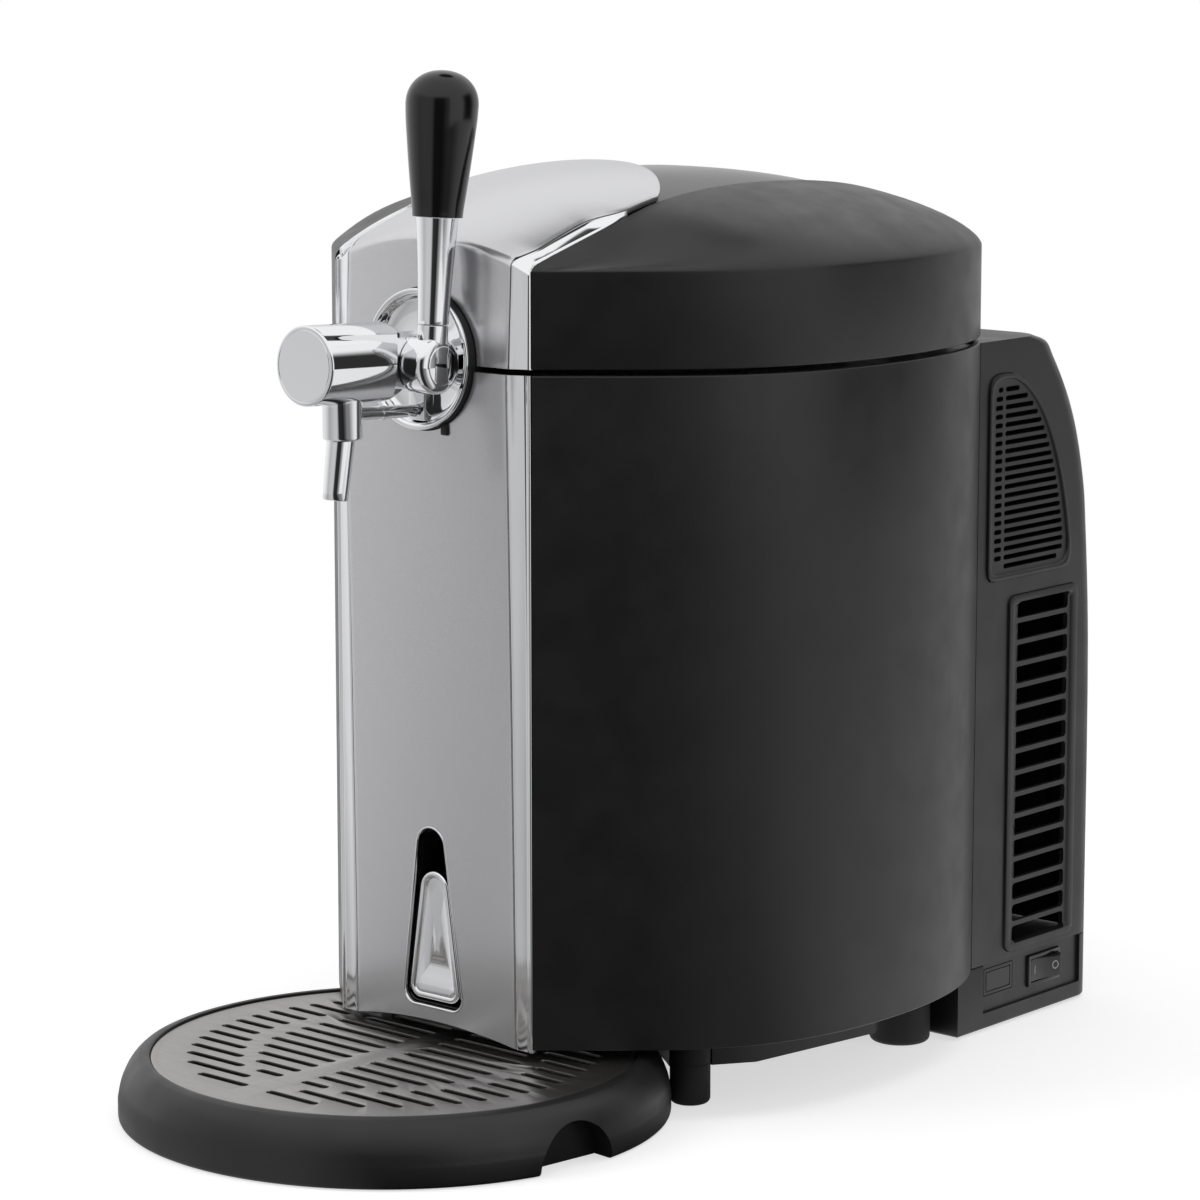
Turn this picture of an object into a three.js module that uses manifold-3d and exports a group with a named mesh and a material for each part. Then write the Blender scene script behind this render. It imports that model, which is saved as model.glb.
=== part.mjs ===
// Table-top cooler and tap for a five-litre mini keg.
// Millimetres, +Z up, the front faces -Y, and the switch is on the +X side.
// The origin lies on the table under the middle of the whole machine.
import * as THREE from 'three';
import { mergeVertices } from 'three/addons/utils/BufferGeometryUtils.js';
import Module from 'manifold-3d';

const wasm = await Module();
wasm.setup();

// Fits and steps used everywhere
const seat = 0.3;
const runningGap = 0.4;
const overrun = 4;
const weld = 0.0005;
const wideSteps = 36;
const archSteps = 108;
const footSteps = 20;
const roundSteps = 24;
const smallSteps = 12;
const traySteps = 44;
const joinSlackShare = 0.001;

// Body plan, seen from above
const bodyHalfWidth = 139.5;
const bodyWidestY = 40;
const bodyRearY = 170;
const bodyRearFlat = 50;
const bodyDraft = 1.2;
const cornerX = 58.3;
const cornerY = -100.2;
const panelHalfWidth = 48.6;
const panelBulge = 1.4;
const flankStartReach = 60;
const flankStartAngle = THREE.MathUtils.degToRad(33);
const flankEndReach = 65;
const rearStartReach = 62;
const rearEndReach = 67;
const panelSteps = 4;
const flankSteps = 7;
const rearSteps = 6;

// Body heights and walls
const bodyFootZ = 32;
const bodyTopZ = 324.8;
const shellWall = 3;
const floorPlateFootZ = 33;
const floorPlateThickness = 3;

// Front panel and chrome corner strips
const panelTopY = -105;
const panelFootY = -100.3;
const panelLeanPower = 1.3;
const panelThickness = 2.2;
const panelFootZ = 31;
const panelFootArch = 4.5;
const panelLevels = 4;
const stripThickness = 2.8;
const stripLipWidth = 1.5;
const stripLipHeight = 0.5;

// Lid
const lidGap = 2.5;
const lidFootZ = bodyTopZ + lidGap;
const lidWallTopZ = 368.5;
const lidRise = 40;
const domePower = 2.2;
const lidEdgeRound = 1.6;
const lidPanelFootY = -103.6;
const lidPanelTopY = -101.8;
const lidShellWall = 3;
const lidFrontWall = 4;
const lidCavityTopZ = 379.5;
const lidCavityShoulderZ = 366;
const lidCavityTopShare = 0.76;

// Silver tongue that runs back over the lid
const tongueSkin = 2.2;
const tongueCreaseEdgeZ = 372.5;
const tongueCreaseMiddleZ = 381.5;
const tongueTipEdgeZ = 401;
const tongueTipMiddleZ = 407.8;
const tongueRisePower = 1.6;
const tongueTipY = 12;
const tongueTipLength = 36;
const tongueTipPower = 1.6;
const tongueWideHalf = 57;
const tongueSpreadY = -75;
const tongueCreaseRound = 3;
const tongueCreaseDepth = 3.3;
const lidFaceY = lidPanelTopY + tongueCreaseDepth + seat;
const tongueAcross = 8;
const tongueAlong = 6;
const tongueTipSteps = 5;

// Chrome bands along the tongue, and the crest line where the black dome starts
const crestWideX = 67.8;
const crestWideY = -83;
const crestRearX = 63.5;
const crestRearY = -4;
const bandEndY = -20;
const bandThickness = 3;
const bandSteps = 7;
const bandLipWidth = 1.3;
const bandLipHeight = 0.6;

// Valley behind the tongue
const valleyFloorZ = 384;
const valleyFloorHalf = 46;
const valleyFloorSag = 2;
const valleyBrimZ = 399;

// Keg well, its deck and the insulation round it
const wellY = 25;
const wellBoreRadius = 90;
const wellWall = 2;
const wellFloorZ = 59;
const wellFloorThickness = 2;
const jacketThickness = 15.5;
const deckTopZ = 322;
const deckThickness = 2.5;
const lidSealWidth = 6;
const lidSealClearOfWell = 3;

// Lid liner
const linerThickness = 2.5;
const linerPocketRadius = 86;
const linerPocketTopRadius = 80;
const linerPocketTopZ = 370;

// Tap
const tapY = -105;
const tapZ = 328.3;
const tapPitch = THREE.MathUtils.degToRad(2);
const barrelRadius = 17;
const barrelLength = 71;
const barrelChamfer = 1.1;
const barrelRearLength = 28;
const neckRadius = 12.3;
const flangeRadius = 28.5;
const flangeRimFront = 1;
const flangeRimBack = 2.5;
const flangeDishRadius = 25.5;
const flangeDishDepth = 2.3;
const shankRadius = 11.7;
const shankEnd = 31;
const gasketRadius = 30.5;
const gasketThickness = 2.2;
const notchRadius = 31;
const gasketTabX = 13.6;
const gasketTabWidth = 3.4;
const gasketTabFootZ = 296.6;
const gasketTabTopZ = 301.5;
const gasketTabProud = 2.2;
const cradleLength = 15;
const cradleHalfWidth = 24;
const cradleFootZ = 303;
const nutLength = 8;
const nutRadius = 17.2;
const channelRadius = 18.6;
const channelWall = 2;

// Tap lever and its pivot
const hubY = -118.6;
const hubZ = 328;
const hubRadius = 12.5;
const bossRadius = 12.3;
const bossStartX = -3;
const bossEndX = 10.7;
const hubStartX = 11;
const hubShoulderX = 22;
const hubEndX = 25;
const hubEndRadius = 7.8;
const hubScallop = 19.5;
const axleRadius = 4;
const axleEndX = 20;
const leverX = 18;
const leverLean = THREE.MathUtils.degToRad(3.9);
const ferruleRadius = 6.7;
const ferruleTop = 17;
const rodTop = 62.2;
const rodTopRadius = 9;
const knobFootRadius = 11;
const knobLength = 61.8;
const knobMaxRadius = 16.5;

// Spout and the thin tube under the barrel
const collarY = -153.8;
const collarRadius = 8.4;
const collarFootZ = 298;
const nozzleTopY = -154.9;
const nozzleLength = 25.5;
const nozzleTopRadius = 6;
const nozzleEndRadius = 5.4;
const nozzleBoreRadius = 3.9;
const nozzleBoreDepth = 18;
const nozzleTilt = THREE.MathUtils.degToRad(8.2);
const tubeRadius = 2.8;
const tubeFrontZ = 308.4;
const tubeRearZ = 306.4;
const lugHalfWidth = 5;
const lugFrontY = -109.5;
const lugBackY = -103.8;
const lugFootZ = 302;
const lugTopZ = 318;

// Release paddle in the foot of the front panel
const recessTopZ = 114;
const recessTopRadius = 9;
const recessFootZ = 48;
const recessFootRadius = 7;
const recessFootHalf = 11.3;
const recessFrontY = -99.9;
const recessBackY = -85;
const cupWall = 1.5;
const paddleTopZ = 94;
const paddleTopRadius = 8.6;
const paddleFootZ = 50.3;
const paddleFootRadius = 6;
const paddleFootHalf = 9.1;
const paddleFrontY = -103;
const paddleThickness = 3.5;
const paddleRimWidth = 3.4;
const paddleRimHeight = 1.6;
const paddlePivotY = -98;
const paddlePivotZ = 48;
const paddlePinRadius = 1.5;
const paddleLugHalf = 8;
const paddleLugRadius = 3.4;

// Base moulding and feet
const panFootZ = 15;
const panFrontCornerX = 90;
const panFrontCornerY = -18;
const panShoulderX = 101;
const panShoulderY = -1;
const panSideX = 109;
const panSideY = 73;
const panRearCornerX = 95;
const panRearCornerY = 96;
const panTailHalf = 62;
const baseBlockFootZ = 1;
const baseBlockFrontY = 131.5;
const frontFootRadius = 9;
const frontFootAngle = THREE.MathUtils.degToRad(41.9);
const frontFootToTray = 0.1;
const rearFootX = 89;
const rearFootY = 116;
const rearFootRadius = 14;
const footRound = 2.5;

// Tower at the rear
const towerSideX = 110.5;
const towerSideY = 140;
const towerTaper = 0.05;
const towerRearY = 246.1;
const towerTopZ = 323.5;
const towerTopDepth = 47;
const towerCornerRadius = 15;
const towerCornerSteps = 4;
const towerWall = 2.5;
const towerFrontY = 120;
const towerRearLevelShares = [0, 0.48, 0.715, 0.774, 0.836, 0.884, 0.924, 0.962, 0.986, 1];
const towerRearDropShares = [0, 0.014, 0.11, 0.17, 0.27, 0.385, 0.515, 0.664, 0.77, 1];

// Grilles in the tower's sides
const grillePlate = 2.5;
const grilleRimHeight = 1.2;
const grilleRimWidth = 3;
const lowerGrilleStart = 27.6;
const lowerGrilleWidth = 57.4;
const lowerGrilleFootZ = 34.6;
const lowerGrilleHeight = 169.6;
const lowerGrilleCorner = 4;
const lowerSlotWidth = 43;
const lowerSlotCount = 16;
const lowerSlotPitch = 10.3;
const lowerSlotHeight = 8;

// The upper grille fills the height between the lower one and its own top
const grilleGap = 7.8;
const upperGrilleStart = 9.4;
const upperGrilleWidth = 69.4;
const upperGrilleTopZ = 308.5;
const upperGrilleFootZ = lowerGrilleFootZ + lowerGrilleHeight + grilleGap;
const upperGrilleHeight = upperGrilleTopZ - upperGrilleFootZ;
const upperSlotMargin = 6.5;
const upperSlotPitch = 4.1;
const upperSlotHeight = 2.2;
const upperSlotCount = Math.floor((upperGrilleHeight - 2 * upperSlotMargin) / upperSlotPitch) + 1;

// Cooling train behind the well
const coolerZ = 150;
const coldBlockSize = 50;
const coldBlockEndY = bodyRearY + seat;
const moduleSize = 40;
const moduleThickness = 3.8;
const sinkSize = 100;
const sinkBase = 6;
const sinkFinDepth = 24;
const sinkFinCount = 14;
const sinkFinThickness = 1.6;
const fanSize = 92;
const fanDepth = 25;
const fanBoreRadius = 43;
const fanHubRadius = 18;
const fanHubDepth = 15;
const fanBladeCount = 7;
const fanBladeTip = 41.5;
const fanBladeThickness = 2;
const fanBladeDepth = 13;
const fanBladePitch = THREE.MathUtils.degToRad(38);
const fanStrutWidth = 5;
const fanStrutDepth = 3;
const fanStrutCount = 3;
const fanStubRadius = 5;
const fanStubLength = 12;

// Power board above the fan
const boardHalfWidth = 55;
const boardFootZ = 222;
const boardTopZ = 296;
const boardThickness = 1.6;
const boardStandoff = 7;
const boardPostRadius = 3.5;
const boardPostInset = 6;
const transformerWidth = 40;
const transformerHeight = 34;
const transformerDepth = 26;
const capacitorRadius = 8;
const capacitorLength = 20;

// Rear cover and its screws
const rearCoverHalf = 78;
const rearCoverZ = 150;
const rearCoverBackY = 242.4;
const rearCoverThickness = 2.2;
const rearLedgeWidth = 10;
const rearLedgeDepth = 4;
const rearSlotCount = 9;
const rearSlotPitch = 9;
const rearSlotHeight = 5;
const rearSlotRadius = 46;
const screwInset = 6;
const screwHeadRadius = 3;
const screwHeadHeight = 1.2;
const screwShankRadius = 1.4;
const screwLength = 5;

// Power inlet
const inletX = -70;
const inletZ = 17;
const inletHalfWidth = 13.5;
const inletHalfHeight = 10;
const inletDepth = 20;
const inletWall = 1.8;
const inletCavityDepth = 15;
const inletPinPitch = 7;
const inletPinWidth = 2;
const inletPinHeight = 4;
const inletPinLength = 10;

// Switch strip in the base's right side, measured along the side from the tower's front edge
const stripStart = 12;
const stripEnd = 93;
const stripFootZ = 8.6;
const stripRecess = 1.6;
const bezelStart = 50;
const bezelWidth = 27;
const bezelFootZ = 13.5;
const bezelHeight = 15.5;
const bezelProud = 1.3;
const bezelFrame = 2;
const bezelDepth = 14;
const bezelPocketDepth = 8;
const rockerTilt = THREE.MathUtils.degToRad(7);
const rockerProud = 2.2;
const rockerPivotDepth = 2.5;
const rockerThickness = 5;
const blankStart = 14.5;
const blankWidth = 23.7;
const blankFootZ = 16;
const blankHeight = 13.3;
const blankThickness = 2;

// Drip tray and its plate
const trayY = -125.5;
const trayRadius = 120.6;
const trayWallTopZ = 9;
const trayRimRadius = 109;
const trayRimZ = 28;
const traySeatRadius = 106.5;
const traySeatZ = 25.2;
const traySeatWidth = 3.5;
const trayFloor = 2.5;
const trayWall = 2.2;
const trayNotchRadius = 20;
const trayNotchAngle = THREE.MathUtils.degToRad(-5.5);
const trayNotchDepth = 13;
const plateRadius = 106.2;
const plateThickness = 1.5;
const plateSlotPitch = 10.3;
const plateSlotWidth = 4.4;
const plateSlotRowCount = 8;
const plateSlotField = 90;
const plateSlotMiddle = 6.3;
const plateSlotOuterLength = 23;
const plateSlotGrowth = 3;
const plateSlotGap = 9;

// The front feet stop the tray, so they stand where its rim ends
const frontFootReach = trayRadius + frontFootToTray + frontFootRadius;
const frontFootX = frontFootReach * Math.sin(frontFootAngle);
const frontFootY = trayY + frontFootReach * Math.cos(frontFootAngle);

// Lid hinge
const hingeY = 176;
const hingeZ = 332;
const hingeRadius = 5;
const hingePinRadius = 2.2;
const knuckleStartX = 40;
const knuckleLength = 16;
const hingeEar = 5;
const bracketReach = 4;
const bracketBackY = 185.5;
const bracketBase = 2.5;

// Solids from three.js geometry

function solid(geometry) {
  const bare = geometry.clone();
  bare.deleteAttribute('normal');
  bare.deleteAttribute('uv');
  const merged = mergeVertices(bare, weld);
  const position = merged.getAttribute('position');
  const corners = Array.from(merged.index.array);
  const kept = [];
  let volume = 0;
  const a = new THREE.Vector3();
  const b = new THREE.Vector3();
  const c = new THREE.Vector3();
  for (let i = 0; i < corners.length; i += 3) {
    const [p, q, r] = corners.slice(i, i + 3);
    if (p !== q && q !== r && r !== p) {
      kept.push(p, q, r);
      a.fromBufferAttribute(position, p);
      b.fromBufferAttribute(position, q);
      c.fromBufferAttribute(position, r);
      volume += a.dot(b.cross(c));
    }
  }
  if (volume < 0) {
    kept.reverse();
  }
  return new wasm.Manifold(new wasm.Mesh({
    numProp: 3,
    vertProperties: new Float32Array(position.array),
    triVerts: new Uint32Array(kept),
  }));
}

function join(first, ...others) {
  return others.reduce((sum, other) => sum.add(other), first);
}

function cut(first, ...others) {
  return others.reduce((rest, other) => rest.subtract(other), first);
}

function common(first, ...others) {
  return others.reduce((shared, other) => shared.intersect(other), first);
}

function moved(shape, change) {
  const mesh = shape.getMesh();
  const geometry = new THREE.BufferGeometry();
  geometry.setAttribute('position', new THREE.BufferAttribute(new Float32Array(mesh.vertProperties), 3));
  geometry.setIndex(new THREE.BufferAttribute(new Uint32Array(mesh.triVerts), 1));
  geometry.applyMatrix4(change);
  return solid(geometry);
}

function mirrored(shape) {
  return moved(shape, new THREE.Matrix4().makeScale(-1, 1, 1));
}

function box(x0, x1, y0, y1, z0, z1) {
  const geometry = new THREE.BoxGeometry(x1 - x0, y1 - y0, z1 - z0);
  geometry.translate((x0 + x1) / 2, (y0 + y1) / 2, (z0 + z1) / 2);
  return solid(geometry);
}

function extruded(shape, length, change) {
  const geometry = new THREE.ExtrudeGeometry(shape, { depth: length, bevelEnabled: false, curveSegments: 8 });
  geometry.applyMatrix4(change);
  return solid(geometry);
}

function outlineShape(points) {
  return new THREE.Shape(points.map((point) => new THREE.Vector2(point[0], point[1])));
}

// An outline given in x and y, standing between two heights
function alongZ(points, z0, z1) {
  return extruded(outlineShape(points), z1 - z0, new THREE.Matrix4().makeTranslation(0, 0, z0));
}

// An outline given in y and z, between two places along x
function alongX(points, x0, x1) {
  const change = new THREE.Matrix4().makeBasis(
    new THREE.Vector3(0, 1, 0), new THREE.Vector3(0, 0, 1), new THREE.Vector3(1, 0, 0),
  );
  change.setPosition(x0, 0, 0);
  return extruded(outlineShape(points), x1 - x0, change);
}

// An outline given in x and z, between two places along y
function alongY(points, y0, y1) {
  const change = new THREE.Matrix4().makeBasis(
    new THREE.Vector3(1, 0, 0), new THREE.Vector3(0, 0, 1), new THREE.Vector3(0, -1, 0),
  );
  change.setPosition(0, y1, 0);
  return extruded(outlineShape(points), y1 - y0, change);
}

function circle(u, v, radius, steps = roundSteps) {
  const points = [];
  for (let i = 0; i < steps; i += 1) {
    const angle = (2 * Math.PI * (i + 0.5)) / steps;
    points.push([u + radius * Math.cos(angle), v + radius * Math.sin(angle)]);
  }
  return points;
}

function cylinderX(y, z, radius, x0, x1, steps) {
  return alongX(circle(y, z, radius, steps), x0, x1);
}

function cylinderY(x, z, radius, y0, y1, steps) {
  return alongY(circle(x, z, radius, steps), y0, y1);
}

function cylinderZ(x, y, radius, z0, z1, steps) {
  return alongZ(circle(x, y, radius, steps), z0, z1);
}

// A profile of radius and height, turned about the z axis
function turned(profile, steps = roundSteps) {
  const geometry = new THREE.LatheGeometry(profile.map(([r, h]) => new THREE.Vector2(r, h)), steps);
  geometry.rotateX(Math.PI / 2);
  return solid(geometry);
}

function ringNormal(ring) {
  const normal = new THREE.Vector3();
  ring.forEach((point, i) => {
    const next = ring[(i + 1) % ring.length];
    normal.x += (point.y - next.y) * (point.z + next.z);
    normal.y += (point.z - next.z) * (point.x + next.x);
    normal.z += (point.x - next.x) * (point.y + next.y);
  });
  return normal.normalize();
}

function capTriangles(ring) {
  const normal = ringNormal(ring);
  const side = new THREE.Vector3(1, 0, 0);
  if (Math.abs(normal.x) > 0.9) {
    side.set(0, 1, 0);
  }
  side.addScaledVector(normal, -side.dot(normal)).normalize();
  const other = new THREE.Vector3().crossVectors(normal, side);
  const flat = ring.map((point) => new THREE.Vector2(point.dot(side), point.dot(other)));
  return THREE.ShapeUtils.triangulateShape(flat, []).map(([p, q, r]) => {
    const turn = (flat[q].x - flat[p].x) * (flat[r].y - flat[p].y)
      - (flat[q].y - flat[p].y) * (flat[r].x - flat[p].x);
    return turn > 0 ? [p, q, r] : [p, r, q];
  });
}

// Closed skin over rings that have the same number of points
function loft(rings) {
  const count = rings[0].length;
  const positions = [];
  const corners = [];
  rings.forEach((ring) => ring.forEach((point) => positions.push(point.x, point.y, point.z)));
  for (let k = 0; k + 1 < rings.length; k += 1) {
    for (let i = 0; i < count; i += 1) {
      const a = k * count + i;
      const b = k * count + ((i + 1) % count);
      corners.push(a, b, b + count, a, b + count, a + count);
    }
  }
  const end = (rings.length - 1) * count;
  capTriangles(rings[0]).forEach(([p, q, r]) => corners.push(p, r, q));
  capTriangles(rings[rings.length - 1]).forEach(([p, q, r]) => corners.push(end + p, end + q, end + r));
  const geometry = new THREE.BufferGeometry();
  geometry.setAttribute('position', new THREE.Float32BufferAttribute(positions, 3));
  geometry.setIndex(corners);
  return solid(geometry);
}

function level(points, z) {
  return points.map((point) => new THREE.Vector3(point.x, point.y, z));
}

// Outlines of the body and the lid

function planOutline(frontY, halfWidth) {
  const right = [];
  for (let i = 0; i <= panelSteps; i += 1) {
    const share = i / panelSteps;
    right.push(new THREE.Vector2(panelHalfWidth * share, frontY - panelBulge * (1 - share * share)));
  }
  const corner = new THREE.Vector2(cornerX, cornerY);
  const flank = new THREE.CubicBezierCurve(
    corner,
    new THREE.Vector2(
      cornerX + flankStartReach * Math.cos(flankStartAngle),
      cornerY + flankStartReach * Math.sin(flankStartAngle),
    ),
    new THREE.Vector2(halfWidth, bodyWidestY - flankEndReach),
    new THREE.Vector2(halfWidth, bodyWidestY),
  );
  const rear = new THREE.CubicBezierCurve(
    new THREE.Vector2(halfWidth, bodyWidestY),
    new THREE.Vector2(halfWidth, bodyWidestY + rearStartReach),
    new THREE.Vector2(bodyRearFlat + rearEndReach, bodyRearY),
    new THREE.Vector2(bodyRearFlat, bodyRearY),
  );
  right.push(...flank.getPoints(flankSteps));
  right.push(...rear.getPoints(rearSteps).slice(1));
  const left = right.slice(1).reverse().map((point) => new THREE.Vector2(-point.x, point.y));
  return right.concat(left);
}

function insetOutline(points, distance) {
  return points.map((point, i) => {
    const before = points[(i + points.length - 1) % points.length];
    const after = points[(i + 1) % points.length];
    const arriving = point.clone().sub(before).normalize();
    const leaving = after.clone().sub(point).normalize();
    const first = new THREE.Vector2(-arriving.y, arriving.x);
    const second = new THREE.Vector2(-leaving.y, leaving.x);
    const across = first.clone().add(second);
    return point.clone().addScaledVector(across, distance / (1 + first.dot(second)));
  });
}

function bodyShare(z) {
  return (z - panelFootZ) / (bodyTopZ - panelFootZ);
}

function panelY(z) {
  return panelFootY + (panelTopY - panelFootY) * Math.max(bodyShare(z), 0) ** panelLeanPower;
}

function bodyOutline(z) {
  return planOutline(panelY(z), bodyHalfWidth - bodyDraft * (1 - bodyShare(z)));
}

function lidPanelY(z) {
  return lidPanelFootY + (lidPanelTopY - lidPanelFootY) * ((z - lidFootZ) / (lidWallTopZ - lidFootZ));
}

const lidOutline = planOutline(lidPanelTopY, bodyHalfWidth);

function bodyFill(inset, z0, z1) {
  return loft([z0, z1].map((z) => level(insetOutline(bodyOutline(z), inset), z)));
}

// Black shell that wraps the flanks and the rear

function bodyShell() {
  const wrap = cut(
    bodyFill(0, bodyFootZ, bodyTopZ),
    bodyFill(shellWall, bodyFootZ, bodyTopZ),
    box(
      -cornerX - seat, cornerX + seat, panelTopY - overrun - panelBulge, 0,
      bodyFootZ - overrun, bodyTopZ + overrun,
    ),
  );
  const windowHalf = coldBlockSize / 2 + seat;
  const window = box(
    -windowHalf, windowHalf, bodyRearY - shellWall - overrun, bodyRearY + overrun,
    coolerZ - windowHalf, coolerZ + windowHalf,
  );
  const posts = boardPostPlaces().map(([x, z]) => cylinderY(
    x, z, boardPostRadius, bodyRearY - shellWall / 2, bodyRearY + boardStandoff - seat, smallSteps,
  ));
  return cut(join(wrap, ...posts), window);
}

function boardPostPlaces() {
  const places = [];
  for (const x of [-1, 1]) {
    for (const z of [boardFootZ + boardPostInset, boardTopZ - boardPostInset]) {
      places.push([x * (bodyRearFlat - boardPostInset), z]);
    }
  }
  return places;
}

// Front panel and corner strips

function panelRing(z, y, thickness, halfWidth) {
  const front = [];
  const back = [];
  const steps = 2 * panelSteps;
  for (let i = 0; i <= steps; i += 1) {
    const share = (2 * i) / steps - 1;
    const x = halfWidth * share;
    const frontY = y - panelBulge * (1 - share * share);
    front.push(new THREE.Vector3(x, frontY, z));
    back.unshift(new THREE.Vector3(x, frontY + thickness, z));
  }
  return front.concat(back);
}

function bodyLevels() {
  const levels = [];
  for (let i = 0; i <= panelLevels; i += 1) {
    levels.push(panelFootZ + ((bodyTopZ - panelFootZ) * i) / panelLevels);
  }
  return levels;
}

function tapBore(radius, y0, y1, steps = wideSteps) {
  const rod = cylinderY(0, 0, radius, y0 - tapY, y1 - tapY, steps);
  return moved(rod, tapPlace());
}

function tapPlace() {
  return new THREE.Matrix4().makeTranslation(0, tapY, tapZ)
    .multiply(new THREE.Matrix4().makeRotationX(-tapPitch));
}

function frontPanel() {
  const halfWidth = panelHalfWidth - seat;
  const sheet = loft(bodyLevels().map((z) => panelRing(z, panelY(z), panelThickness, halfWidth)));
  const archHalf = panelHalfWidth;
  const archRadius = (archHalf ** 2 + panelFootArch ** 2) / (2 * panelFootArch);
  const arch = cylinderY(
    0, panelFootZ + panelFootArch - archRadius, archRadius,
    panelTopY - overrun, panelFootY + overrun, archSteps,
  );
  const notch = tapBore(notchRadius, panelTopY - overrun, panelTopY + overrun);
  const tabSlot = gasketTab(seat, overrun);
  const recess = alongY(recessOutline(0), panelTopY - overrun, panelFootY + overrun);
  return cut(sheet, arch, notch, tabSlot, recess);
}

function stripRing(z, y, outerY) {
  const inner = new THREE.Vector2(panelHalfWidth, y);
  const outer = new THREE.Vector2(cornerX, outerY);
  const along = outer.clone().sub(inner).normalize();
  const out = new THREE.Vector2(along.y, -along.x);
  const lip = outer.clone().addScaledVector(along, -stripLipWidth);
  const points = [
    inner,
    lip,
    lip.clone().addScaledVector(out, stripLipHeight),
    outer.clone().addScaledVector(out, stripLipHeight),
    outer,
    new THREE.Vector2(cornerX, outerY + stripThickness),
    new THREE.Vector2(panelHalfWidth, y + stripThickness),
  ];
  return points.map((point) => new THREE.Vector3(point.x, point.y, z));
}

function cornerStrip() {
  return loft(bodyLevels().map((z) => stripRing(z, panelY(z), cornerY)));
}

// Insulation and the keg well

function wellFill(radius, z0, z1) {
  return cylinderZ(0, wellY, radius, z0, z1, wideSteps);
}

function wellChannel(radius, y0) {
  return tapBore(radius, y0, wellY);
}

function cradleBackY() {
  return cradleFrontY() + cradleLength;
}

function cradleFrontY() {
  return tapY + flangeRimBack + seat + gasketThickness + seat;
}

function insulationJacket() {
  const boreRadius = wellBoreRadius + wellWall + seat;
  const jacket = wellFill(
    boreRadius + jacketThickness, floorPlateFootZ + floorPlateThickness + seat,
    deckTopZ - deckThickness - seat,
  );
  const bore = wellFill(boreRadius, wellFloorZ - wellFloorThickness - seat, bodyTopZ);
  const channel = wellChannel(channelRadius + channelWall + seat, panelTopY);
  const blockHalf = coldBlockSize / 2 + seat;
  const blockHole = box(-blockHalf, blockHalf, wellY, bodyRearY, coolerZ - blockHalf, coolerZ + blockHalf);
  return cut(jacket, bore, channel, blockHole);
}

function kegWell() {
  const cup = wellFill(wellBoreRadius + wellWall, wellFloorZ - wellFloorThickness, deckTopZ);
  const deck = bodyFill(shellWall + seat, deckTopZ - deckThickness, deckTopZ);
  const channel = common(
    wellChannel(channelRadius + channelWall, cradleBackY()),
    box(-bodyHalfWidth, bodyHalfWidth, cradleBackY(), wellY, wellFloorZ, deckTopZ),
  );
  const cradleGap = box(
    -cradleHalfWidth - seat, cradleHalfWidth + seat, panelTopY - overrun, cradleBackY() + seat,
    cradleFootZ, bodyTopZ,
  );
  const outside = join(cup, deck, channel);
  const hollow = wellFill(wellBoreRadius, wellFloorZ, bodyTopZ);
  const channelBore = wellChannel(channelRadius, panelTopY);
  const gasketPocket = tapBore(notchRadius, panelTopY - overrun, cradleFrontY() + seat);
  return cut(outside, hollow, cradleGap, channelBore, gasketPocket);
}

// Tap: body, gasket, cradle and nut

function turnedAlongTap(profile, steps = roundSteps) {
  const geometry = new THREE.LatheGeometry(profile.map(([r, y]) => new THREE.Vector2(r, y)), steps);
  geometry.applyMatrix4(tapPlace());
  return solid(geometry);
}

function barrelFill(radius) {
  return turnedAlongTap([
    [0, -barrelLength - overrun], [radius, -barrelLength - overrun], [radius, -barrelRearLength],
    [0, -barrelRearLength],
  ], wideSteps);
}

function tapBody() {
  const dishFloor = flangeDishDepth - flangeRimFront;
  const shoulder = barrelRearLength - neckRadius;
  const casting = turnedAlongTap([
    [0, shankEnd], [shankRadius, shankEnd], [shankRadius, flangeRimBack], [flangeRadius, flangeRimBack],
    [flangeRadius, -flangeRimFront / 2], [flangeRadius - flangeRimFront / 2, -flangeRimFront],
    [flangeDishRadius, -flangeRimFront], [(flangeDishRadius + neckRadius) / 2, dishFloor],
    [neckRadius, dishFloor], [neckRadius, -shoulder],
    [neckRadius + (barrelRadius - neckRadius) * 0.3, -shoulder - (barrelRearLength - shoulder) * 0.35],
    [neckRadius + (barrelRadius - neckRadius) * 0.8, -shoulder - (barrelRearLength - shoulder) * 0.75],
    [barrelRadius, -barrelRearLength], [barrelRadius, -barrelLength + barrelChamfer],
    [barrelRadius - barrelChamfer, -barrelLength], [0, -barrelLength],
  ], wideSteps);
  const scallop = common(
    cylinderX(hubY, hubZ, hubScallop, bossEndX, barrelRadius + overrun),
    box(0, barrelRadius + overrun, hubY - hubScallop - overrun, hubY, hubZ - hubScallop - overrun,
      hubZ + hubScallop + overrun),
  );
  const hubRoom = cylinderX(hubY, hubZ, hubRadius + runningGap, bossEndX, flangeRadius);
  const boss = cylinderX(hubY, hubZ, bossRadius, bossStartX, bossEndX);
  const axle = cylinderX(hubY, hubZ, axleRadius, 0, axleEndX, smallSteps);
  const lug = box(-lugHalfWidth, lugHalfWidth, lugFrontY, lugBackY, lugFootZ, lugTopZ);
  return join(cut(casting, scallop, hubRoom), boss, axle, lug);
}

function gasketTab(clearance, extra) {
  return box(
    gasketTabX - gasketTabWidth / 2 - clearance, gasketTabX + gasketTabWidth / 2 + clearance,
    panelTopY - gasketTabProud - extra, cradleFrontY() - seat,
    gasketTabFootZ - clearance, gasketTabTopZ + clearance,
  );
}

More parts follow.
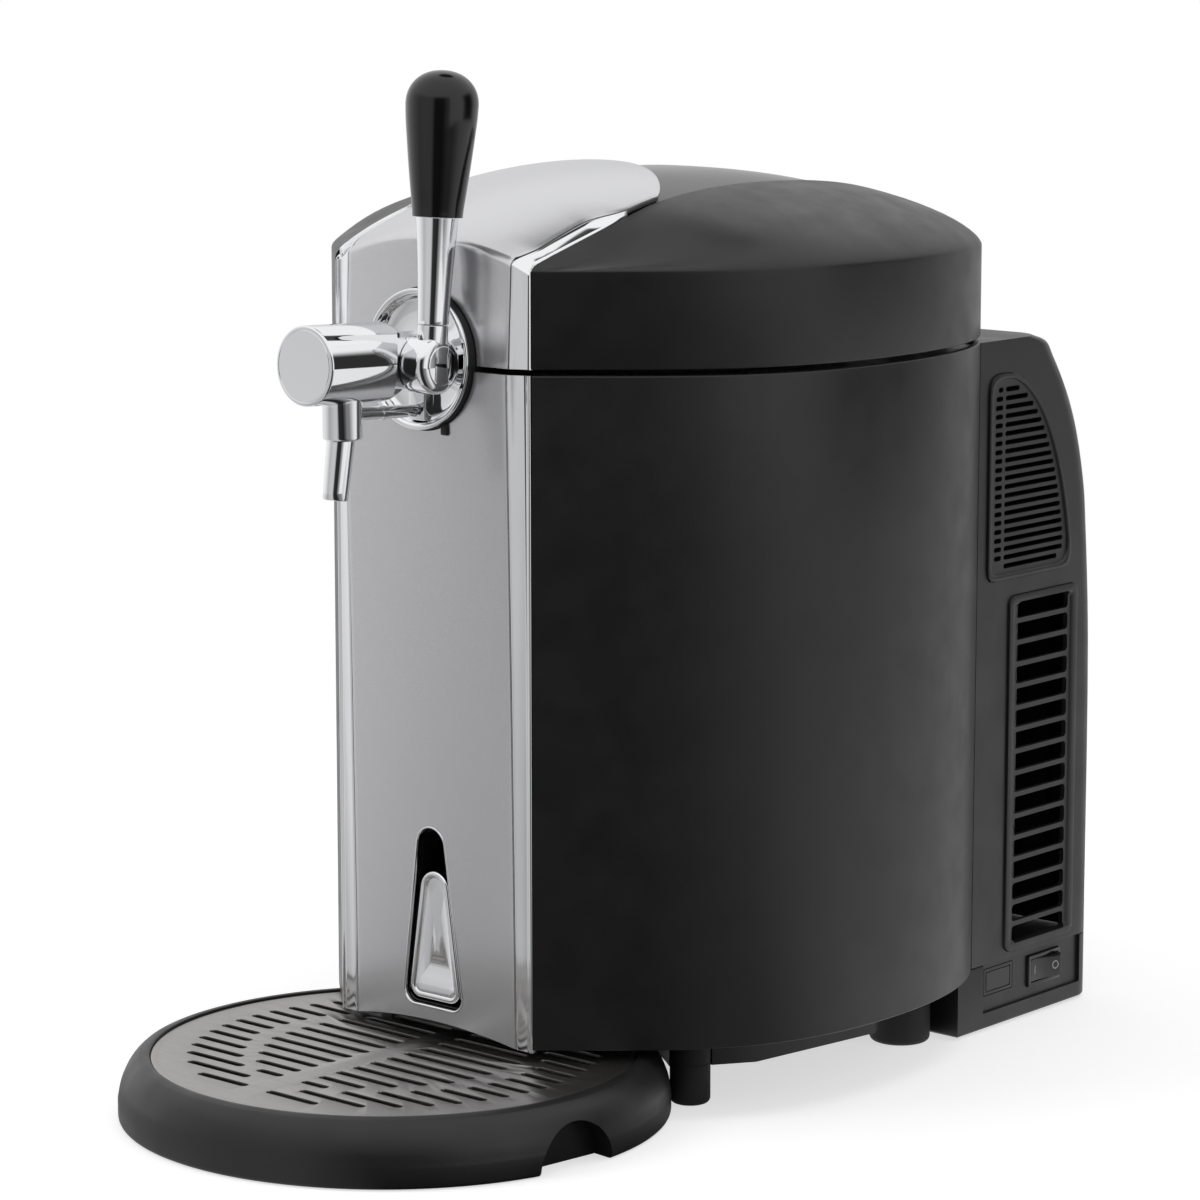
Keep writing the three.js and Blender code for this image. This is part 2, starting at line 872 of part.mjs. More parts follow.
function tapGasket() {
  const ring = turnedAlongTap([
    [shankRadius + seat, flangeRimBack + seat], [gasketRadius, flangeRimBack + seat],
    [gasketRadius, flangeRimBack + seat + gasketThickness],
    [shankRadius + seat, flangeRimBack + seat + gasketThickness], [shankRadius + seat, flangeRimBack + seat],
  ], wideSteps);
  return join(ring, gasketTab(0, 0));
}

function tapCradle() {
  const block = box(
    -cradleHalfWidth, cradleHalfWidth, cradleFrontY(), cradleBackY(), cradleFootZ, bodyTopZ - seat,
  );
  return cut(
    block,
    tapBore(shankRadius + seat, tapY, wellY, roundSteps),
    box(-shankRadius - seat, shankRadius + seat, tapY, wellY, tapZ, bodyTopZ + overrun),
  );
}

function shankNut() {
  const front = cradleBackY() - tapY + seat + nutRadius * Math.tan(tapPitch);
  const hexagon = cut(
    cylinderY(0, 0, nutRadius, front, front + nutLength, 6),
    cylinderY(0, 0, shankRadius + seat, front - overrun, front + nutLength + overrun, roundSteps),
  );
  return moved(hexagon, tapPlace());
}

// Spout collar, nozzle and the thin tube

function spoutCollar() {
  const sleeve = turned([
    [0, collarFootZ], [collarRadius - barrelChamfer, collarFootZ],
    [collarRadius, collarFootZ + barrelChamfer], [collarRadius, tapZ], [0, tapZ],
  ], roundSteps);
  const placed = moved(sleeve, new THREE.Matrix4().makeTranslation(0, collarY, 0));
  const bore = cylinderZ(0, collarY, nozzleBoreRadius, collarFootZ - overrun, tapZ - barrelRadius - seat, smallSteps);
  return cut(placed, barrelFill(barrelRadius + seat), bore);
}

function spoutNozzle() {
  const tube = cut(
    turned([
      [0, -nozzleLength], [nozzleEndRadius, -nozzleLength], [nozzleTopRadius, 0],
      [nozzleTopRadius, overrun], [0, overrun],
    ], roundSteps),
    cylinderZ(0, 0, nozzleBoreRadius, -nozzleLength - overrun, -nozzleLength + nozzleBoreDepth, smallSteps),
  );
  const place = new THREE.Matrix4().makeTranslation(0, nozzleTopY, collarFootZ - seat)
    .multiply(new THREE.Matrix4().makeRotationX(-nozzleTilt));
  return cut(moved(tube, place), box(
    -collarRadius, collarRadius, nozzleTopY - 2 * collarRadius, nozzleTopY + 2 * collarRadius,
    collarFootZ - seat, collarFootZ + 2 * overrun,
  ));
}

function bypassTube() {
  const start = new THREE.Vector3(0, collarY, tubeFrontZ);
  const end = new THREE.Vector3(0, lugFrontY - seat, tubeRearZ);
  const line = new THREE.LineCurve3(start, end);
  const round = new THREE.Shape(circle(0, 0, tubeRadius, smallSteps).map(([u, v]) => new THREE.Vector2(u, v)));
  const geometry = new THREE.ExtrudeGeometry(round, { extrudePath: line, steps: 1 });
  return cut(solid(geometry), cylinderZ(0, collarY, collarRadius + seat, collarFootZ, tapZ, roundSteps));
}

// Lever: hub, rod and knob

function leverHub() {
  const hub = moved(turned([
    [axleRadius + seat, hubStartX], [hubRadius, hubStartX], [hubRadius, hubShoulderX],
    [hubEndRadius, hubEndX], [0, hubEndX], [0, axleEndX + seat], [axleRadius + seat, axleEndX + seat],
    [axleRadius + seat, hubStartX],
  ]), new THREE.Matrix4().makeRotationY(Math.PI / 2));
  const ferrule = cut(
    cylinderZ(leverX, 0, ferruleRadius, hubEndRadius, ferruleTop, roundSteps),
    box(0, hubStartX, -hubRadius, hubRadius, 0, ferruleTop + overrun),
  );
  return join(hub, ferrule);
}

function leverRod() {
  const length = rodTop - ferruleTop - seat;
  return turned([
    [0, 0], [ferruleRadius, 0], [ferruleRadius + (rodTopRadius - ferruleRadius) * 0.35, length / 2],
    [rodTopRadius, length], [0, length],
  ], roundSteps);
}

function leverKnob() {
  const swellShares = [[0.667, 0], [0.67, 0.03], [0.85, 0.36], [0.91, 0.52], [0.985, 0.67], [1, 0.755],
    [0.975, 0.83], [0.87, 0.905], [0.68, 0.96], [0.38, 0.99]];
  const profile = swellShares.map(([r, h]) => [knobMaxRadius * r, knobLength * h]);
  profile[0][0] = knobFootRadius;
  return turned([[0, 0], ...profile, [0, knobLength]], roundSteps);
}

// Release paddle in the foot of the panel

function hullOutline(topZ, topRadius, footZ, footRadius, footHalf) {
  const points = [];
  const arcs = [
    [0, topZ, topRadius, 0.06, 0.94], [-footHalf, footZ, footRadius, 0.98, 1.5],
    [footHalf, footZ, footRadius, 1.5, 2.02],
  ];
  for (const [x, z, radius, from, to] of arcs) {
    for (let i = 0; i <= smallSteps / 2; i += 1) {
      const angle = Math.PI * (from + ((to - from) * i) / (smallSteps / 2));
      points.push([x + radius * Math.cos(angle), z + radius * Math.sin(angle)]);
    }
  }
  return points;
}

function recessOutline(inset) {
  return hullOutline(recessTopZ, recessTopRadius - inset, recessFootZ, recessFootRadius - inset, recessFootHalf);
}

function paddleOutline(inset) {
  return hullOutline(paddleTopZ, paddleTopRadius - inset, paddleFootZ, paddleFootRadius - inset, paddleFootHalf);
}

function latchCup() {
  return cut(
    alongY(recessOutline(seat), recessFrontY, recessBackY),
    alongY(recessOutline(seat + cupWall), recessFrontY - overrun, recessBackY - cupWall),
  );
}

function latchPaddle() {
  const plate = alongY(paddleOutline(0), paddleFrontY - paddleRimHeight, paddleFrontY + paddleThickness);
  const dish = alongY(paddleOutline(paddleRimWidth), paddleFrontY - paddleRimHeight - overrun, paddleFrontY);
  const lug = join(
    cylinderX(paddlePivotY, paddlePivotZ, paddleLugRadius, -paddleLugHalf, paddleLugHalf, smallSteps),
    box(-paddleLugHalf, paddleLugHalf, paddleFrontY + paddleThickness / 2, paddlePivotY,
      paddlePivotZ - paddleLugRadius, paddlePivotZ + paddleLugRadius),
  );
  const bore = cylinderX(
    paddlePivotY, paddlePivotZ, paddlePinRadius + seat, -recessFootHalf - recessFootRadius,
    recessFootHalf + recessFootRadius, smallSteps,
  );
  return cut(join(cut(plate, dish), lug), bore);
}

function latchPin() {
  const half = recessFootHalf + recessFootRadius - 2 * seat - cupWall;
  return cylinderX(paddlePivotY, paddlePivotZ, paddlePinRadius, -half, half, smallSteps);
}

// Tower at the rear

function towerSide(y) {
  return towerSideX - towerTaper * (y - towerSideY);
}

function towerOutline(rearY, inset) {
  const radius = towerCornerRadius - inset;
  const rear = rearY - inset;
  const right = [new THREE.Vector2(towerSide(towerFrontY) - inset, towerFrontY)];
  for (let i = 0; i <= towerCornerSteps; i += 1) {
    const angle = (Math.PI / 2) * (i / towerCornerSteps);
    const x = towerSide(rear - radius) - inset - radius * (1 - Math.cos(angle));
    right.push(new THREE.Vector2(x, rear - radius * (1 - Math.sin(angle))));
  }
  const left = right.slice().reverse().map((point) => new THREE.Vector2(-point.x, point.y));
  return right.concat(left);
}

function towerRings(inset, extraFoot) {
  return towerRearLevelShares.map((share, i) => {
    const z = bodyFootZ + (towerTopZ - bodyFootZ) * share;
    const rearY = towerRearY - (towerRearY - bodyRearY - towerTopDepth / 2) * towerRearDropShares[i];
    const foot = i === 0 ? extraFoot : 0;
    return level(towerOutline(rearY, inset), z - foot - inset * share);
  });
}

// The tower's right side as a frame: u runs back along it, v up, w out of it
function sidePlace() {
  const back = new THREE.Vector3(-towerTaper, 1, 0).normalize();
  const out = new THREE.Vector3(1, towerTaper, 0).normalize();
  const place = new THREE.Matrix4().makeBasis(back, new THREE.Vector3(0, 0, 1), out);
  place.setPosition(towerSideX, towerSideY, 0);
  return place;
}

function onSide(points, w0, w1) {
  const place = sidePlace().multiply(new THREE.Matrix4().makeTranslation(0, 0, w0));
  return extruded(outlineShape(points), w1 - w0, place);
}

function upperGrilleOutline(inset) {
  const width = upperGrilleWidth - 2 * inset;
  const height = upperGrilleHeight - 2 * inset;
  const at = ([u, v]) => new THREE.Vector2(width * u, height * v);
  const edgeShares = [[0.035, 0.045], [0.075, 0.005], [0.9, 0.01], [0.985, 0.05]];
  const sweepShares = [[0.995, 0.12], [0.93, 0.44], [0.72, 0.9], [0.27, 0.995]];
  const sweep = new THREE.CubicBezierCurve(...sweepShares.map(at));
  const topShares = [[0.07, 0.985], [0, 0.93]];
  const points = [...edgeShares.map(at), ...sweep.getPoints(smallSteps / 2), ...topShares.map(at)];
  return points.map((point) => [
    point.x + upperGrilleStart + inset, point.y + upperGrilleFootZ + inset,
  ]);
}

function upperGrille() {
  const slots = [];
  for (let i = 0; i < upperSlotCount; i += 1) {
    const z = upperGrilleFootZ + upperSlotMargin - upperSlotHeight / 2 + i * upperSlotPitch;
    slots.push(slotOutline(upperGrilleStart, z, upperGrilleWidth, upperSlotHeight));
  }
  const bars = slots.map((slot) => onSide(slot, -grillePlate - overrun, grilleRimHeight + overrun));
  const field = onSide(upperGrilleOutline(upperSlotMargin), -grillePlate - overrun, overrun);
  const plate = onSide(upperGrilleOutline(seat), -grillePlate, grilleRimHeight);
  const sunk = onSide(upperGrilleOutline(seat + grilleRimWidth), 0, grilleRimHeight + overrun);
  return cut(plate, sunk, common(field, join(...bars)));
}

function chamferedRectangle(u, v, width, height, chamfer) {
  return [
    [u + chamfer, v], [u + width - chamfer, v], [u + width, v + chamfer], [u + width, v + height - chamfer],
    [u + width - chamfer, v + height], [u + chamfer, v + height], [u, v + height - chamfer], [u, v + chamfer],
  ];
}

function slotOutline(u, v, width, height) {
  return [[u, v], [u + width, v], [u + width, v + height], [u, v + height]];
}

function lowerGrilleOutline(inset) {
  return chamferedRectangle(
    lowerGrilleStart + inset, lowerGrilleFootZ + inset, lowerGrilleWidth - 2 * inset,
    lowerGrilleHeight - 2 * inset, lowerGrilleCorner - inset / 2,
  );
}

function lowerGrille() {
  const slotStart = lowerGrilleStart + (lowerGrilleWidth - lowerSlotWidth) / 2;
  const rowsHeight = (lowerSlotCount - 1) * lowerSlotPitch + lowerSlotHeight;
  const firstZ = lowerGrilleFootZ + (lowerGrilleHeight - rowsHeight) / 2;
  const slots = [];
  for (let i = 0; i < lowerSlotCount; i += 1) {
    slots.push(onSide(
      slotOutline(slotStart, firstZ + i * lowerSlotPitch, lowerSlotWidth, lowerSlotHeight),
      -grillePlate - overrun, grilleRimHeight + overrun,
    ));
  }
  const plate = onSide(lowerGrilleOutline(seat), -grillePlate, grilleRimHeight);
  const rimRail = (lowerGrilleWidth - lowerSlotWidth) / 2 - grilleRimWidth / 2;
  const sunk = onSide(chamferedRectangle(
    lowerGrilleStart + rimRail, lowerGrilleFootZ + grilleRimWidth / 2, lowerGrilleWidth - 2 * rimRail,
    lowerGrilleHeight - grilleRimWidth, lowerGrilleCorner,
  ), 0, grilleRimHeight + overrun);
  return cut(plate, sunk, join(...slots));
}

function towerCover() {
  const outer = loft(towerRings(0, 0));
  const inner = loft(towerRings(towerWall, overrun));
  const body = bodyFill(-seat, bodyFootZ - overrun, bodyTopZ + overrun);
  const ledgeOuter = rearCoverHalf + seat;
  const ledge = box(
    -ledgeOuter - towerWall, ledgeOuter + towerWall, rearCoverBackY - seat - rearLedgeDepth,
    rearCoverBackY - seat + overrun / 2, rearCoverZ - ledgeOuter - towerWall, rearCoverZ + ledgeOuter + towerWall,
  );
  const recess = box(
    -ledgeOuter, ledgeOuter, rearCoverBackY - seat, towerRearY + overrun,
    rearCoverZ - ledgeOuter, rearCoverZ + ledgeOuter,
  );
  const ledgeInner = rearCoverHalf - rearLedgeWidth;
  const hole = box(
    -ledgeInner, ledgeInner, fanBackY(), towerRearY + overrun,
    rearCoverZ - ledgeInner, rearCoverZ + ledgeInner,
  );
  const grilleHoles = [upperGrilleOutline(0), lowerGrilleOutline(0)].map(
    (outline) => onSide(outline, -grillePlate - overrun, grilleRimHeight + overrun),
  );
  const screwHoles = screwPlaces().map(([x, z]) => cylinderY(
    x, z, screwShankRadius + seat, rearCoverBackY - rearLedgeDepth - overrun, towerRearY, smallSteps,
  ));
  const walls = cut(join(cut(outer, inner), common(outer, ledge)), body, recess, hole, ...screwHoles);
  return cut(walls, ...grilleHoles, ...grilleHoles.map(mirrored));
}

// Cooling train

function fanBackY() {
  return sinkBackY() + seat + fanDepth;
}

function sinkFrontY() {
  return coldBlockEndY + 2 * seat + moduleThickness;
}

function sinkBackY() {
  return sinkFrontY() + sinkBase + sinkFinDepth;
}

function coldBlock() {
  const half = coldBlockSize / 2;
  return cut(
    box(-half, half, wellY + wellBoreRadius, coldBlockEndY, coolerZ - half, coolerZ + half),
    wellFill(wellBoreRadius + wellWall + seat, 0, bodyTopZ),
  );
}

function peltierModule() {
  const half = moduleSize / 2;
  return box(
    -half, half, coldBlockEndY + seat, coldBlockEndY + seat + moduleThickness, coolerZ - half, coolerZ + half,
  );
}

function heatSink() {
  const half = sinkSize / 2;
  const plate = box(-half, half, sinkFrontY(), sinkFrontY() + sinkBase, coolerZ - half, coolerZ + half);
  const fins = [];
  for (let i = 0; i < sinkFinCount; i += 1) {
    const x = -half + ((sinkSize - sinkFinThickness) * i) / (sinkFinCount - 1);
    fins.push(box(
      x, x + sinkFinThickness, sinkFrontY() + sinkBase / 2, sinkBackY(), coolerZ - half, coolerZ + half,
    ));
  }
  return join(plate, ...fins);
}

function fanFrame() {
  const half = fanSize / 2;
  const frontY = sinkBackY() + seat;
  const backY = fanBackY();
  const ring = cut(
    box(-half, half, frontY, backY, coolerZ - half, coolerZ + half),
    cylinderY(0, coolerZ, fanBoreRadius, frontY - overrun, backY + overrun, roundSteps),
  );
  const struts = [];
  for (let i = 0; i < fanStrutCount; i += 1) {
    const bar = box(0, fanBoreRadius + fanStrutDepth / 2, backY - fanStrutDepth, backY, -fanStrutWidth / 2, fanStrutWidth / 2);
    struts.push(moved(bar, new THREE.Matrix4().makeTranslation(0, 0, coolerZ)
      .multiply(new THREE.Matrix4().makeRotationY((2 * Math.PI * i) / fanStrutCount + Math.PI / 2))));
  }
  const hub = cylinderY(0, coolerZ, fanHubRadius, backY - fanStrutDepth, backY, roundSteps);
  const stub = cylinderY(0, coolerZ, fanStubRadius, backY - fanStrutDepth - fanStubLength, backY, smallSteps);
  return join(ring, hub, stub, ...struts);
}

function fanRotor() {
  const backY = fanBackY() - fanStrutDepth - 2 * seat;
  const hub = cut(
    cylinderY(0, 0, fanHubRadius, backY - fanHubDepth, backY, roundSteps),
    cylinderY(0, 0, fanStubRadius + seat, fanBackY() - fanStrutDepth - fanStubLength - seat, backY + overrun, smallSteps),
  );
  const blades = [];
  for (let i = 0; i < fanBladeCount; i += 1) {
    const blade = new THREE.BoxGeometry(fanBladeTip - fanHubRadius / 2, fanBladeDepth, fanBladeThickness);
    blade.rotateX(fanBladePitch);
    blade.translate((fanBladeTip + fanHubRadius / 2) / 2, backY - fanHubDepth / 2, 0);
    blade.rotateY((2 * Math.PI * i) / fanBladeCount);
    blades.push(solid(blade));
  }
  return join(hub, ...blades);
}

function circuitBoard() {
  const frontY = bodyRearY + boardStandoff;
  const board = box(-boardHalfWidth, boardHalfWidth, frontY, frontY + boardThickness, boardFootZ, boardTopZ);
  const middleZ = (boardFootZ + boardTopZ) / 2;
  const transformer = box(
    boardHalfWidth - transformerWidth - boardPostInset, boardHalfWidth - boardPostInset, frontY, frontY + transformerDepth,
    middleZ - transformerHeight / 2, middleZ + transformerHeight / 2,
  );
  const cans = [-1, 0, 1].map((place) => cylinderY(
    -boardHalfWidth / 2 + place * 1.3 * capacitorRadius * 2, middleZ - capacitorRadius, capacitorRadius,
    frontY, frontY + capacitorLength, smallSteps,
  ));
  return join(board, transformer, ...cans);
}

// Rear cover and screws

function screwPlaces() {
  const reach = rearCoverHalf - screwInset;
  return [[-1, -1], [1, -1], [-1, 1], [1, 1]].map(([x, z]) => [x * reach, rearCoverZ + z * reach]);
}

function rearCover() {
  const plate = box(
    -rearCoverHalf, rearCoverHalf, rearCoverBackY, rearCoverBackY + rearCoverThickness,
    rearCoverZ - rearCoverHalf, rearCoverZ + rearCoverHalf,
  );
  const slots = [];
  for (let i = 0; i < rearSlotCount; i += 1) {
    const rise = (i - (rearSlotCount - 1) / 2) * rearSlotPitch;
    const half = Math.sqrt(rearSlotRadius ** 2 - rise ** 2);
    slots.push(box(
      -half, half, rearCoverBackY - overrun, rearCoverBackY + rearCoverThickness + overrun,
      coolerZ + rise - rearSlotHeight / 2, coolerZ + rise + rearSlotHeight / 2,
    ));
  }
  const holes = screwPlaces().map(([x, z]) => cylinderY(
    x, z, screwShankRadius + seat, rearCoverBackY - overrun, towerRearY + overrun, smallSteps,
  ));
  return cut(plate, ...slots, ...holes);
}

function coverScrew([x, z]) {
  const headY = rearCoverBackY + rearCoverThickness + seat;
  return join(
    cylinderY(x, z, screwHeadRadius, headY, headY + screwHeadHeight, smallSteps),
    cylinderY(x, z, screwShankRadius, headY - screwLength, headY + screwHeadHeight / 2, smallSteps),
  );
}

// Base moulding, feet, inlet and switch

function panOutline() {
  const right = [];
  const nest = trayRadius + runningGap;
  const footClear = frontFootX - frontFootRadius - runningGap;
  for (let i = 0; i <= smallSteps; i += 1) {
    const x = (footClear * i) / smallSteps;
    right.push([x, trayY + Math.sqrt(nest ** 2 - x ** 2)]);
  }
  right.push([footClear, panFrontCornerY], [panFrontCornerX, panFrontCornerY], [panShoulderX, panShoulderY]);
  right.push([panSideX, panSideY], [panRearCornerX, panRearCornerY], [panTailHalf, panRearCornerY]);
  right.push([panTailHalf, baseBlockFrontY + overrun]);
  const left = right.slice(1).reverse().map(([x, y]) => [-x, y]);
  return right.concat(left);
}

function baseMoulding() {
  const plateTopZ = floorPlateFootZ + floorPlateThickness;
  const plate = bodyFill(shellWall + seat, floorPlateFootZ, plateTopZ);
  const pan = alongZ(panOutline(), panFootZ, floorPlateFootZ + floorPlateThickness / 2);
  const blockTopZ = bodyFootZ - seat;
  const outline = towerOutline(towerRearY, 0);
  const block = common(
    loft([level(outline, baseBlockFootZ), level(outline, blockTopZ)]),
    box(-bodyHalfWidth, bodyHalfWidth, baseBlockFrontY, towerRearY + overrun, 0, bodyTopZ),
  );
  const stripPocket = onSide([
    [stripStart, stripFootZ], [stripEnd, stripFootZ], [stripEnd, bodyFootZ + overrun], [stripStart, bodyFootZ + overrun],
  ], -stripRecess, overrun);
  const bezelHole = onSide(
    chamferedRectangle(bezelStart, bezelFootZ, bezelWidth, bezelHeight, seat), -bezelDepth - 2 * seat - stripRecess, overrun,
  );
  const blankHole = onSide(
    chamferedRectangle(blankStart, blankFootZ, blankWidth, blankHeight, seat),
    -stripRecess - blankThickness - seat, overrun,
  );
  const inletHole = box(
    inletX - inletHalfWidth - seat, inletX + inletHalfWidth + seat, towerRearY - inletDepth - seat,
    towerRearY + overrun, inletZ - inletHalfHeight - seat, inletZ + inletHalfHeight + seat,
  );
  const neckHalf = bodyRearFlat - overrun;
  const neck = box(
    -neckHalf, neckHalf, baseBlockFrontY + seat, bodyRearY - shellWall - 2 * seat,
    blockTopZ - overrun, plateTopZ - floorPlateThickness / 2,
  );
  const joined = join(plate, pan, block, neck);
  return cut(joined, stripPocket, bezelHole, blankHole, inletHole);
}

function foot(x, y, radius) {
  const top = floorPlateFootZ - seat;
  const pad = turned([
    [0, 0], [radius - footRound, 0], [radius - footRound * 0.3, footRound * 0.3], [radius, footRound],
    [radius, top], [0, top],
  ], footSteps);
  return moved(pad, new THREE.Matrix4().makeTranslation(x, y, 0));
}

function powerInlet() {
  const frontY = towerRearY - inletDepth;
  const cavityY = towerRearY - inletCavityDepth;
  const housing = box(
    inletX - inletHalfWidth, inletX + inletHalfWidth, frontY, towerRearY,
    inletZ - inletHalfHeight, inletZ + inletHalfHeight,
  );
  const cavity = alongY(chamferedRectangle(
    inletX - inletHalfWidth + inletWall, inletZ - inletHalfHeight + inletWall,
    2 * (inletHalfWidth - inletWall), 2 * (inletHalfHeight - inletWall), inletWall,
  ), cavityY, towerRearY + overrun);
  const pins = [-1, 0, 1].map((place) => {
    const x = inletX + place * inletPinPitch;
    const z = inletZ + (place === 0 ? inletPinHeight / 2 : -inletPinHeight / 2);
    return box(
      x - inletPinWidth / 2, x + inletPinWidth / 2, cavityY - inletWall, cavityY + inletPinLength,
      z - inletPinHeight / 2, z + inletPinHeight / 2,
    );
  });
  return join(cut(housing, cavity), ...pins);
}

function switchBezel() {
  const body = onSide(
    chamferedRectangle(bezelStart + seat, bezelFootZ + seat, bezelWidth - 2 * seat, bezelHeight - 2 * seat, seat),
    -bezelDepth - stripRecess, -stripRecess + bezelProud,
  );
  const pocket = onSide(
    chamferedRectangle(
      bezelStart + bezelFrame, bezelFootZ + bezelFrame, bezelWidth - 2 * bezelFrame, bezelHeight - 2 * bezelFrame, seat,
    ),
    -stripRecess - bezelPocketDepth, overrun,
  );
  return cut(body, pocket);
}

function rockerOutline() {
  const half = bezelWidth / 2 - bezelFrame - 2 * seat;
  return [
    [-half, rockerProud / 2], [0, 0], [half, rockerProud / 2],
    [half * 0.92, rockerProud / 2 - rockerThickness], [-half * 0.92, rockerProud / 2 - rockerThickness],
  ];
}

// The rocker in its pivot's frame: x along the side, y up, z out
function switchRocker() {
  const halfHeight = bezelHeight / 2 - bezelFrame - seat;
  const change = new THREE.Matrix4().makeBasis(
    new THREE.Vector3(1, 0, 0), new THREE.Vector3(0, 0, 1), new THREE.Vector3(0, -1, 0),
  );
  change.setPosition(0, halfHeight, rockerPivotDepth);
  const rocker = extruded(outlineShape(rockerOutline()), 2 * halfHeight, change);
  return moved(rocker, new THREE.Matrix4().makeRotationY(-rockerTilt));
}

function rockerPlace() {
  return sidePlace().multiply(new THREE.Matrix4().makeTranslation(
    bezelStart + bezelWidth / 2, bezelFootZ + bezelHeight / 2, -stripRecess + bezelProud - rockerPivotDepth,
  ));
}

function blankCover() {
  return onSide(
    chamferedRectangle(blankStart + seat, blankFootZ + seat, blankWidth - 2 * seat, blankHeight - 2 * seat, seat),
    -stripRecess - blankThickness, -stripRecess,
  );
}

// Drip tray and plate

function dripTray() {
  const bowlRadius = traySeatRadius - traySeatWidth;
  const dish = turned([
    [0, 0], [trayRadius - 1.2 * trayWall, 0], [trayRadius, trayWall], [trayRadius, trayWallTopZ],
    [trayRadius - (trayRadius - trayRimRadius) * 0.13, trayWallTopZ + (trayRimZ - trayWallTopZ) * 0.36],
    [trayRadius - (trayRadius - trayRimRadius) * 0.42, trayWallTopZ + (trayRimZ - trayWallTopZ) * 0.72],
    [trayRadius - (trayRadius - trayRimRadius) * 0.76, trayWallTopZ + (trayRimZ - trayWallTopZ) * 0.94],
    [trayRimRadius, trayRimZ], [traySeatRadius, trayRimZ], [traySeatRadius, traySeatZ],
    [bowlRadius, traySeatZ], [bowlRadius, trayFloor], [0, trayFloor],
  ], traySteps);
  const placed = moved(dish, new THREE.Matrix4().makeTranslation(0, trayY, 0));
  const scoop = cylinderX(0, 0, trayNotchRadius, trayRadius - trayNotchDepth, trayRadius + overrun, roundSteps);
  const turn = new THREE.Matrix4().makeTranslation(0, trayY, 0)
    .multiply(new THREE.Matrix4().makeRotationZ(trayNotchAngle));
  const right = moved(scoop, turn);
  return cut(placed, right, mirrored(right));
}

function plateSlots() {
  const slots = [];
  for (let row = -plateSlotRowCount; row <= plateSlotRowCount; row += 1) {
    const rise = row * plateSlotPitch;
    const outer = Math.sqrt(plateSlotField ** 2 - rise ** 2);
    const grown = plateSlotOuterLength + plateSlotGrowth * Math.max(0, Math.abs(row) - 2);
    const start = Math.max(plateSlotMiddle, outer - grown);
    const spans = [[start, outer]];
    if (start - plateSlotGap - plateSlotMiddle > 2 * plateSlotWidth) {
      spans.push([plateSlotMiddle, start - plateSlotGap]);
    }
    for (const [from, to] of spans) {
      slots.push([from, to, trayY + rise], [-to, -from, trayY + rise]);
    }
  }
  return slots;
}

function dripPlate() {
  const footZ = traySeatZ + seat;
  const disc = cylinderZ(0, trayY, plateRadius, footZ, footZ + plateThickness, traySteps);
  const half = plateSlotWidth / 2;
  const slots = plateSlots().map(([x0, x1, y]) => alongZ(
    [[x0, y - half], [x1, y - half], [x1, y + half], [x0, y + half]],
    footZ - overrun, footZ + plateThickness + overrun,
  ));
  return cut(disc, join(...slots));
}

// Lid: dome, tongue, bands and valley

function planShare(x, y) {
  const dx = x;
  const dy = y - bodyWidestY;
  let nearest = Infinity;
  for (let i = 0; i < lidOutline.length; i += 1) {
    const a = lidOutline[i];
    const b = lidOutline[(i + 1) % lidOutline.length];
    const ax = a.x;
    const ay = a.y - bodyWidestY;
    const ex = b.x - a.x;
    const ey = b.y - a.y;
    const turn = dx * ey - dy * ex;
    const along = (ax * ey - ay * ex) / turn;
    const place = (ax * dy - ay * dx) / turn;
    if (along > 0 && place >= -joinSlackShare && place <= 1 + joinSlackShare) {
      nearest = Math.min(nearest, along);
    }
  }
  return 1 / nearest;
}

function domeZ(share) {
  return lidWallTopZ + lidRise * (1 - Math.min(share, 1) ** domePower);
}

function scaledOutline(points, share) {
  return points.map((point) => new THREE.Vector2(
    point.x * share, bodyWidestY + (point.y - bodyWidestY) * share,
  ));
}

function domeFill() {
  const topShares = [0.985, 0.93, 0.86, 0.76, 0.62, 0.45, 0.22];
  const rings = [
    level(planOutline(lidPanelY(lidFootZ), bodyHalfWidth), lidFootZ),
    level(lidOutline, lidWallTopZ - lidEdgeRound),
  ];
  topShares.forEach((share) => rings.push(level(scaledOutline(lidOutline, share), domeZ(share))));
  return loft(rings);
}

function tongueAlongShare(y) {
  return THREE.MathUtils.clamp((y - lidPanelTopY) / (tongueTipY - lidPanelTopY), 0, 1);
}

function tongueRise(y) {
  return 1 - (1 - tongueAlongShare(y)) ** tongueRisePower;
}

function tongueEdgeZ(y) {
  return tongueCreaseEdgeZ + (tongueTipEdgeZ - tongueCreaseEdgeZ) * tongueRise(y);
}

function tongueMiddleZ(y) {
  return tongueCreaseMiddleZ + (tongueTipMiddleZ - tongueCreaseMiddleZ) * tongueRise(y);
}

function tongueFullHalf(y) {
  const spread = THREE.MathUtils.smoothstep(y, tongueSpreadY, tongueTipY - tongueTipLength);
  return panelHalfWidth + (tongueWideHalf - panelHalfWidth) * spread;
}

function tongueHalf(y) {
  const into = (y - (tongueTipY - tongueTipLength)) / tongueTipLength;
  if (into <= 0) {
    return tongueFullHalf(y);
  }
  return tongueFullHalf(y) * (1 - Math.min(into, 1) ** tongueTipPower) ** (1 / tongueTipPower);
}

function tongueTopZ(x, y) {
  const share = x / tongueFullHalf(y);
  return tongueEdgeZ(y) + (tongueMiddleZ(y) - tongueEdgeZ(y)) * (1 - share * share);
}

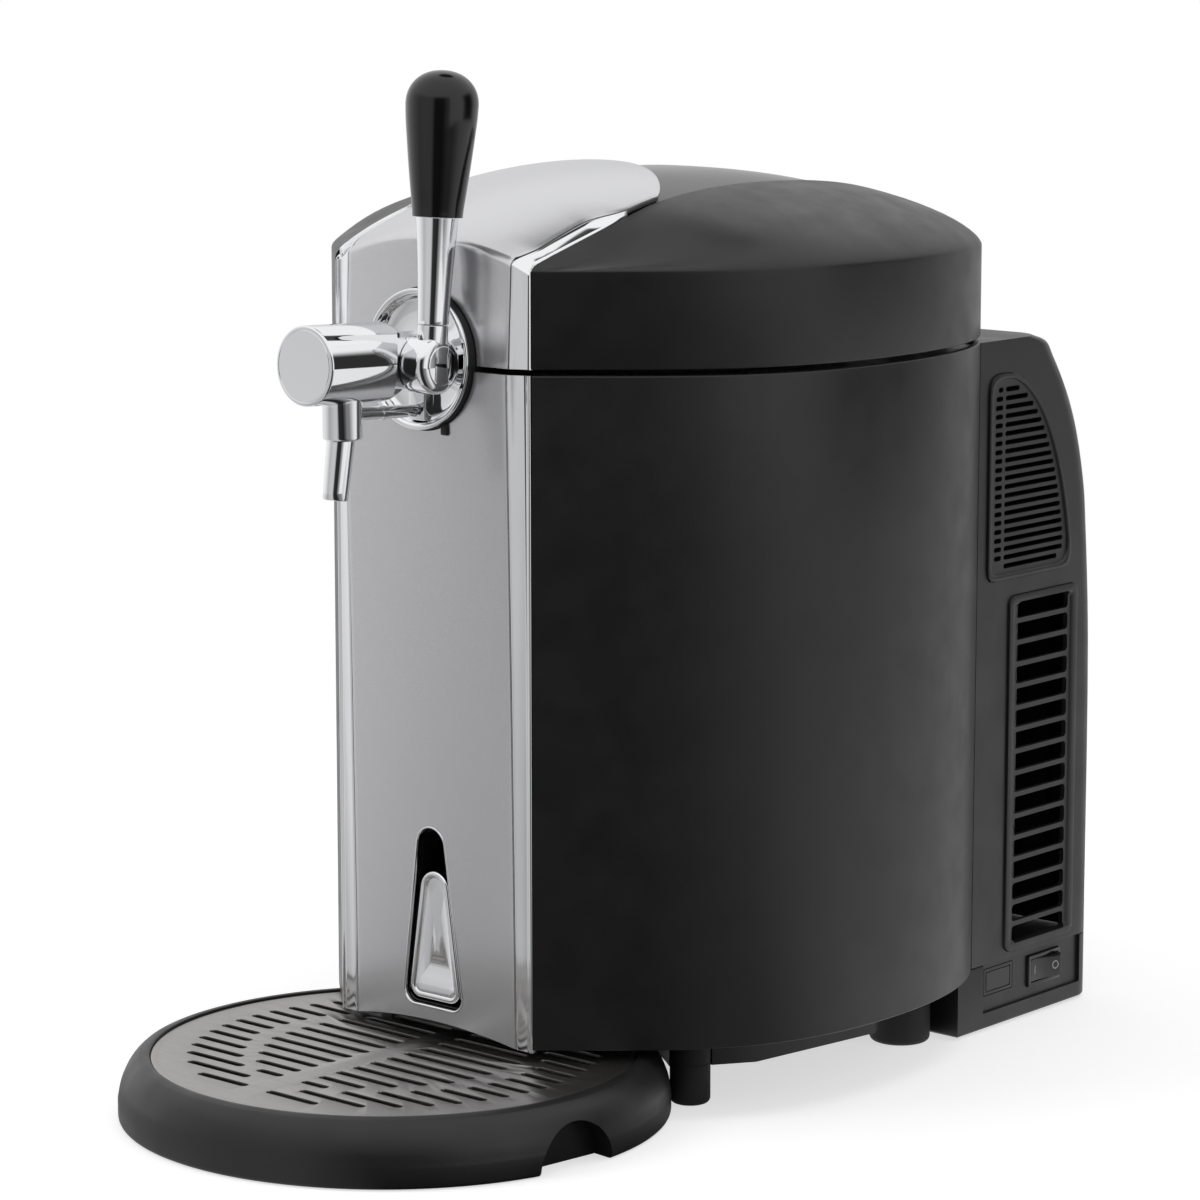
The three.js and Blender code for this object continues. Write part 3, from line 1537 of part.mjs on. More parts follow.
function tongueRows() {
  const rows = [];
  const straightEnd = tongueTipY - tongueTipLength;
  const start = lidPanelTopY + tongueSkin;
  for (let i = 0; i <= tongueAlong; i += 1) {
    rows.push(start + ((straightEnd - start) * i) / tongueAlong);
  }
  for (let i = 1; i <= tongueTipSteps; i += 1) {
    const angle = (Math.PI / 2) * (i / tongueTipSteps);
    rows.push(straightEnd + tongueTipLength * Math.sin(angle));
  }
  return rows;
}

// One cross ring of the tongue at a given y, from its top down by a thickness or to a flat foot
function tongueRing(y, side, drop, thickness, footZ) {
  const top = [];
  const under = [];
  const half = Math.max(tongueHalf(y) - side, 0);
  for (let i = 0; i <= tongueAcross; i += 1) {
    const x = half * ((2 * i) / tongueAcross - 1);
    const z = tongueTopZ(x, y) - drop;
    top.unshift(new THREE.Vector3(x, y, z));
    under.push(new THREE.Vector3(x, y, footZ === null ? z - thickness : footZ));
  }
  return top.concat(under);
}

function tongueSheet() {
  return loft(tongueRows().map((y) => tongueRing(y, seat, 0, tongueSkin, null)).reverse());
}

function tongueSupport() {
  const drop = tongueSkin + seat;
  const rows = tongueRows();
  rows[0] = lidFaceY;
  return loft(rows.map((y) => tongueRing(y, tongueSkin / 2, drop, 0, lidCavityShoulderZ)).reverse());
}

function lidFrontPlate() {
  const halfWidth = panelHalfWidth - seat;
  const topZ = tongueCreaseEdgeZ - tongueCreaseRound - tongueSkin;
  const lower = loft([
    panelRing(lidFootZ, lidPanelY(lidFootZ), panelThickness, halfWidth),
    panelRing(topZ, lidPanelY(topZ), panelThickness, halfWidth),
  ]);
  const creaseRings = [[0, 1], [0.12, 0.55], [0.45, 0.15], [1, 0]].map(([back, drop]) => {
    const ring = [];
    const under = [];
    for (let i = 0; i <= tongueAcross; i += 1) {
      const share = (2 * i) / tongueAcross - 1;
      const x = halfWidth * share;
      const z = tongueTopZ(x, lidPanelTopY) - tongueCreaseRound * drop;
      const y = lidPanelY(topZ) - panelBulge * (1 - share * share) + tongueCreaseDepth * back;
      ring.unshift(new THREE.Vector3(x, y, z));
      under.push(new THREE.Vector3(x, y, topZ - tongueSkin * (1 - back)));
    }
    return ring.concat(under);
  });
  return join(lower, loft(creaseRings.reverse()));
}

function lidFrontSkin() {
  const whole = join(lidFrontPlate(), tongueSheet());
  return cut(whole, tapBore(notchRadius, lidPanelFootY - overrun, lidPanelTopY + overrun));
}

function crestX(y) {
  if (y < crestWideY) {
    const share = (y - cornerY) / (crestWideY - cornerY);
    return cornerX + (crestWideX - cornerX) * Math.sin((Math.PI / 2) * Math.max(share, 0));
  }
  return crestWideX + (crestRearX - crestWideX) * Math.min((y - crestWideY) / (crestRearY - crestWideY), 1);
}

function bandRows() {
  const rows = [];
  for (let i = 0; i <= bandSteps; i += 1) {
    rows.push(cornerY + (bandEndY - cornerY) * (i / bandSteps) ** 1.25);
  }
  return rows;
}

function bandRing(y, gap, drop, footZ) {
  const inner = tongueFullHalf(y) + gap;
  const outer = crestX(y) - gap;
  const innerZ = tongueEdgeZ(y) - drop;
  const outerZ = domeZ(planShare(crestX(y), y)) - drop;
  const lip = bandLipHeight;
  const lipX = outer - bandLipWidth;
  const lipZ = innerZ + ((outerZ - innerZ) * (lipX - inner)) / (outer - inner);
  const points = [
    [outer, outerZ + lip], [lipX, lipZ + lip], [lipX, lipZ], [inner, innerZ],
    [inner, footZ === null ? innerZ - bandThickness : footZ],
    [outer, footZ === null ? outerZ - bandThickness : footZ],
  ];
  return points.map(([x, z]) => new THREE.Vector3(x, y, z));
}

function lidTrim() {
  const band = loft(bandRows().map((y) => bandRing(y, seat, 0, null)).reverse());
  const topZ = tongueCreaseEdgeZ - bandThickness / 3;
  const strip = loft([
    stripRing(lidFootZ, lidPanelY(lidFootZ), cornerY),
    stripRing(topZ, lidPanelY(lidWallTopZ), cornerY),
  ]);
  return join(band, strip);
}

function valleyCutter() {
  const brim = crestRearX - seat;
  const topZ = lidWallTopZ + 2 * lidRise;
  return alongY([
    [-brim, topZ], [-brim, valleyBrimZ], [-valleyFloorHalf, valleyFloorZ + valleyFloorSag],
    [-valleyFloorHalf / 2, valleyFloorZ + valleyFloorSag / 4], [0, valleyFloorZ],
    [valleyFloorHalf / 2, valleyFloorZ + valleyFloorSag / 4], [valleyFloorHalf, valleyFloorZ + valleyFloorSag],
    [brim, valleyBrimZ], [brim, topZ],
  ], bandEndY - seat, bodyRearY + overrun);
}

function bandRoom() {
  return loft(bandRows().map((y) => {
    const inner = 0;
    const outer = crestX(y);
    const edgeZ = tongueEdgeZ(y) - bandThickness - seat;
    const outerZ = domeZ(planShare(crestX(y), y)) - bandThickness - seat;
    const topZ = lidWallTopZ + 2 * lidRise;
    const points = [[outer, topZ], [inner, topZ], [inner, edgeZ], [tongueFullHalf(y), edgeZ], [outer, outerZ]];
    return points.map(([x, z]) => new THREE.Vector3(x, y, z));
  }).reverse());
}

function lidCavity() {
  const inner = insetOutline(lidOutline, lidShellWall);
  const roundShares = [[1, 0], [0.96, 0.5], [0.88, 0.85], [lidCavityTopShare, 1]];
  const rings = [level(inner, lidFootZ - overrun)];
  roundShares.forEach(([wide, high]) => rings.push(level(
    scaledOutline(inner, wide), lidCavityShoulderZ + (lidCavityTopZ - lidCavityShoulderZ) * high,
  )));
  const frontWall = box(
    -bodyHalfWidth, bodyHalfWidth, panelTopY - overrun,
    lidFaceY + lidFrontWall, lidFootZ - 2 * overrun, lidCavityTopZ + overrun,
  );
  return cut(loft(rings), frontWall);
}

function lidShell() {
  const frontRoom = box(
    -cornerX - seat, cornerX + seat, panelTopY - overrun, lidFaceY,
    lidFootZ - overrun, lidWallTopZ + 2 * lidRise,
  );
  const stripRoom = box(
    panelHalfWidth - seat, cornerX + seat, panelTopY - overrun, cornerY + stripThickness + seat,
    lidFootZ - overrun, lidWallTopZ + 2 * lidRise,
  );
  const room = bandRoom();
  const dome = cut(
    domeFill(), frontRoom, stripRoom, mirrored(stripRoom), room, mirrored(room), valleyCutter(),
  );
  const raised = join(dome, tongueSupport());
  const knuckles = [-1, 1].map((side) => lidKnuckle(side));
  const tapRoom = [
    tapBore(notchRadius, lidPanelFootY - overrun, cradleFrontY() + seat),
    tapBore(channelRadius, lidPanelFootY - overrun, wellY, roundSteps),
  ];
  return cut(join(cut(raised, lidCavity()), ...knuckles), ...tapRoom, ...pinBores());
}

// Liner under the lid, with a pocket over the keg's head

function linerPocket(grow, footZ) {
  const topZ = linerPocketTopZ + grow;
  const cone = turned([
    [0, footZ], [linerPocketRadius + grow, footZ], [linerPocketRadius + grow, lidFootZ + grow],
    [linerPocketTopRadius + grow, topZ - linerThickness], [linerPocketTopRadius + grow - linerThickness, topZ],
    [0, topZ],
  ], wideSteps);
  return moved(cone, new THREE.Matrix4().makeTranslation(0, wellY, 0));
}

function lidLiner() {
  const footZ = lidFootZ + seat;
  const outline = insetOutline(planOutline(lidPanelTopY, bodyHalfWidth), lidShellWall + seat);
  const frontEdge = lidFaceY + lidFrontWall + seat;
  const plate = cut(
    loft([level(outline, footZ), level(outline, footZ + linerThickness)]),
    box(-bodyHalfWidth, bodyHalfWidth, panelTopY - overrun, frontEdge, 0, lidWallTopZ),
  );
  const channel = common(
    tapBore(channelRadius + channelWall, frontEdge, wellY, roundSteps),
    box(-bodyHalfWidth, bodyHalfWidth, frontEdge, wellY, footZ, lidWallTopZ),
  );
  return cut(
    join(plate, linerPocket(linerThickness, footZ), channel),
    linerPocket(0, lidFootZ - overrun),
    tapBore(channelRadius, frontEdge - overrun, wellY, roundSteps),
  );
}

function lidSeal() {
  const inner = wellBoreRadius + lidSealClearOfWell;
  const ring = moved(turned([
    [inner, deckTopZ + seat], [inner + lidSealWidth, deckTopZ + seat], [inner + lidSealWidth, lidFootZ],
    [inner, lidFootZ], [inner, deckTopZ + seat],
  ], wideSteps), new THREE.Matrix4().makeTranslation(0, wellY, 0));
  return cut(ring, tapBore(channelRadius + channelWall, panelTopY, wellY, roundSteps), box(
    -channelRadius - channelWall, channelRadius + channelWall, panelTopY, wellY, deckTopZ - overrun, lidFootZ + overrun,
  ));
}

// Lid hinge

function knuckleMiddle() {
  return knuckleStartX + knuckleLength / 2;
}

function lidKnuckle(side) {
  const x0 = Math.min(side * knuckleStartX, side * (knuckleStartX + knuckleLength));
  const x1 = x0 + knuckleLength;
  return join(
    cylinderX(hingeY, hingeZ, hingeRadius, x0, x1, smallSteps),
    box(x0, x1, bodyRearY - lidShellWall, hingeY, hingeZ, hingeZ + hingeRadius),
  );
}

function pinBores() {
  return [-1, 1].map((side) => {
    const middle = side * knuckleMiddle();
    return cylinderX(
      hingeY, hingeZ, hingePinRadius + seat, middle - knuckleLength, middle + knuckleLength, smallSteps,
    );
  });
}

function hingeBracket() {
  const baseZ = towerTopZ + seat;
  const outerX = knuckleStartX - seat - hingeEar;
  const farX = knuckleStartX + knuckleLength + seat + hingeEar;
  const base = box(
    outerX - bracketReach, farX + bracketReach, hingeY - hingeRadius, bracketBackY, baseZ, baseZ + bracketBase,
  );
  const ears = [outerX, knuckleStartX + knuckleLength + seat].map((x) => join(
    cylinderX(hingeY, hingeZ, hingeRadius, x, x + hingeEar, smallSteps),
    box(x, x + hingeEar, hingeY - hingeRadius, hingeY + hingeRadius, baseZ, hingeZ),
  ));
  return cut(join(base, ...ears), pinBores()[1]);
}

function hingePin() {
  const half = knuckleLength / 2 + seat + hingeEar;
  return cylinderX(
    hingeY, hingeZ, hingePinRadius, knuckleMiddle() - half, knuckleMiddle() + half, smallSteps,
  );
}

// Finishes

function finish(color, roughness, metalness) {
  return () => new THREE.MeshStandardMaterial({ color, roughness, metalness });
}

const satinBlack = finish(0x1c1d1f, 0.55, 0);
const glossBlack = finish(0x0b0b0c, 0.12, 0);
const rubberBlack = finish(0x101010, 0.85, 0);
const satinSilver = finish(0xb6b7ba, 0.35, 0.8);
const chrome = finish(0xe6e7ea, 0.06, 1);
const brushedSteel = finish(0x77736e, 0.38, 1);
const brightAluminium = finish(0xcfd1d3, 0.35, 1);
const palePlastic = finish(0xb9bbbd, 0.6, 0);
const foamWhite = finish(0xe4e1d6, 0.9, 0);
const boardGreen = finish(0x3f6b3a, 0.6, 0);
const zincSteel = finish(0x9fa1a4, 0.3, 1);

const machine = new THREE.Group();

function meshOf(name, shape, material) {
  const mesh = shape.getMesh();
  const geometry = new THREE.BufferGeometry();
  geometry.setAttribute('position', new THREE.BufferAttribute(new Float32Array(mesh.vertProperties), 3));
  geometry.setIndex(new THREE.BufferAttribute(new Uint32Array(mesh.triVerts), 1));
  geometry.computeVertexNormals();
  const node = new THREE.Mesh(geometry, material());
  node.name = name;
  return node;
}

function addTo(group, name, shape, material) {
  group.add(meshOf(name, shape, material));
}

function addPair(name, shape, material) {
  addTo(machine, `${name}_right`, shape, material);
  addTo(machine, `${name}_left`, mirrored(shape), material);
}

function addCabinet() {
  addTo(machine, 'base_moulding', baseMoulding(), satinBlack);
  addTo(machine, 'body_shell', bodyShell(), satinBlack);
  addTo(machine, 'front_panel', frontPanel(), satinSilver);
  addPair('corner_strip', cornerStrip(), chrome);
  addTo(machine, 'insulation_jacket', insulationJacket(), foamWhite);
  addTo(machine, 'keg_well', kegWell(), brightAluminium);
  addPair('foot_front', foot(frontFootX, frontFootY, frontFootRadius), rubberBlack);
  addPair('foot_rear', foot(rearFootX, rearFootY, rearFootRadius), rubberBlack);
}

function addLatch() {
  addTo(machine, 'latch_cup', latchCup(), glossBlack);
  addTo(machine, 'latch_paddle', latchPaddle(), chrome);
  addTo(machine, 'latch_pin', latchPin(), zincSteel);
}

function addTap() {
  addTo(machine, 'tap_body', tapBody(), chrome);
  addTo(machine, 'tap_gasket', tapGasket(), rubberBlack);
  addTo(machine, 'tap_cradle', tapCradle(), satinBlack);
  addTo(machine, 'shank_nut', shankNut(), zincSteel);
  addTo(machine, 'spout_collar', spoutCollar(), chrome);
  addTo(machine, 'spout_nozzle', spoutNozzle(), chrome);
  addTo(machine, 'bypass_tube', bypassTube(), chrome);
  const lever = new THREE.Group();
  lever.position.set(0, hubY, hubZ);
  lever.rotation.x = -leverLean;
  addTo(lever, 'lever_hub', leverHub(), chrome);
  const rod = meshOf('lever_rod', leverRod(), chrome);
  rod.position.set(leverX, 0, ferruleTop + seat);
  const knob = meshOf('lever_knob', leverKnob(), glossBlack);
  knob.position.set(leverX, 0, rodTop + seat);
  lever.add(rod, knob);
  machine.add(lever);
}

function addTower() {
  addTo(machine, 'tower_cover', towerCover(), satinBlack);
  addPair('upper_grille', upperGrille(), satinBlack);
  addPair('lower_grille', lowerGrille(), satinBlack);
  addTo(machine, 'rear_cover', rearCover(), satinBlack);
  screwPlaces().forEach((place, i) => addTo(machine, `cover_screw_${i + 1}`, coverScrew(place), zincSteel));
}

function addCooler() {
  addTo(machine, 'cold_block', coldBlock(), brightAluminium);
  addTo(machine, 'cooling_module', peltierModule(), palePlastic);
  addTo(machine, 'heat_sink', heatSink(), brightAluminium);
  addTo(machine, 'fan_frame', fanFrame(), satinBlack);
  const rotor = meshOf('fan_rotor', fanRotor(), satinBlack);
  rotor.position.set(0, 0, coolerZ);
  machine.add(rotor);
  addTo(machine, 'circuit_board', circuitBoard(), boardGreen);
}

function addElectrics() {
  addTo(machine, 'power_inlet', powerInlet(), glossBlack);
  addTo(machine, 'switch_bezel', switchBezel(), glossBlack);
  const rocker = meshOf('switch_rocker', switchRocker(), glossBlack);
  rockerPlace().decompose(rocker.position, rocker.quaternion, rocker.scale);
  machine.add(rocker);
  addTo(machine, 'blank_cover', blankCover(), glossBlack);
}

function addTray() {
  addTo(machine, 'drip_tray', dripTray(), satinBlack);
  addTo(machine, 'drip_plate', dripPlate(), brushedSteel);
}

function addLid() {
  addTo(machine, 'lid_shell', lidShell(), satinBlack);
  addTo(machine, 'lid_front_skin', lidFrontSkin(), satinSilver);
  addPair('lid_trim', lidTrim(), chrome);
  addTo(machine, 'lid_liner', lidLiner(), palePlastic);
  addTo(machine, 'lid_seal', lidSeal(), rubberBlack);
  addPair('hinge_bracket', hingeBracket(), satinBlack);
  addPair('hinge_pin', hingePin(), zincSteel);
}

addCabinet();
addLatch();
addTap();
addTower();
addCooler();
addElectrics();
addTray();
addLid();

export default machine;
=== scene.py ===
"""Dresses the table-top keg cooler: every shell, trim, tap and tray piece over its frame.

Lengths in the shape functions are millimetres, and each mesh is made in metres.
The front faces -Y, the switch is on the +X side and the table is at zero.
"""

import math

import bmesh
import bpy
from bpy.props import FloatProperty, FloatVectorProperty, IntProperty, PointerProperty
from mathutils import Matrix, Vector


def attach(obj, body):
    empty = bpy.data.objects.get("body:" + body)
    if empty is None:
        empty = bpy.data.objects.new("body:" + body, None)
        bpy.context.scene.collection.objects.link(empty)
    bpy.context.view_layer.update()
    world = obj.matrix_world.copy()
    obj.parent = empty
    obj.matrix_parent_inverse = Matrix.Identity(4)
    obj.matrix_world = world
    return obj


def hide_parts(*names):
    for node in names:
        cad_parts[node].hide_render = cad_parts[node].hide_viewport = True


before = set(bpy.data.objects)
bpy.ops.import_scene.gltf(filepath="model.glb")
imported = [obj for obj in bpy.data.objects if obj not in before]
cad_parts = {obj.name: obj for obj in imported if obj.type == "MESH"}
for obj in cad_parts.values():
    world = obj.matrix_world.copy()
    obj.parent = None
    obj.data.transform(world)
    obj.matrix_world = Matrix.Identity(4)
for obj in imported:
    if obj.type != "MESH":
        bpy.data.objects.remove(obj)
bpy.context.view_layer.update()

bl_info = {
    "name": "Keg cooler pieces",
    "version": (1, 0, 0),
    "blender": (4, 5, 0),
    "location": "3D Viewport > Sidebar > Keg Cooler",
    "description": "Builds the shells, trims, tap, tray and finishes of a mini keg cooler",
    "category": "Object",
}

MM = 0.001
# The gap between neighbours, how far a cut runs past, a place ahead of the panels and one above the lid
GAP = 0.3
OVER = 4.0
AHEAD_Y = -112.0
ABOVE_Z = 450.0

CABINET = "cabinet"
LID = "lid"
LEVER = "tap_lever"
TRAY = "tray"
PADDLE = "paddle"
ROCKER = "rocker"

# Places and sizes of the body, lid, tower, tray, tap and hinges
CORNER_X, CORNER_Y = 58.3, -100.2
PANEL_HALF = 48.6
PANEL_BULGE = 1.4
PANEL_FOOT_Z = 31.0
PANEL_FOOT_Y, PANEL_TOP_Y = -100.3, -105.0
PANEL_CURVE = 1.3
WIDEST_Y = 40.0
REAR_Y = 170.0
REAR_FLAT = 50.0
FOOT_Z = 32.0
TOP_Z = 324.8
SHELL_ROOM = 3.3
LID_FOOT = 327.3
LID_FOOT_Y, LID_TOP_Y = -103.6, -101.8
VALLEY_HALF = 63.2
BAND_END_Y = -44.0
COOLER_Z = 150.0
COLD_HALF = 25.0
TOWER_TOP_Z = 323.5
TOWER_MIDDLE_Y = 140.0
TOWER_TAPER = 0.05
TOWER_WALL = 2.5
TRAY_Y = -125.5
TRAY_CLEAR = 0.1
FRONT_FOOT_RADIUS, REAR_FOOT_RADIUS = 9.0, 14.0
TAP_Y, TAP_Z = -105.0, 328.3
TAP_TILT = math.radians(2)
TAP_NOTCH = 31.0
HUB_Y, HUB_Z = -118.6, 328.0
LEVER_X = 18.0
SPOUT_Y = -153.8
HINGE_Y, HINGE_Z = 176.0, 332.0
HINGE_RADIUS, PIN_BORE = 5.0, 2.5

# Openings and plates, each as its left edge, its foot, its width and its height
INLET = (-83.5, 7.0, 27.0, 20.0)
BEZEL = (50.0, 13.5, 27.0, 15.5)
BLANK = (14.5, 16.0, 23.7, 13.3)
UPPER_GRILLE = (9.4, 212.0, 69.4, 96.5)
LOWER_GRILLE = (27.6, 34.6, 57.4, 169.6)
COVER = (-78.0, 72.0, 156.0, 156.0)

# The inlet's depth, the bezel's wall, the rear cover's place and its screws' spread and holes
INLET_DEPTH = 20.0
BEZEL_WALL = 2.0
COVER_Y = 242.4
SCREW_SPREAD = 72.0
SCREW_HOLE = 1.7


# Sizes and colours that a user may change


def length(label, text, value):
    return FloatProperty(
        name=label, description=text, default=value, unit="LENGTH", subtype="DISTANCE", precision=4
    )


def level(label, text, value):
    return FloatProperty(name=label, description=text, default=value, min=0.0, max=1.0)


def lamp_power(label, text, value):
    return FloatProperty(name=label, description=text, default=value, min=0.0, subtype="POWER")


def colour(label, text, value):
    return FloatVectorProperty(
        name=label, description=text, default=value, size=3, min=0.0, max=1.0, subtype="COLOR"
    )


class KegCabinetSizes(bpy.types.PropertyGroup):
    half_width: length("Half width", "Half of the body's width at its widest place", 0.1395)
    draft: length("Draft", "How much narrower each side is at the foot", 0.0012)
    wall: length("Shell wall", "Thickness of the black shell", 0.003)
    edge: length("Shell edge round", "Radius along the shell's top and foot edges", 0.0008)
    panel: length("Panel thickness", "Thickness of the silver front panel", 0.0022)
    strip: length("Strip thickness", "Depth of the chrome corner strips", 0.0028)
    lip: length("Recess lip", "Width of the rolled edge round the paddle recess", 0.0011)


class KegLidSizes(bpy.types.PropertyGroup):
    wall_top: length("Wall top", "Height where the lid's wall turns into its dome", 0.3685)
    rise: length("Dome rise", "Height of the dome above the wall", 0.036)
    skin: length("Skin thickness", "Thickness of the silver tongue", 0.0022)
    band: length("Band thickness", "Thickness of the chrome bands", 0.003)
    bead: length("Band bead", "Height of the bead along each band's outer edge", 0.0006)


class KegTapSizes(bpy.types.PropertyGroup):
    barrel: length("Barrel radius", "Radius of the tap's barrel", 0.017)
    reach: length("Barrel length", "Length of the tap in front of its flange", 0.071)
    knob: length("Knob radius", "Widest radius of the lever's knob", 0.0155)
    knob_length: length("Knob length", "Length of the lever's knob", 0.0617)
    lean: FloatProperty(
        name="Lever lean", description="How far the closed lever leans back",
        default=math.radians(3.9), subtype="ANGLE", unit="ROTATION",
    )


class KegTraySizes(bpy.types.PropertyGroup):
    radius: length("Tray radius", "Outer radius of the drip tray", 0.1206)
    rim: length("Rim radius", "Radius where the tray's rim is highest", 0.109)
    plate: length("Plate radius", "Radius of the steel drip plate", 0.1062)
    slot: length("Slot width", "Width of the slots in the drip plate", 0.0044)


class KegTowerSizes(bpy.types.PropertyGroup):
    side: length("Side", "Half of the tower's width at its middle", 0.1105)
    rear: length("Rear", "Place of the tower's back face", 0.2461)
    corner: length("Corner radius", "Radius of the tower's rear corners", 0.015)
    louvres: IntProperty(
        name="Louvres", description="Number of openings in each upper grille", default=21, min=3
    )


class KegFinishes(bpy.types.PropertyGroup):
    black: colour("Satin black", "Moulded shells, lid, tower and base", (0.0105, 0.0105, 0.0112))
    gloss: colour("Gloss black", "Knob, switch and paddle recess", (0.006, 0.006, 0.0065))
    tray: colour("Tray black", "Drip tray", (0.012, 0.0118, 0.0115))
    silver: colour("Satin silver", "Front panel and tongue", (0.665, 0.665, 0.68))
    chrome: colour("Chrome", "Strips, bands and tap", (0.86, 0.865, 0.875))
    steel: colour("Brushed steel", "Drip plate", (0.42, 0.405, 0.39))
    aluminium: colour("Aluminium", "Keg well, cooler block and fins", (0.72, 0.725, 0.73))


class KegStage(bpy.types.PropertyGroup):
    backdrop: level("Backdrop", "Brightness of the white backdrop", 1.0)
    floor_lift: level("Floor lift", "Share of the floor's white that shadows leave", 0.62)
    key: lamp_power("Key light", "Power of the large soft light", 26.0)
    fill: lamp_power("Fill light", "Power of the side light", 9.0)


def mm(group, key):
    return getattr(getattr(bpy.context.scene, group), key) / MM


# Mesh making


def raise_piece(name, points, faces):
    mesh = bpy.data.meshes.new(name)
    mesh.from_pydata([Vector(point) * MM for point in points], [], faces)
    work = bmesh.new()
    work.from_mesh(mesh)
    bmesh.ops.remove_doubles(work, verts=work.verts, dist=1e-7)
    bmesh.ops.recalc_face_normals(work, faces=work.faces)
    work.to_mesh(mesh)
    work.free()
    piece = bpy.data.objects.new(name, mesh)
    bpy.context.scene.collection.objects.link(piece)
    return piece


def skin_rings(name, rings, place=None):
    """A closed skin over rings that have the same number of points."""
    count = len(rings[0])
    points = [Vector(point) for ring in rings for point in ring]
    if place is not None:
        points = [place @ point for point in points]
    faces = []
    for k in range(len(rings) - 1):
        for i in range(count):
            a = k * count + i
            b = k * count + (i + 1) % count
            faces.append((a, b, b + count, a + count))
    end = (len(rings) - 1) * count
    faces.append(tuple(range(count - 1, -1, -1)))
    faces.append(tuple(range(end, end + count)))
    return raise_piece(name, points, faces)


def hoop(name, rings):
    """A skin over rings whose last one joins its first one."""
    count = len(rings[0])
    points = [Vector(point) for ring in rings for point in ring]
    faces = []
    for k in range(len(rings)):
        after = (k + 1) % len(rings)
        for i in range(count):
            j = (i + 1) % count
            faces.append((k * count + i, k * count + j, after * count + j, after * count + i))
    return raise_piece(name, points, faces)


def turn_profile(name, profile, steps=96, place=None):
    """Radius and height pairs turned about Z, from axis to axis or closed on themselves."""
    closed = profile[0] == profile[-1]
    pairs = profile[:-1] if closed else profile
    points = []
    rows = []
    for radius, height in pairs:
        if radius < 1e-6:
            rows.append([len(points)] * steps)
            points.append(Vector((0, 0, height)))
            continue
        rows.append(list(range(len(points), len(points) + steps)))
        for i in range(steps):
            angle = 2 * math.pi * (i + 0.5) / steps
            points.append(Vector((radius * math.cos(angle), radius * math.sin(angle), height)))
    if closed:
        rows.append(rows[0])
    faces = []
    for low, high in zip(rows, rows[1:]):
        for i in range(steps):
            j = (i + 1) % steps
            corners = []
            for corner in (low[i], low[j], high[j], high[i]):
                if corner not in corners:
                    corners.append(corner)
            if len(corners) > 2:
                faces.append(tuple(corners))
    if place is not None:
        points = [place @ point for point in points]
    return raise_piece(name, points, faces)


def prisms(name, outlines, place, low, high):
    """Flat outlines of two numbers each, all drawn out between two heights in one mesh."""
    points = []
    faces = []
    for outline in outlines:
        start = len(points)
        count = len(outline)
        for height in (low, high):
            points += [place @ Vector((u, v, height)) for u, v in outline]
        for i in range(count):
            j = (i + 1) % count
            faces.append((start + i, start + j, start + count + j, start + count + i))
        faces.append(tuple(range(start + count - 1, start - 1, -1)))
        faces.append(tuple(range(start + count, start + 2 * count)))
    return raise_piece(name, points, faces)


def block(name, x0, x1, y0, y1, z0, z1):
    return prisms(name, [[(x0, y0), (x1, y0), (x1, y1), (x0, y1)]], Matrix.Identity(4), z0, z1)


ALONG_X = Matrix(((0, 0, 1, 0), (1, 0, 0, 0), (0, 1, 0, 0), (0, 0, 0, 1)))
ALONG_Y = Matrix(((1, 0, 0, 0), (0, 0, -1, 0), (0, 1, 0, 0), (0, 0, 0, 1)))
ALONG_Z = Matrix.Identity(4)


def across_y(name, outlines, y0, y1):
    """Outlines given in x and z, between two places along y."""
    return prisms(name, outlines, ALONG_Y, -y1, -y0)


def disc(u, v, radius, steps=64):
    ring = []
    for i in range(steps):
        angle = 2 * math.pi * (i + 0.5) / steps
        ring.append((u + radius * math.cos(angle), v + radius * math.sin(angle)))
    return ring


def rod_x(name, y, z, radius, x0, x1, steps=64):
    return prisms(name, [disc(y, z, radius, steps)], ALONG_X, x0, x1)


def rod_y(name, x, z, radius, y0, y1, steps=64):
    return across_y(name, [disc(x, z, radius, steps)], y0, y1)


def rod_z(name, x, y, radius, z0, z1, steps=64):
    return prisms(name, [disc(x, y, radius, steps)], ALONG_Z, z0, z1)


def settle(piece, kind, **settings):
    """Adds a modifier and keeps its result as the mesh."""
    change = piece.modifiers.new(kind.title(), kind)
    for key, value in settings.items():
        setattr(change, key, value)
    bpy.context.view_layer.update()
    graph = bpy.context.evaluated_depsgraph_get()
    mesh = bpy.data.meshes.new_from_object(piece.evaluated_get(graph))
    piece.modifiers.clear()
    old = piece.data
    piece.data = mesh
    bpy.data.meshes.remove(old)
    mesh.name = piece.name
    return piece


def combine(piece, others, operation, solvers=("MANIFOLD", "EXACT")):
    for other in others:
        before = (len(piece.data.vertices), len(piece.data.polygons))
        for solver in solvers:
            settle(piece, "BOOLEAN", object=other, operation=operation, solver=solver)
            if (len(piece.data.vertices), len(piece.data.polygons)) != before:
                break
        else:
            raise RuntimeError(f"{other.name} did not change {piece.name}")
        bpy.data.objects.remove(other)
    return piece


def cut(piece, *others):
    return combine(piece, others, "DIFFERENCE")


def cut_sheet(piece, *others):
    """A cut that leaves the rest of a smooth sheet's mesh as it was."""
    return combine(piece, others, "DIFFERENCE", ("EXACT", "MANIFOLD"))


def join(piece, *others):
    return combine(piece, others, "UNION")


def keep_common(piece, other):
    return combine(piece, [other], "INTERSECT")


def soften(piece, width, segments=3, angle=50):
    return settle(
        piece, "BEVEL", width=width * MM, segments=segments, limit_method="ANGLE",
        angle_limit=math.radians(angle), use_clamp_overlap=True,
    )


def shade(piece, degrees=32):
    piece.data.shade_smooth()
    piece.data.set_sharp_from_angle(angle=math.radians(degrees))
    return piece


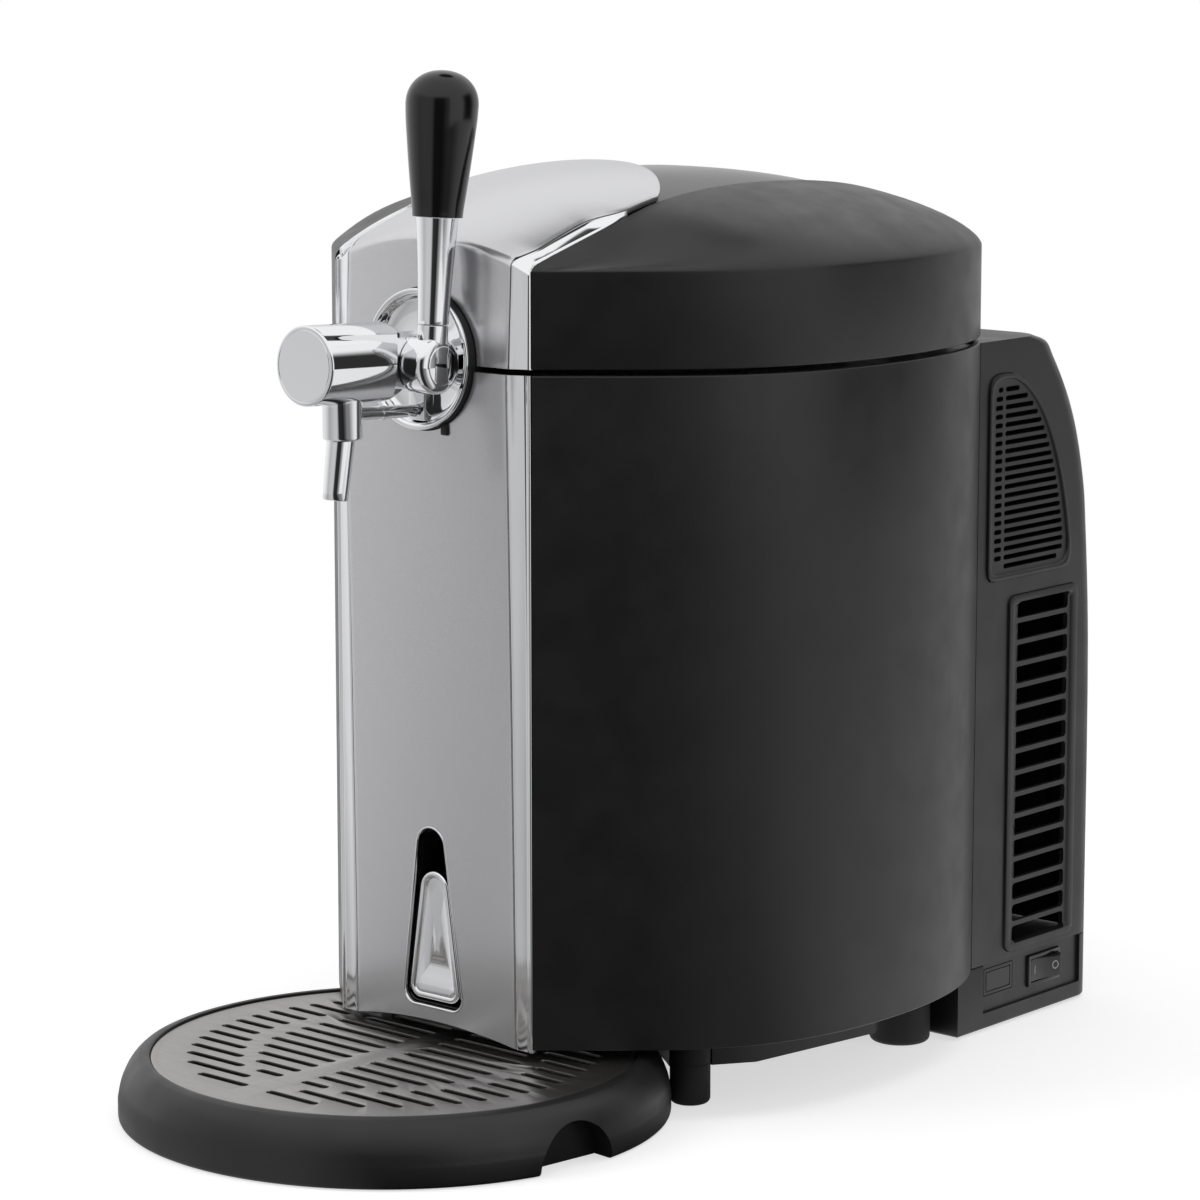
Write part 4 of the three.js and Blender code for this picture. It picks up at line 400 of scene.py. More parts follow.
def mirrored(piece, name):
    return raise_piece(
        name, [(-v.co.x / MM, v.co.y / MM, v.co.z / MM) for v in piece.data.vertices],
        [tuple(reversed(p.vertices)) for p in piece.data.polygons],
    )


def fit(piece, body, slot, nodes, degrees=32):
    """Gives a piece its finish, its body and the frame nodes that it stands for."""
    shade(piece, degrees)
    piece.data.materials.clear()
    piece.data.materials.append(finish_of(slot))
    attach(piece, body)
    if nodes:
        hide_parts(*nodes)
    return piece


def fit_pair(piece, body, slot, stem, degrees=32):
    twin = mirrored(piece, f"{piece.name}_left")
    piece.name = f"{piece.name}_right"
    piece.data.name = piece.name
    fit(piece, body, slot, [f"{stem}_right"], degrees)
    fit(twin, body, slot, [f"{stem}_left"], degrees)


# Curves and outlines


def cubic(a, b, c, d, steps):
    path = []
    for i in range(steps + 1):
        t = i / steps
        s = 1 - t
        path.append(tuple(
            s ** 3 * p + 3 * s * s * t * q + 3 * s * t * t * r + t ** 3 * w
            for p, q, r, w in zip(a, b, c, d)
        ))
    return path


def smooth_path(knots, steps):
    """A curve through every knot, with a given number of steps between two."""
    path = []
    for i in range(len(knots) - 1):
        a = Vector(knots[max(i - 1, 0)])
        b = Vector(knots[i])
        c = Vector(knots[i + 1])
        d = Vector(knots[min(i + 2, len(knots) - 1)])
        reach = (c - b).length
        before = max((b - a).length, 1e-6)
        after = max((d - c).length, 1e-6)
        out = (c - a) * (reach / (reach + before)) if i else (c - b)
        into = (d - b) * (reach / (reach + after)) if i + 2 < len(knots) else (c - b)
        for k in range(steps):
            t = k / steps
            path.append(tuple(
                (2 * t ** 3 - 3 * t * t + 1) * b + (t ** 3 - 2 * t * t + t) * out
                + (3 * t * t - 2 * t ** 3) * c + (t ** 3 - t * t) * into
            ))
    path.append(tuple(knots[-1]))
    return path


def ease(share):
    share = min(max(share, 0), 1)
    return share * share * (3 - 2 * share)


def quarter(steps):
    """Sine and one minus cosine over a quarter turn."""
    angles = [math.pi / 2 * i / steps for i in range(steps + 1)]
    return [(math.sin(angle), 1 - math.cos(angle)) for angle in angles]


PANEL_STEPS, FLANK_STEPS, REAR_STEPS = 12, 44, 32
# The direction in which a flank leaves its corner strip, and the reach of its curve's handles
CORNER_TURN = math.radians(42)
CORNER_PULL, FLANK_PULL, REAR_PULL, REAR_SWEEP = 60.0, 75.0, 62.0, 67.0


def plan_outline(front_y, half):
    """The body seen from above, anticlockwise from the middle of its front."""
    right = []
    for i in range(PANEL_STEPS + 1):
        share = i / PANEL_STEPS
        right.append((PANEL_HALF * share, front_y - PANEL_BULGE * (1 - share * share)))
    leave = (CORNER_X + CORNER_PULL * math.cos(CORNER_TURN), CORNER_Y + CORNER_PULL * math.sin(CORNER_TURN))
    right += cubic((CORNER_X, CORNER_Y), leave, (half, WIDEST_Y - FLANK_PULL), (half, WIDEST_Y), FLANK_STEPS)
    right += cubic(
        (half, WIDEST_Y), (half, WIDEST_Y + REAR_PULL), (REAR_FLAT + REAR_SWEEP, REAR_Y), (REAR_FLAT, REAR_Y),
        REAR_STEPS,
    )[1:]
    return right + [(-x, y) for x, y in reversed(right[1:])]


def inset(points, distance):
    moved = []
    count = len(points)
    for i in range(count):
        before = Vector(points[i - 1])
        here = Vector(points[i])
        after = Vector(points[(i + 1) % count])
        arriving = (here - before).normalized()
        leaving = (after - here).normalized()
        first = Vector((-arriving.y, arriving.x))
        second = Vector((-leaving.y, leaving.x))
        moved.append(tuple(here + (first + second) * (distance / (1 + first.dot(second)))))
    return moved


def at_height(points, z):
    return [(x, y, z) for x, y in points]


def body_share(z):
    return (z - PANEL_FOOT_Z) / (TOP_Z - PANEL_FOOT_Z)


def panel_y(z):
    return PANEL_FOOT_Y + (PANEL_TOP_Y - PANEL_FOOT_Y) * max(body_share(z), 0) ** PANEL_CURVE


def body_outline(z):
    draft = mm("keg_cabinet", "draft") * (1 - body_share(z))
    return plan_outline(panel_y(z), mm("keg_cabinet", "half_width") - draft)


def lid_panel_y(z):
    lean = LID_TOP_Y - LID_FOOT_Y
    return LID_FOOT_Y + lean * (z - LID_FOOT) / (mm("keg_lid", "wall_top") - LID_FOOT)


def lid_outline():
    return plan_outline(LID_TOP_Y, mm("keg_cabinet", "half_width"))


def body_fill(name, distance, z0, z1):
    return skin_rings(name, [at_height(inset(body_outline(z), distance), z) for z in (z0, z1)])


def tap_place():
    return Matrix.Translation((0, TAP_Y, TAP_Z)) @ Matrix.Rotation(-TAP_TILT, 4, "X")


ALONG_TAP = Matrix.Rotation(-math.pi / 2, 4, "X")


def tap_bore(name, radius, y0, y1, steps=128):
    return prisms(name, [disc(0, 0, radius, steps)], tap_place() @ ALONG_Y, TAP_Y - y1, TAP_Y - y0)


def side_place():
    """Lays a flat outline on the tower's right side, with its depth measured outward."""
    place = Matrix.Identity(4)
    place.col[0][:3] = Vector((-TOWER_TAPER, 1, 0)).normalized()
    place.col[1][:3] = (0, 0, 1)
    place.col[2][:3] = Vector((1, TOWER_TAPER, 0)).normalized()
    place.col[3][:3] = (mm("keg_tower", "side"), TOWER_MIDDLE_Y, 0)
    return place


def on_side(name, outlines, low, high):
    return prisms(name, outlines, side_place(), low, high)


def rounded_box(u, v, width, height, radius, steps=6):
    radius = min(radius, width / 2, height / 2)
    ring = []
    for cu, cv, start in (
        (u + radius, v + radius, 180), (u + width - radius, v + radius, 270),
        (u + width - radius, v + height - radius, 0), (u + radius, v + height - radius, 90),
    ):
        for i in range(steps + 1):
            angle = math.radians(start + 90 * i / steps)
            ring.append((cu + radius * math.cos(angle), cv + radius * math.sin(angle)))
    return ring


def box_inside(box, distance, radius, steps=6):
    """A rounded outline that lies a distance inside one of the openings or plates."""
    u, v, width, height = box
    return rounded_box(
        u + distance, v + distance, width - 2 * distance, height - 2 * distance, radius, steps
    )


def pillow(name, outline, place, low, high, radius):
    """An outline drawn out with its upper edge rounded; the outline runs anticlockwise."""
    rings = [[(u, v, low) for u, v in outline]]
    for rise, back in quarter(4):
        rings.append([(u, v, high - radius + radius * rise) for u, v in inset(outline, radius * back)])
    return skin_rings(name, rings, place)


# Finishes


class FinishMaker:
    """Nodes for one finish, added one after another."""

    def __init__(self, name):
        self.material = bpy.data.materials.new(name)
        self.material.use_nodes = True
        self.nodes = self.material.node_tree.nodes
        self.links = self.material.node_tree.links
        self.shader = self.nodes["Principled BSDF"]
        self.places = self.nodes.new("ShaderNodeTexCoord")

    def stretch(self, scale):
        node = self.nodes.new("ShaderNodeMapping")
        node.inputs["Scale"].default_value = scale
        self.links.new(self.places.outputs["Object"], node.inputs["Vector"])
        return node.outputs["Vector"]

    def noise(self, scale, detail=2.0, vector=None, roughness=0.5):
        node = self.nodes.new("ShaderNodeTexNoise")
        node.inputs["Scale"].default_value = scale
        node.inputs["Detail"].default_value = detail
        node.inputs["Roughness"].default_value = roughness
        self.links.new(vector or self.places.outputs["Object"], node.inputs["Vector"])
        return node.outputs["Fac"]

    def span(self, value, low, high, from_low=0.3, from_high=0.7):
        node = self.nodes.new("ShaderNodeMapRange")
        node.inputs["From Min"].default_value = from_low
        node.inputs["From Max"].default_value = from_high
        node.inputs["To Min"].default_value = low
        node.inputs["To Max"].default_value = high
        self.links.new(value, node.inputs["Value"])
        return node.outputs["Result"]

    def tint(self, value, first, second):
        node = self.nodes.new("ShaderNodeValToRGB")
        node.color_ramp.elements[0].position = 0.3
        node.color_ramp.elements[1].position = 0.7
        node.color_ramp.elements[0].color = (*first, 1)
        node.color_ramp.elements[1].color = (*second, 1)
        self.links.new(value, node.inputs["Fac"])
        self.links.new(node.outputs["Color"], self.shader.inputs["Base Color"])

    def bump(self, value, distance, strength):
        node = self.nodes.new("ShaderNodeBump")
        node.inputs["Distance"].default_value = distance
        node.inputs["Strength"].default_value = strength
        self.links.new(value, node.inputs["Height"])
        self.links.new(node.outputs["Normal"], self.shader.inputs["Normal"])

    def reckon(self, operation, first, second=0.0):
        node = self.nodes.new("ShaderNodeMath")
        node.operation = operation
        self.links.new(first, node.inputs[0])
        if isinstance(second, float):
            node.inputs[1].default_value = second
        else:
            self.links.new(second, node.inputs[1])
        return node.outputs["Value"]

    def set(self, socket, value):
        self.shader.inputs[socket].default_value = value

    def feed(self, socket, value):
        self.links.new(value, self.shader.inputs[socket])


def shift(base, share):
    return tuple(min(channel * share, 1.0) for channel in base)


def moulded(name, base, roughness, grain_scale, grain_depth, spread=0.05, cloud=0.14):
    """Moulded plastic with a fine grain and faint flow marks."""
    maker = FinishMaker(name)
    maker.tint(maker.noise(22, 3), shift(base, 1 - cloud), shift(base, 1 + cloud))
    maker.feed("Roughness", maker.span(maker.noise(60, 4), roughness - spread, roughness + spread))
    maker.bump(maker.noise(grain_scale, 2), grain_depth, 0.5)
    return maker.material


def lid_moulding(name, base, roughness, smooth):
    """The lid's moulding, shinier in the channel behind the tongue."""
    maker = FinishMaker(name)
    maker.tint(maker.noise(22, 3), shift(base, 0.86), shift(base, 1.16))
    grain = maker.span(maker.noise(60, 4), roughness - 0.05, roughness + 0.05)
    split = maker.nodes.new("ShaderNodeSeparateXYZ")
    maker.links.new(maker.places.outputs["Object"], split.inputs["Vector"])
    side = maker.reckon("ABSOLUTE", split.outputs["X"])
    beside = maker.reckon("LESS_THAN", side, (VALLEY_HALF - GAP) * MM)
    behind = maker.reckon("GREATER_THAN", split.outputs["Y"], BAND_END_Y * MM)
    channel = maker.reckon("MULTIPLY", beside, behind)
    blend = maker.nodes.new("ShaderNodeMix")
    blend.inputs["B"].default_value = smooth
    maker.links.new(channel, blend.inputs["Factor"])
    maker.links.new(grain, blend.inputs["A"])
    maker.feed("Roughness", blend.outputs["Result"])
    maker.bump(maker.noise(1500, 2), 0.00004, 0.5)
    return maker.material


def plated(name, base, roughness):
    """Chrome plate that lies a little unevenly over its moulding."""
    maker = FinishMaker(name)
    maker.set("Metallic", 1.0)
    maker.tint(maker.noise(14, 2), shift(base, 0.97), shift(base, 1.03))
    maker.feed("Roughness", maker.span(maker.noise(90, 3), roughness * 0.7, roughness * 1.4))
    maker.bump(maker.noise(45, 1), 0.00003, 0.6)
    return maker.material


def satin_paint(name, base, roughness):
    """Silver paint with a very fine flake."""
    maker = FinishMaker(name)
    maker.set("Metallic", 0.85)
    flake = maker.noise(2600, 1)
    maker.tint(flake, shift(base, 0.93), shift(base, 1.07))
    maker.feed("Roughness", maker.span(maker.noise(25, 1), roughness - 0.015, roughness + 0.015, 0.0, 1.0))
    maker.bump(flake, 0.00001, 0.2)
    maker.set("Coat Weight", 0.12)
    maker.set("Coat Roughness", 0.18)
    return maker.material


def brushed(name, base, roughness, grain):
    """Metal brushed along X."""
    maker = FinishMaker(name)
    maker.set("Metallic", 1.0)
    lines = maker.noise(grain, 3, maker.stretch((1.0, 45.0, 45.0)), 0.7)
    maker.tint(lines, shift(base, 0.78), shift(base, 1.22))
    maker.feed("Roughness", maker.span(lines, roughness - 0.06, roughness + 0.08))
    maker.bump(lines, 0.00003, 0.35)
    return maker.material


def plain_metal(name, base, roughness):
    maker = FinishMaker(name)
    maker.set("Metallic", 1.0)
    cloud = maker.noise(70, 4)
    maker.tint(cloud, shift(base, 0.95), shift(base, 1.04))
    maker.feed("Roughness", maker.span(cloud, roughness - 0.02, roughness + 0.03))
    maker.bump(maker.noise(900, 2), 0.00002, 0.3)
    return maker.material


def foam(name, base):
    maker = FinishMaker(name)
    cells = maker.nodes.new("ShaderNodeTexVoronoi")
    cells.inputs["Scale"].default_value = 420
    maker.links.new(maker.places.outputs["Object"], cells.inputs["Vector"])
    maker.tint(cells.outputs["Distance"], shift(base, 0.9), base)
    maker.set("Roughness", 0.9)
    maker.bump(cells.outputs["Distance"], 0.0004, 0.6)
    return maker.material


FINISHES = {}


def finish_of(slot):
    """The material of a slot, made the first time that it is asked for."""
    if slot in FINISHES:
        return FINISHES[slot]
    looks = bpy.context.scene.keg_finishes
    makers = {
        "satin_black": lambda: moulded("satin_black_moulding", tuple(looks.black), 0.38, 1500, 0.00006),
        "lid_black": lambda: lid_moulding("lid_black_moulding", tuple(looks.black), 0.38, 0.16),
        "gloss_black": lambda: moulded("gloss_black_moulding", tuple(looks.gloss), 0.10, 300, 0.000004, 0.03),
        "tray_black": lambda: moulded("tray_black_moulding", tuple(looks.tray), 0.40, 1300, 0.00007),
        "satin_silver": lambda: satin_paint("satin_silver_paint", tuple(looks.silver), 0.25),
        "chrome_trim": lambda: plated("chrome_trim_plate", tuple(looks.chrome), 0.11),
        "chrome_tap": lambda: plated("chrome_tap_plate", tuple(looks.chrome), 0.045),
        "brushed_plate": lambda: brushed("brushed_steel_plate", tuple(looks.steel), 0.34, 60),
        "bright_aluminium": lambda: plain_metal("bright_aluminium_sheet", tuple(looks.aluminium), 0.30),
        "zinc_steel": lambda: plain_metal("zinc_plated_steel", (0.42, 0.43, 0.44), 0.32),
        "foot_rubber": lambda: moulded("foot_rubber_black", (0.011, 0.011, 0.011), 0.72, 700, 0.00012),
        "seal_rubber": lambda: moulded("seal_rubber_black", (0.009, 0.009, 0.009), 0.55, 700, 0.00008),
        "foam_white": lambda: foam("foam_insulation_white", (0.72, 0.70, 0.64)),
        "pale_plastic": lambda: moulded(
            "pale_liner_moulding", (0.44, 0.45, 0.46), 0.5, 900, 0.00008, 0.05, 0.04
        ),
        "board_green": lambda: moulded("board_green_lacquer", (0.05, 0.14, 0.045), 0.35, 500, 0.00005),
    }
    if slot not in makers:
        raise RuntimeError(f"no finish is known for {slot}")
    FINISHES[slot] = makers[slot]()
    return FINISHES[slot]


# Cabinet shell, panel and strips


def shell_ring(z, edge):
    outline = body_outline(z)
    first = PANEL_STEPS + 1
    last = len(outline) - first + 1
    outer = inset(outline, edge)[first:last]
    inner = inset(outline, mm("keg_cabinet", "wall"))[first:last]
    return at_height(outer + inner[::-1], z)


def edge_levels(low, high, radius, middle):
    """Heights and insets up a wall whose foot and top edges are rounded."""
    turn = quarter(4)
    levels = [(low + radius * back, radius * (1 - rise)) for rise, back in turn]
    levels += [(low + (high - low) * i / middle, 0.0) for i in range(1, middle)]
    levels += [(high - radius * back, radius * (1 - rise)) for rise, back in reversed(turn)]
    return levels


def make_body_shell():
    levels = edge_levels(FOOT_Z, TOP_Z, mm("keg_cabinet", "edge"), 4)
    shell = skin_rings("body_shell_wrap", [shell_ring(z, edge) for z, edge in levels])
    front = block("shell_front", -CORNER_X - GAP, CORNER_X + GAP, AHEAD_Y, 0, 20, 340)
    half = COLD_HALF + GAP
    window = block("shell_window", -half, half, REAR_Y - 10, REAR_Y + 8, COOLER_Z - half, COOLER_Z + half)
    cut(shell, front, window)
    post_x, post_radius = 44, 3.5
    posts = [
        rod_y("shell_post", side * post_x, z, post_radius, REAR_Y - 1.5, REAR_Y + 6.7, 24)
        for side in (-1, 1) for z in (228, 290)
    ]
    join(shell, *posts)
    fit(shell, CABINET, "satin_black", ["body_shell"], 30)


# Steps across a silver sheet, and how round the front sheet's side edges are
SHEET_STEPS = 40
SHEET_EDGE = 0.6


def edge_spread(half):
    """Places across a sheet, closer together at its two edges."""
    inner = [half * (2 * i / SHEET_STEPS - 1) for i in range(1, SHEET_STEPS)]
    right = [half - SHEET_EDGE * back for _, back in reversed(quarter(4))]
    left = [-x for x in right[::-1]]
    return left + [x for x in inner if abs(x) < half - SHEET_EDGE * 1.5] + right


def sheet_ring(z, y, thickness, half):
    """One level of the bulged front sheet, its two edges rounded."""
    front = []
    back = []
    for x in edge_spread(half):
        share = x / half
        face = y - PANEL_BULGE * (1 - share * share)
        near = SHEET_EDGE - (half - abs(x))
        drop = SHEET_EDGE - math.sqrt(max(SHEET_EDGE ** 2 - near ** 2, 0)) if near > 0 else 0
        front.append((x, face + drop, z))
        back.append((x, face + thickness, z))
    return front + back[::-1]


def hull_outline(top_z, top_radius, foot_z, foot_radius, foot_half):
    """A tapered shape: a round top and two round foot corners, with straight sides between them."""
    points = []
    steps = 24
    arcs = (
        (0, top_z, top_radius, 0.06, 0.94), (-foot_half, foot_z, foot_radius, 0.98, 1.5),
        (foot_half, foot_z, foot_radius, 1.5, 2.02),
    )
    for x, z, radius, start, stop in arcs:
        for i in range(steps + 1):
            angle = math.pi * (start + (stop - start) * i / steps)
            points.append((x + radius * math.cos(angle), z + radius * math.sin(angle)))
    return points


RECESS_TOP_Z, RECESS_TOP_RADIUS = 114.0, 9.0
RECESS_FOOT_Z, RECESS_FOOT_RADIUS, RECESS_FOOT_HALF = 48.0, 7.0, 11.3
PADDLE_TOP_Z, PADDLE_TOP_RADIUS = 94.0, 8.6
PADDLE_FOOT_Z, PADDLE_FOOT_RADIUS, PADDLE_FOOT_HALF = 50.3, 6.0, 9.1


def recess_outline(distance):
    return hull_outline(
        RECESS_TOP_Z, RECESS_TOP_RADIUS - distance, RECESS_FOOT_Z, RECESS_FOOT_RADIUS - distance,
        RECESS_FOOT_HALF,
    )


def paddle_outline(distance):
    return hull_outline(
        PADDLE_TOP_Z, PADDLE_TOP_RADIUS - distance, PADDLE_FOOT_Z, PADDLE_FOOT_RADIUS - distance,
        PADDLE_FOOT_HALF,
    )


def panel_surface(x, z):
    return panel_y(z) - PANEL_BULGE * (1 - (x / (PANEL_HALF - GAP)) ** 2)


def panel_levels(steps):
    return [PANEL_FOOT_Z + (TOP_Z - PANEL_FOOT_Z) * i / steps for i in range(steps + 1)]


def make_front_panel():
    lip = mm("keg_cabinet", "lip")
    thickness = mm("keg_cabinet", "panel")
    rings = [sheet_ring(z, panel_y(z), thickness, PANEL_HALF - GAP) for z in panel_levels(28)]
    panel = skin_rings("front_panel_sheet", rings)
    near_y = AHEAD_Y + 3
    arch_rise = 4.5
    arch_radius = (PANEL_HALF ** 2 + arch_rise ** 2) / (2 * arch_rise)
    arch = rod_y("panel_arch", 0, PANEL_FOOT_Z + arch_rise - arch_radius, arch_radius, near_y, -96, 720)
    notch = tap_bore("panel_notch", TAP_NOTCH, near_y, -98)
    tab = block("panel_tab_slot", 11.6, 15.6, AHEAD_Y, -98, 296.3, 301.8)
    recess = across_y("panel_recess", [recess_outline(-0.05)], near_y, -94)
    cut_sheet(panel, arch, notch, tab, recess)
    fit(panel, CABINET, "satin_silver", ["front_panel"], 30)
    section = [(0.0, 1.6), (0.0, 0.05), (0.1, -0.2), (0.4, -0.38), (0.75, -0.25), (lip, 0.3), (lip, 1.6)]
    rings = []
    for distance, depth in section:
        rings.append([(x, panel_surface(x, z) + depth, z) for x, z in recess_outline(distance)])
    fit(hoop("recess_rolled_edge", rings), CABINET, "chrome_trim", [], 60)


# Shares across a corner strip, and heights above its chord
STRIP_PROFILE = (
    (0.0, -0.55), (0.02, -0.28), (0.045, -0.12), (0.08, -0.03), (0.14, -0.02), (0.24, -0.10), (0.36, -0.17),
    (0.48, -0.19), (0.60, -0.16), (0.70, -0.08), (0.765, -0.02), (0.79, -0.16), (0.81, -0.16), (0.835, 0.06),
    (0.865, 0.30), (0.90, 0.44), (0.935, 0.49), (0.965, 0.42), (0.99, 0.20), (1.0, -0.15),
)


def strip_ring(z, y, outer_y):
    inner = Vector((PANEL_HALF, y))
    outer = Vector((CORNER_X, outer_y))
    along = (outer - inner).normalized()
    out = Vector((along.y, -along.x))
    width = (outer - inner).length
    thickness = mm("keg_cabinet", "strip")
    points = [inner + along * (width * share) + out * height for share, height in STRIP_PROFILE]
    points += [Vector((CORNER_X, outer_y + thickness)), Vector((PANEL_HALF, y + thickness))]
    return [(p.x, p.y, z) for p in points]


def make_corner_strips():
    rings = [strip_ring(z, panel_y(z), CORNER_Y) for z in panel_levels(24)]
    fit_pair(skin_rings("corner_strip_chrome", rings), CABINET, "chrome_trim", "corner_strip", 50)


# Release paddle


PADDLE_RIM = 3.3
PADDLE_DISH_Y = -99.2
PADDLE_PIN_Y, PADDLE_PIN_Z = -98.0, 48.0


def paddle_foot(z):
    """The dish's place in y at a height: further forward at its foot, over the pin."""
    return PADDLE_DISH_Y - 1.3 * ease((56 - z) / 6)


def make_latch():
    wall, floor, back = 0.9, 1.5, 85
    cup = pillow("latch_cup_moulding", recess_outline(GAP + wall), ALONG_Y, back, 99.7, 0.4)
    pocket = across_y("cup_pocket", [recess_outline(GAP + 2 * wall)], -104, -back - floor)
    cut(cup, pocket)
    fit(cup, CABINET, "gloss_black", ["latch_cup"], 40)

    rolled = [
        (0.0, -95.9), (0.0, -99.8), (0.12, -100.3), (0.45, -100.75), (0.95, -101.0), (1.6, -101.05),
        (2.2, -100.9), (2.7, -100.5), (3.05, -99.9),
    ]
    rings = [[(x, y, z) for x, z in paddle_outline(distance)] for distance, y in rolled]
    dish = paddle_outline(PADDLE_RIM)
    rings.append([(x, min(PADDLE_DISH_Y, paddle_foot(z)), z) for x, z in dish])
    middle_z = 68
    for share in (
        0.975, 0.94, 0.9, 0.85, 0.8, 0.74, 0.68, 0.61, 0.54, 0.47, 0.4, 0.33, 0.26, 0.19, 0.12, 0.05,
    ):
        rim = ease((1 - share) / 0.16)
        ring = []
        for x, z in dish:
            place = middle_z + (z - middle_z) * share
            bend = 0.25 + 1.5 * ease((65.5 - place) / 5) - 1.5 * ease((60 - place) / 7)
            ring.append((x * share, paddle_foot(place) + bend * rim, place))
        rings.append(ring)
    paddle = skin_rings("latch_paddle_plate", rings)
    half = 8
    barrel = rod_x("paddle_barrel", PADDLE_PIN_Y, PADDLE_PIN_Z, 2.7, -half, half, 32)
    front = block("barrel_front", -half - 1, half + 1, -104, -98.9, PADDLE_PIN_Z - 8, PADDLE_PIN_Z + 8)
    cut(barrel, front)
    join(paddle, barrel)
    cut(paddle, rod_x("paddle_bore", PADDLE_PIN_Y, PADDLE_PIN_Z, 1.55, -19, 19, 24))
    fit(paddle, PADDLE, "chrome_trim", ["latch_paddle"], 40)


# Base, feet, inlet and switches


def tower_side_x(y):
    return mm("keg_tower", "side") - TOWER_TAPER * (y - TOWER_MIDDLE_Y)


def tower_outline(rear_y, distance, front_y=120.0):
    """The tower seen from above, with its two rear corners rounded."""
    radius = mm("keg_tower", "corner") - distance
    rear = rear_y - distance
    farthest = mm("keg_tower", "rear") - distance
    side = tower_side_x(rear - radius) - distance
    right = [(tower_side_x(front_y) - distance, front_y)]
    for rise, back in quarter(14):
        right.append((side - radius * back, min(rear - radius * (1 - rise), farthest)))
    return right + [(-x, y) for x, y in reversed(right)]


def foot_place():
    """Where the right front foot stands, just clear of the tray."""
    angle = math.radians(41.9)
    reach = mm("keg_tray", "radius") + TRAY_CLEAR + FRONT_FOOT_RADIUS
    return reach * math.sin(angle), TRAY_Y + reach * math.cos(angle)


def make_base():
    rear = mm("keg_tower", "rear")
    nest_gap, nest_steps = 0.4, 40
    clear = foot_place()[0] - (FRONT_FOOT_RADIUS + nest_gap)
    nest = mm("keg_tray", "radius") + nest_gap
    right = []
    for i in range(nest_steps + 1):
        x = clear * i / nest_steps
        right.append((x, TRAY_Y + math.sqrt(nest ** 2 - x ** 2)))
    right += [(clear, -18), (90, -18), (101, -1), (109, 73), (95, 96), (62, 96), (62, 135.5)]
    pan_top = 34.5
    outline = right + [(-x, y) for x, y in reversed(right[1:])]
    pan = prisms("base_moulding_pan", [outline], ALONG_Z, 15, pan_top)
    plate = body_fill("base_plate", SHELL_ROOM, FOOT_Z + 1, FOOT_Z + 4)
    tail_front = 131.5
    rings = []
    for z, back in ((1.0, 1.2), (1.3, 0.5), (2.0, 0.0), (31.2, 0.0), (31.55, 0.15), (31.7, 0.5)):
        rings.append(at_height(inset(tower_outline(rear, 0, tail_front), back), z))
    tail = skin_rings("base_tail", rings)
    neck = block("base_neck", -46, 46, tail_front + GAP, 166.4, 27.7, pan_top)
    join(pan, plate, tail, neck)
    pocket = on_side("strip_pocket", [rounded_box(12, 8.6, 81, 27.4, 0.8)], -1.6, OVER)
    bezel = on_side("bezel_hole", [box_inside(BEZEL, 0, 0.5)], -16.2, OVER)
    blank = on_side("blank_hole", [box_inside(BLANK, 0, 0.8)], -3.9, OVER)
    x, z, width, height = INLET
    inlet = block(
        "inlet_hole", x - GAP, x + width + GAP, rear - (INLET_DEPTH + GAP), rear + OVER,
        z - GAP, z + height + GAP,
    )
    cut(pan, pocket, bezel, blank, inlet)
    fit(pan, CABINET, "satin_black", ["base_moulding"], 35)


def make_feet():
    foot_x, foot_y = foot_place()
    sole, top = 2.5, 32.7
    for name, x, y, radius in (
        ("front", foot_x, foot_y, FRONT_FOOT_RADIUS), ("rear", 89.0, 116.0, REAR_FOOT_RADIUS),
    ):
        profile = [(0, 0), (radius - 2.6, 0)]
        profile += [(radius - sole * (1 - rise), sole * back) for rise, back in quarter(6)[1:]]
        profile += [(radius, 18), (radius - 0.25, 18.4), (radius - 0.25, 19.2), (radius, 19.6)]
        profile += [(radius, top), (0, top)]
        pad = turn_profile(f"{name}_foot_pad", profile, 72, Matrix.Translation((x, y, 0)))
        fit_pair(pad, CABINET, "foot_rubber", f"foot_{name}", 30)


def make_inlet():
    rear = mm("keg_tower", "rear")
    housing = across_y("mains_inlet_housing", [box_inside(INLET, 0, 0.8)], rear - INLET_DEPTH, rear)
    cavity = across_y("inlet_cavity", [[
        (-81.7, 8.8), (-58.3, 8.8), (-58.3, 21.5), (-62.0, 25.2), (-78.0, 25.2), (-81.7, 21.5),
    ]], rear - 15, rear + OVER)
    cut(housing, cavity)
    pins = []
    for x, z in ((-77, 15), (-70, 19), (-63, 15)):
        pins.append(across_y("inlet_pin", [rounded_box(x - 1, z - 2, 2, 4, 0.4, 3)], rear - 16.8, rear - 5))
    join(housing, *pins)
    fit(housing, CABINET, "gloss_black", ["power_inlet"], 35)


def ring_mark(outer, inner, low, high, place):
    profile = [
        (inner, low), (outer, low), (outer, high - 0.03), (outer - 0.05, high), (inner + 0.05, high),
        (inner, high - 0.03), (inner, low),
    ]
    return turn_profile("rocker_ring_mark", profile, 40, place)


def make_switches():
    body = on_side("switch_bezel_frame", [box_inside(BEZEL, GAP, 0.8)], -15.6, -0.3)
    pocket = on_side("bezel_pocket", [box_inside(BEZEL, BEZEL_WALL, 0.5)], -9.6, OVER)
    cut(body, pocket)
    soften(body, 0.22, 2, 60)
    fit(body, CABINET, "gloss_black", ["switch_bezel"], 35)
    make_rocker()

    blank = pillow("blank_cover_plate", box_inside(BLANK, GAP, 0.8), side_place(), -3.6, -1.6, 0.25)
    groove = on_side("blank_groove", [box_inside(BLANK, 1.7, 0.6)], -2.1, 0)
    cut(groove, on_side("blank_inner", [box_inside(BLANK, 2.3, 0.5)], -2.6, 1))
    cut(blank, groove)
    fit(blank, CABINET, "gloss_black", ["blank_cover"], 35)


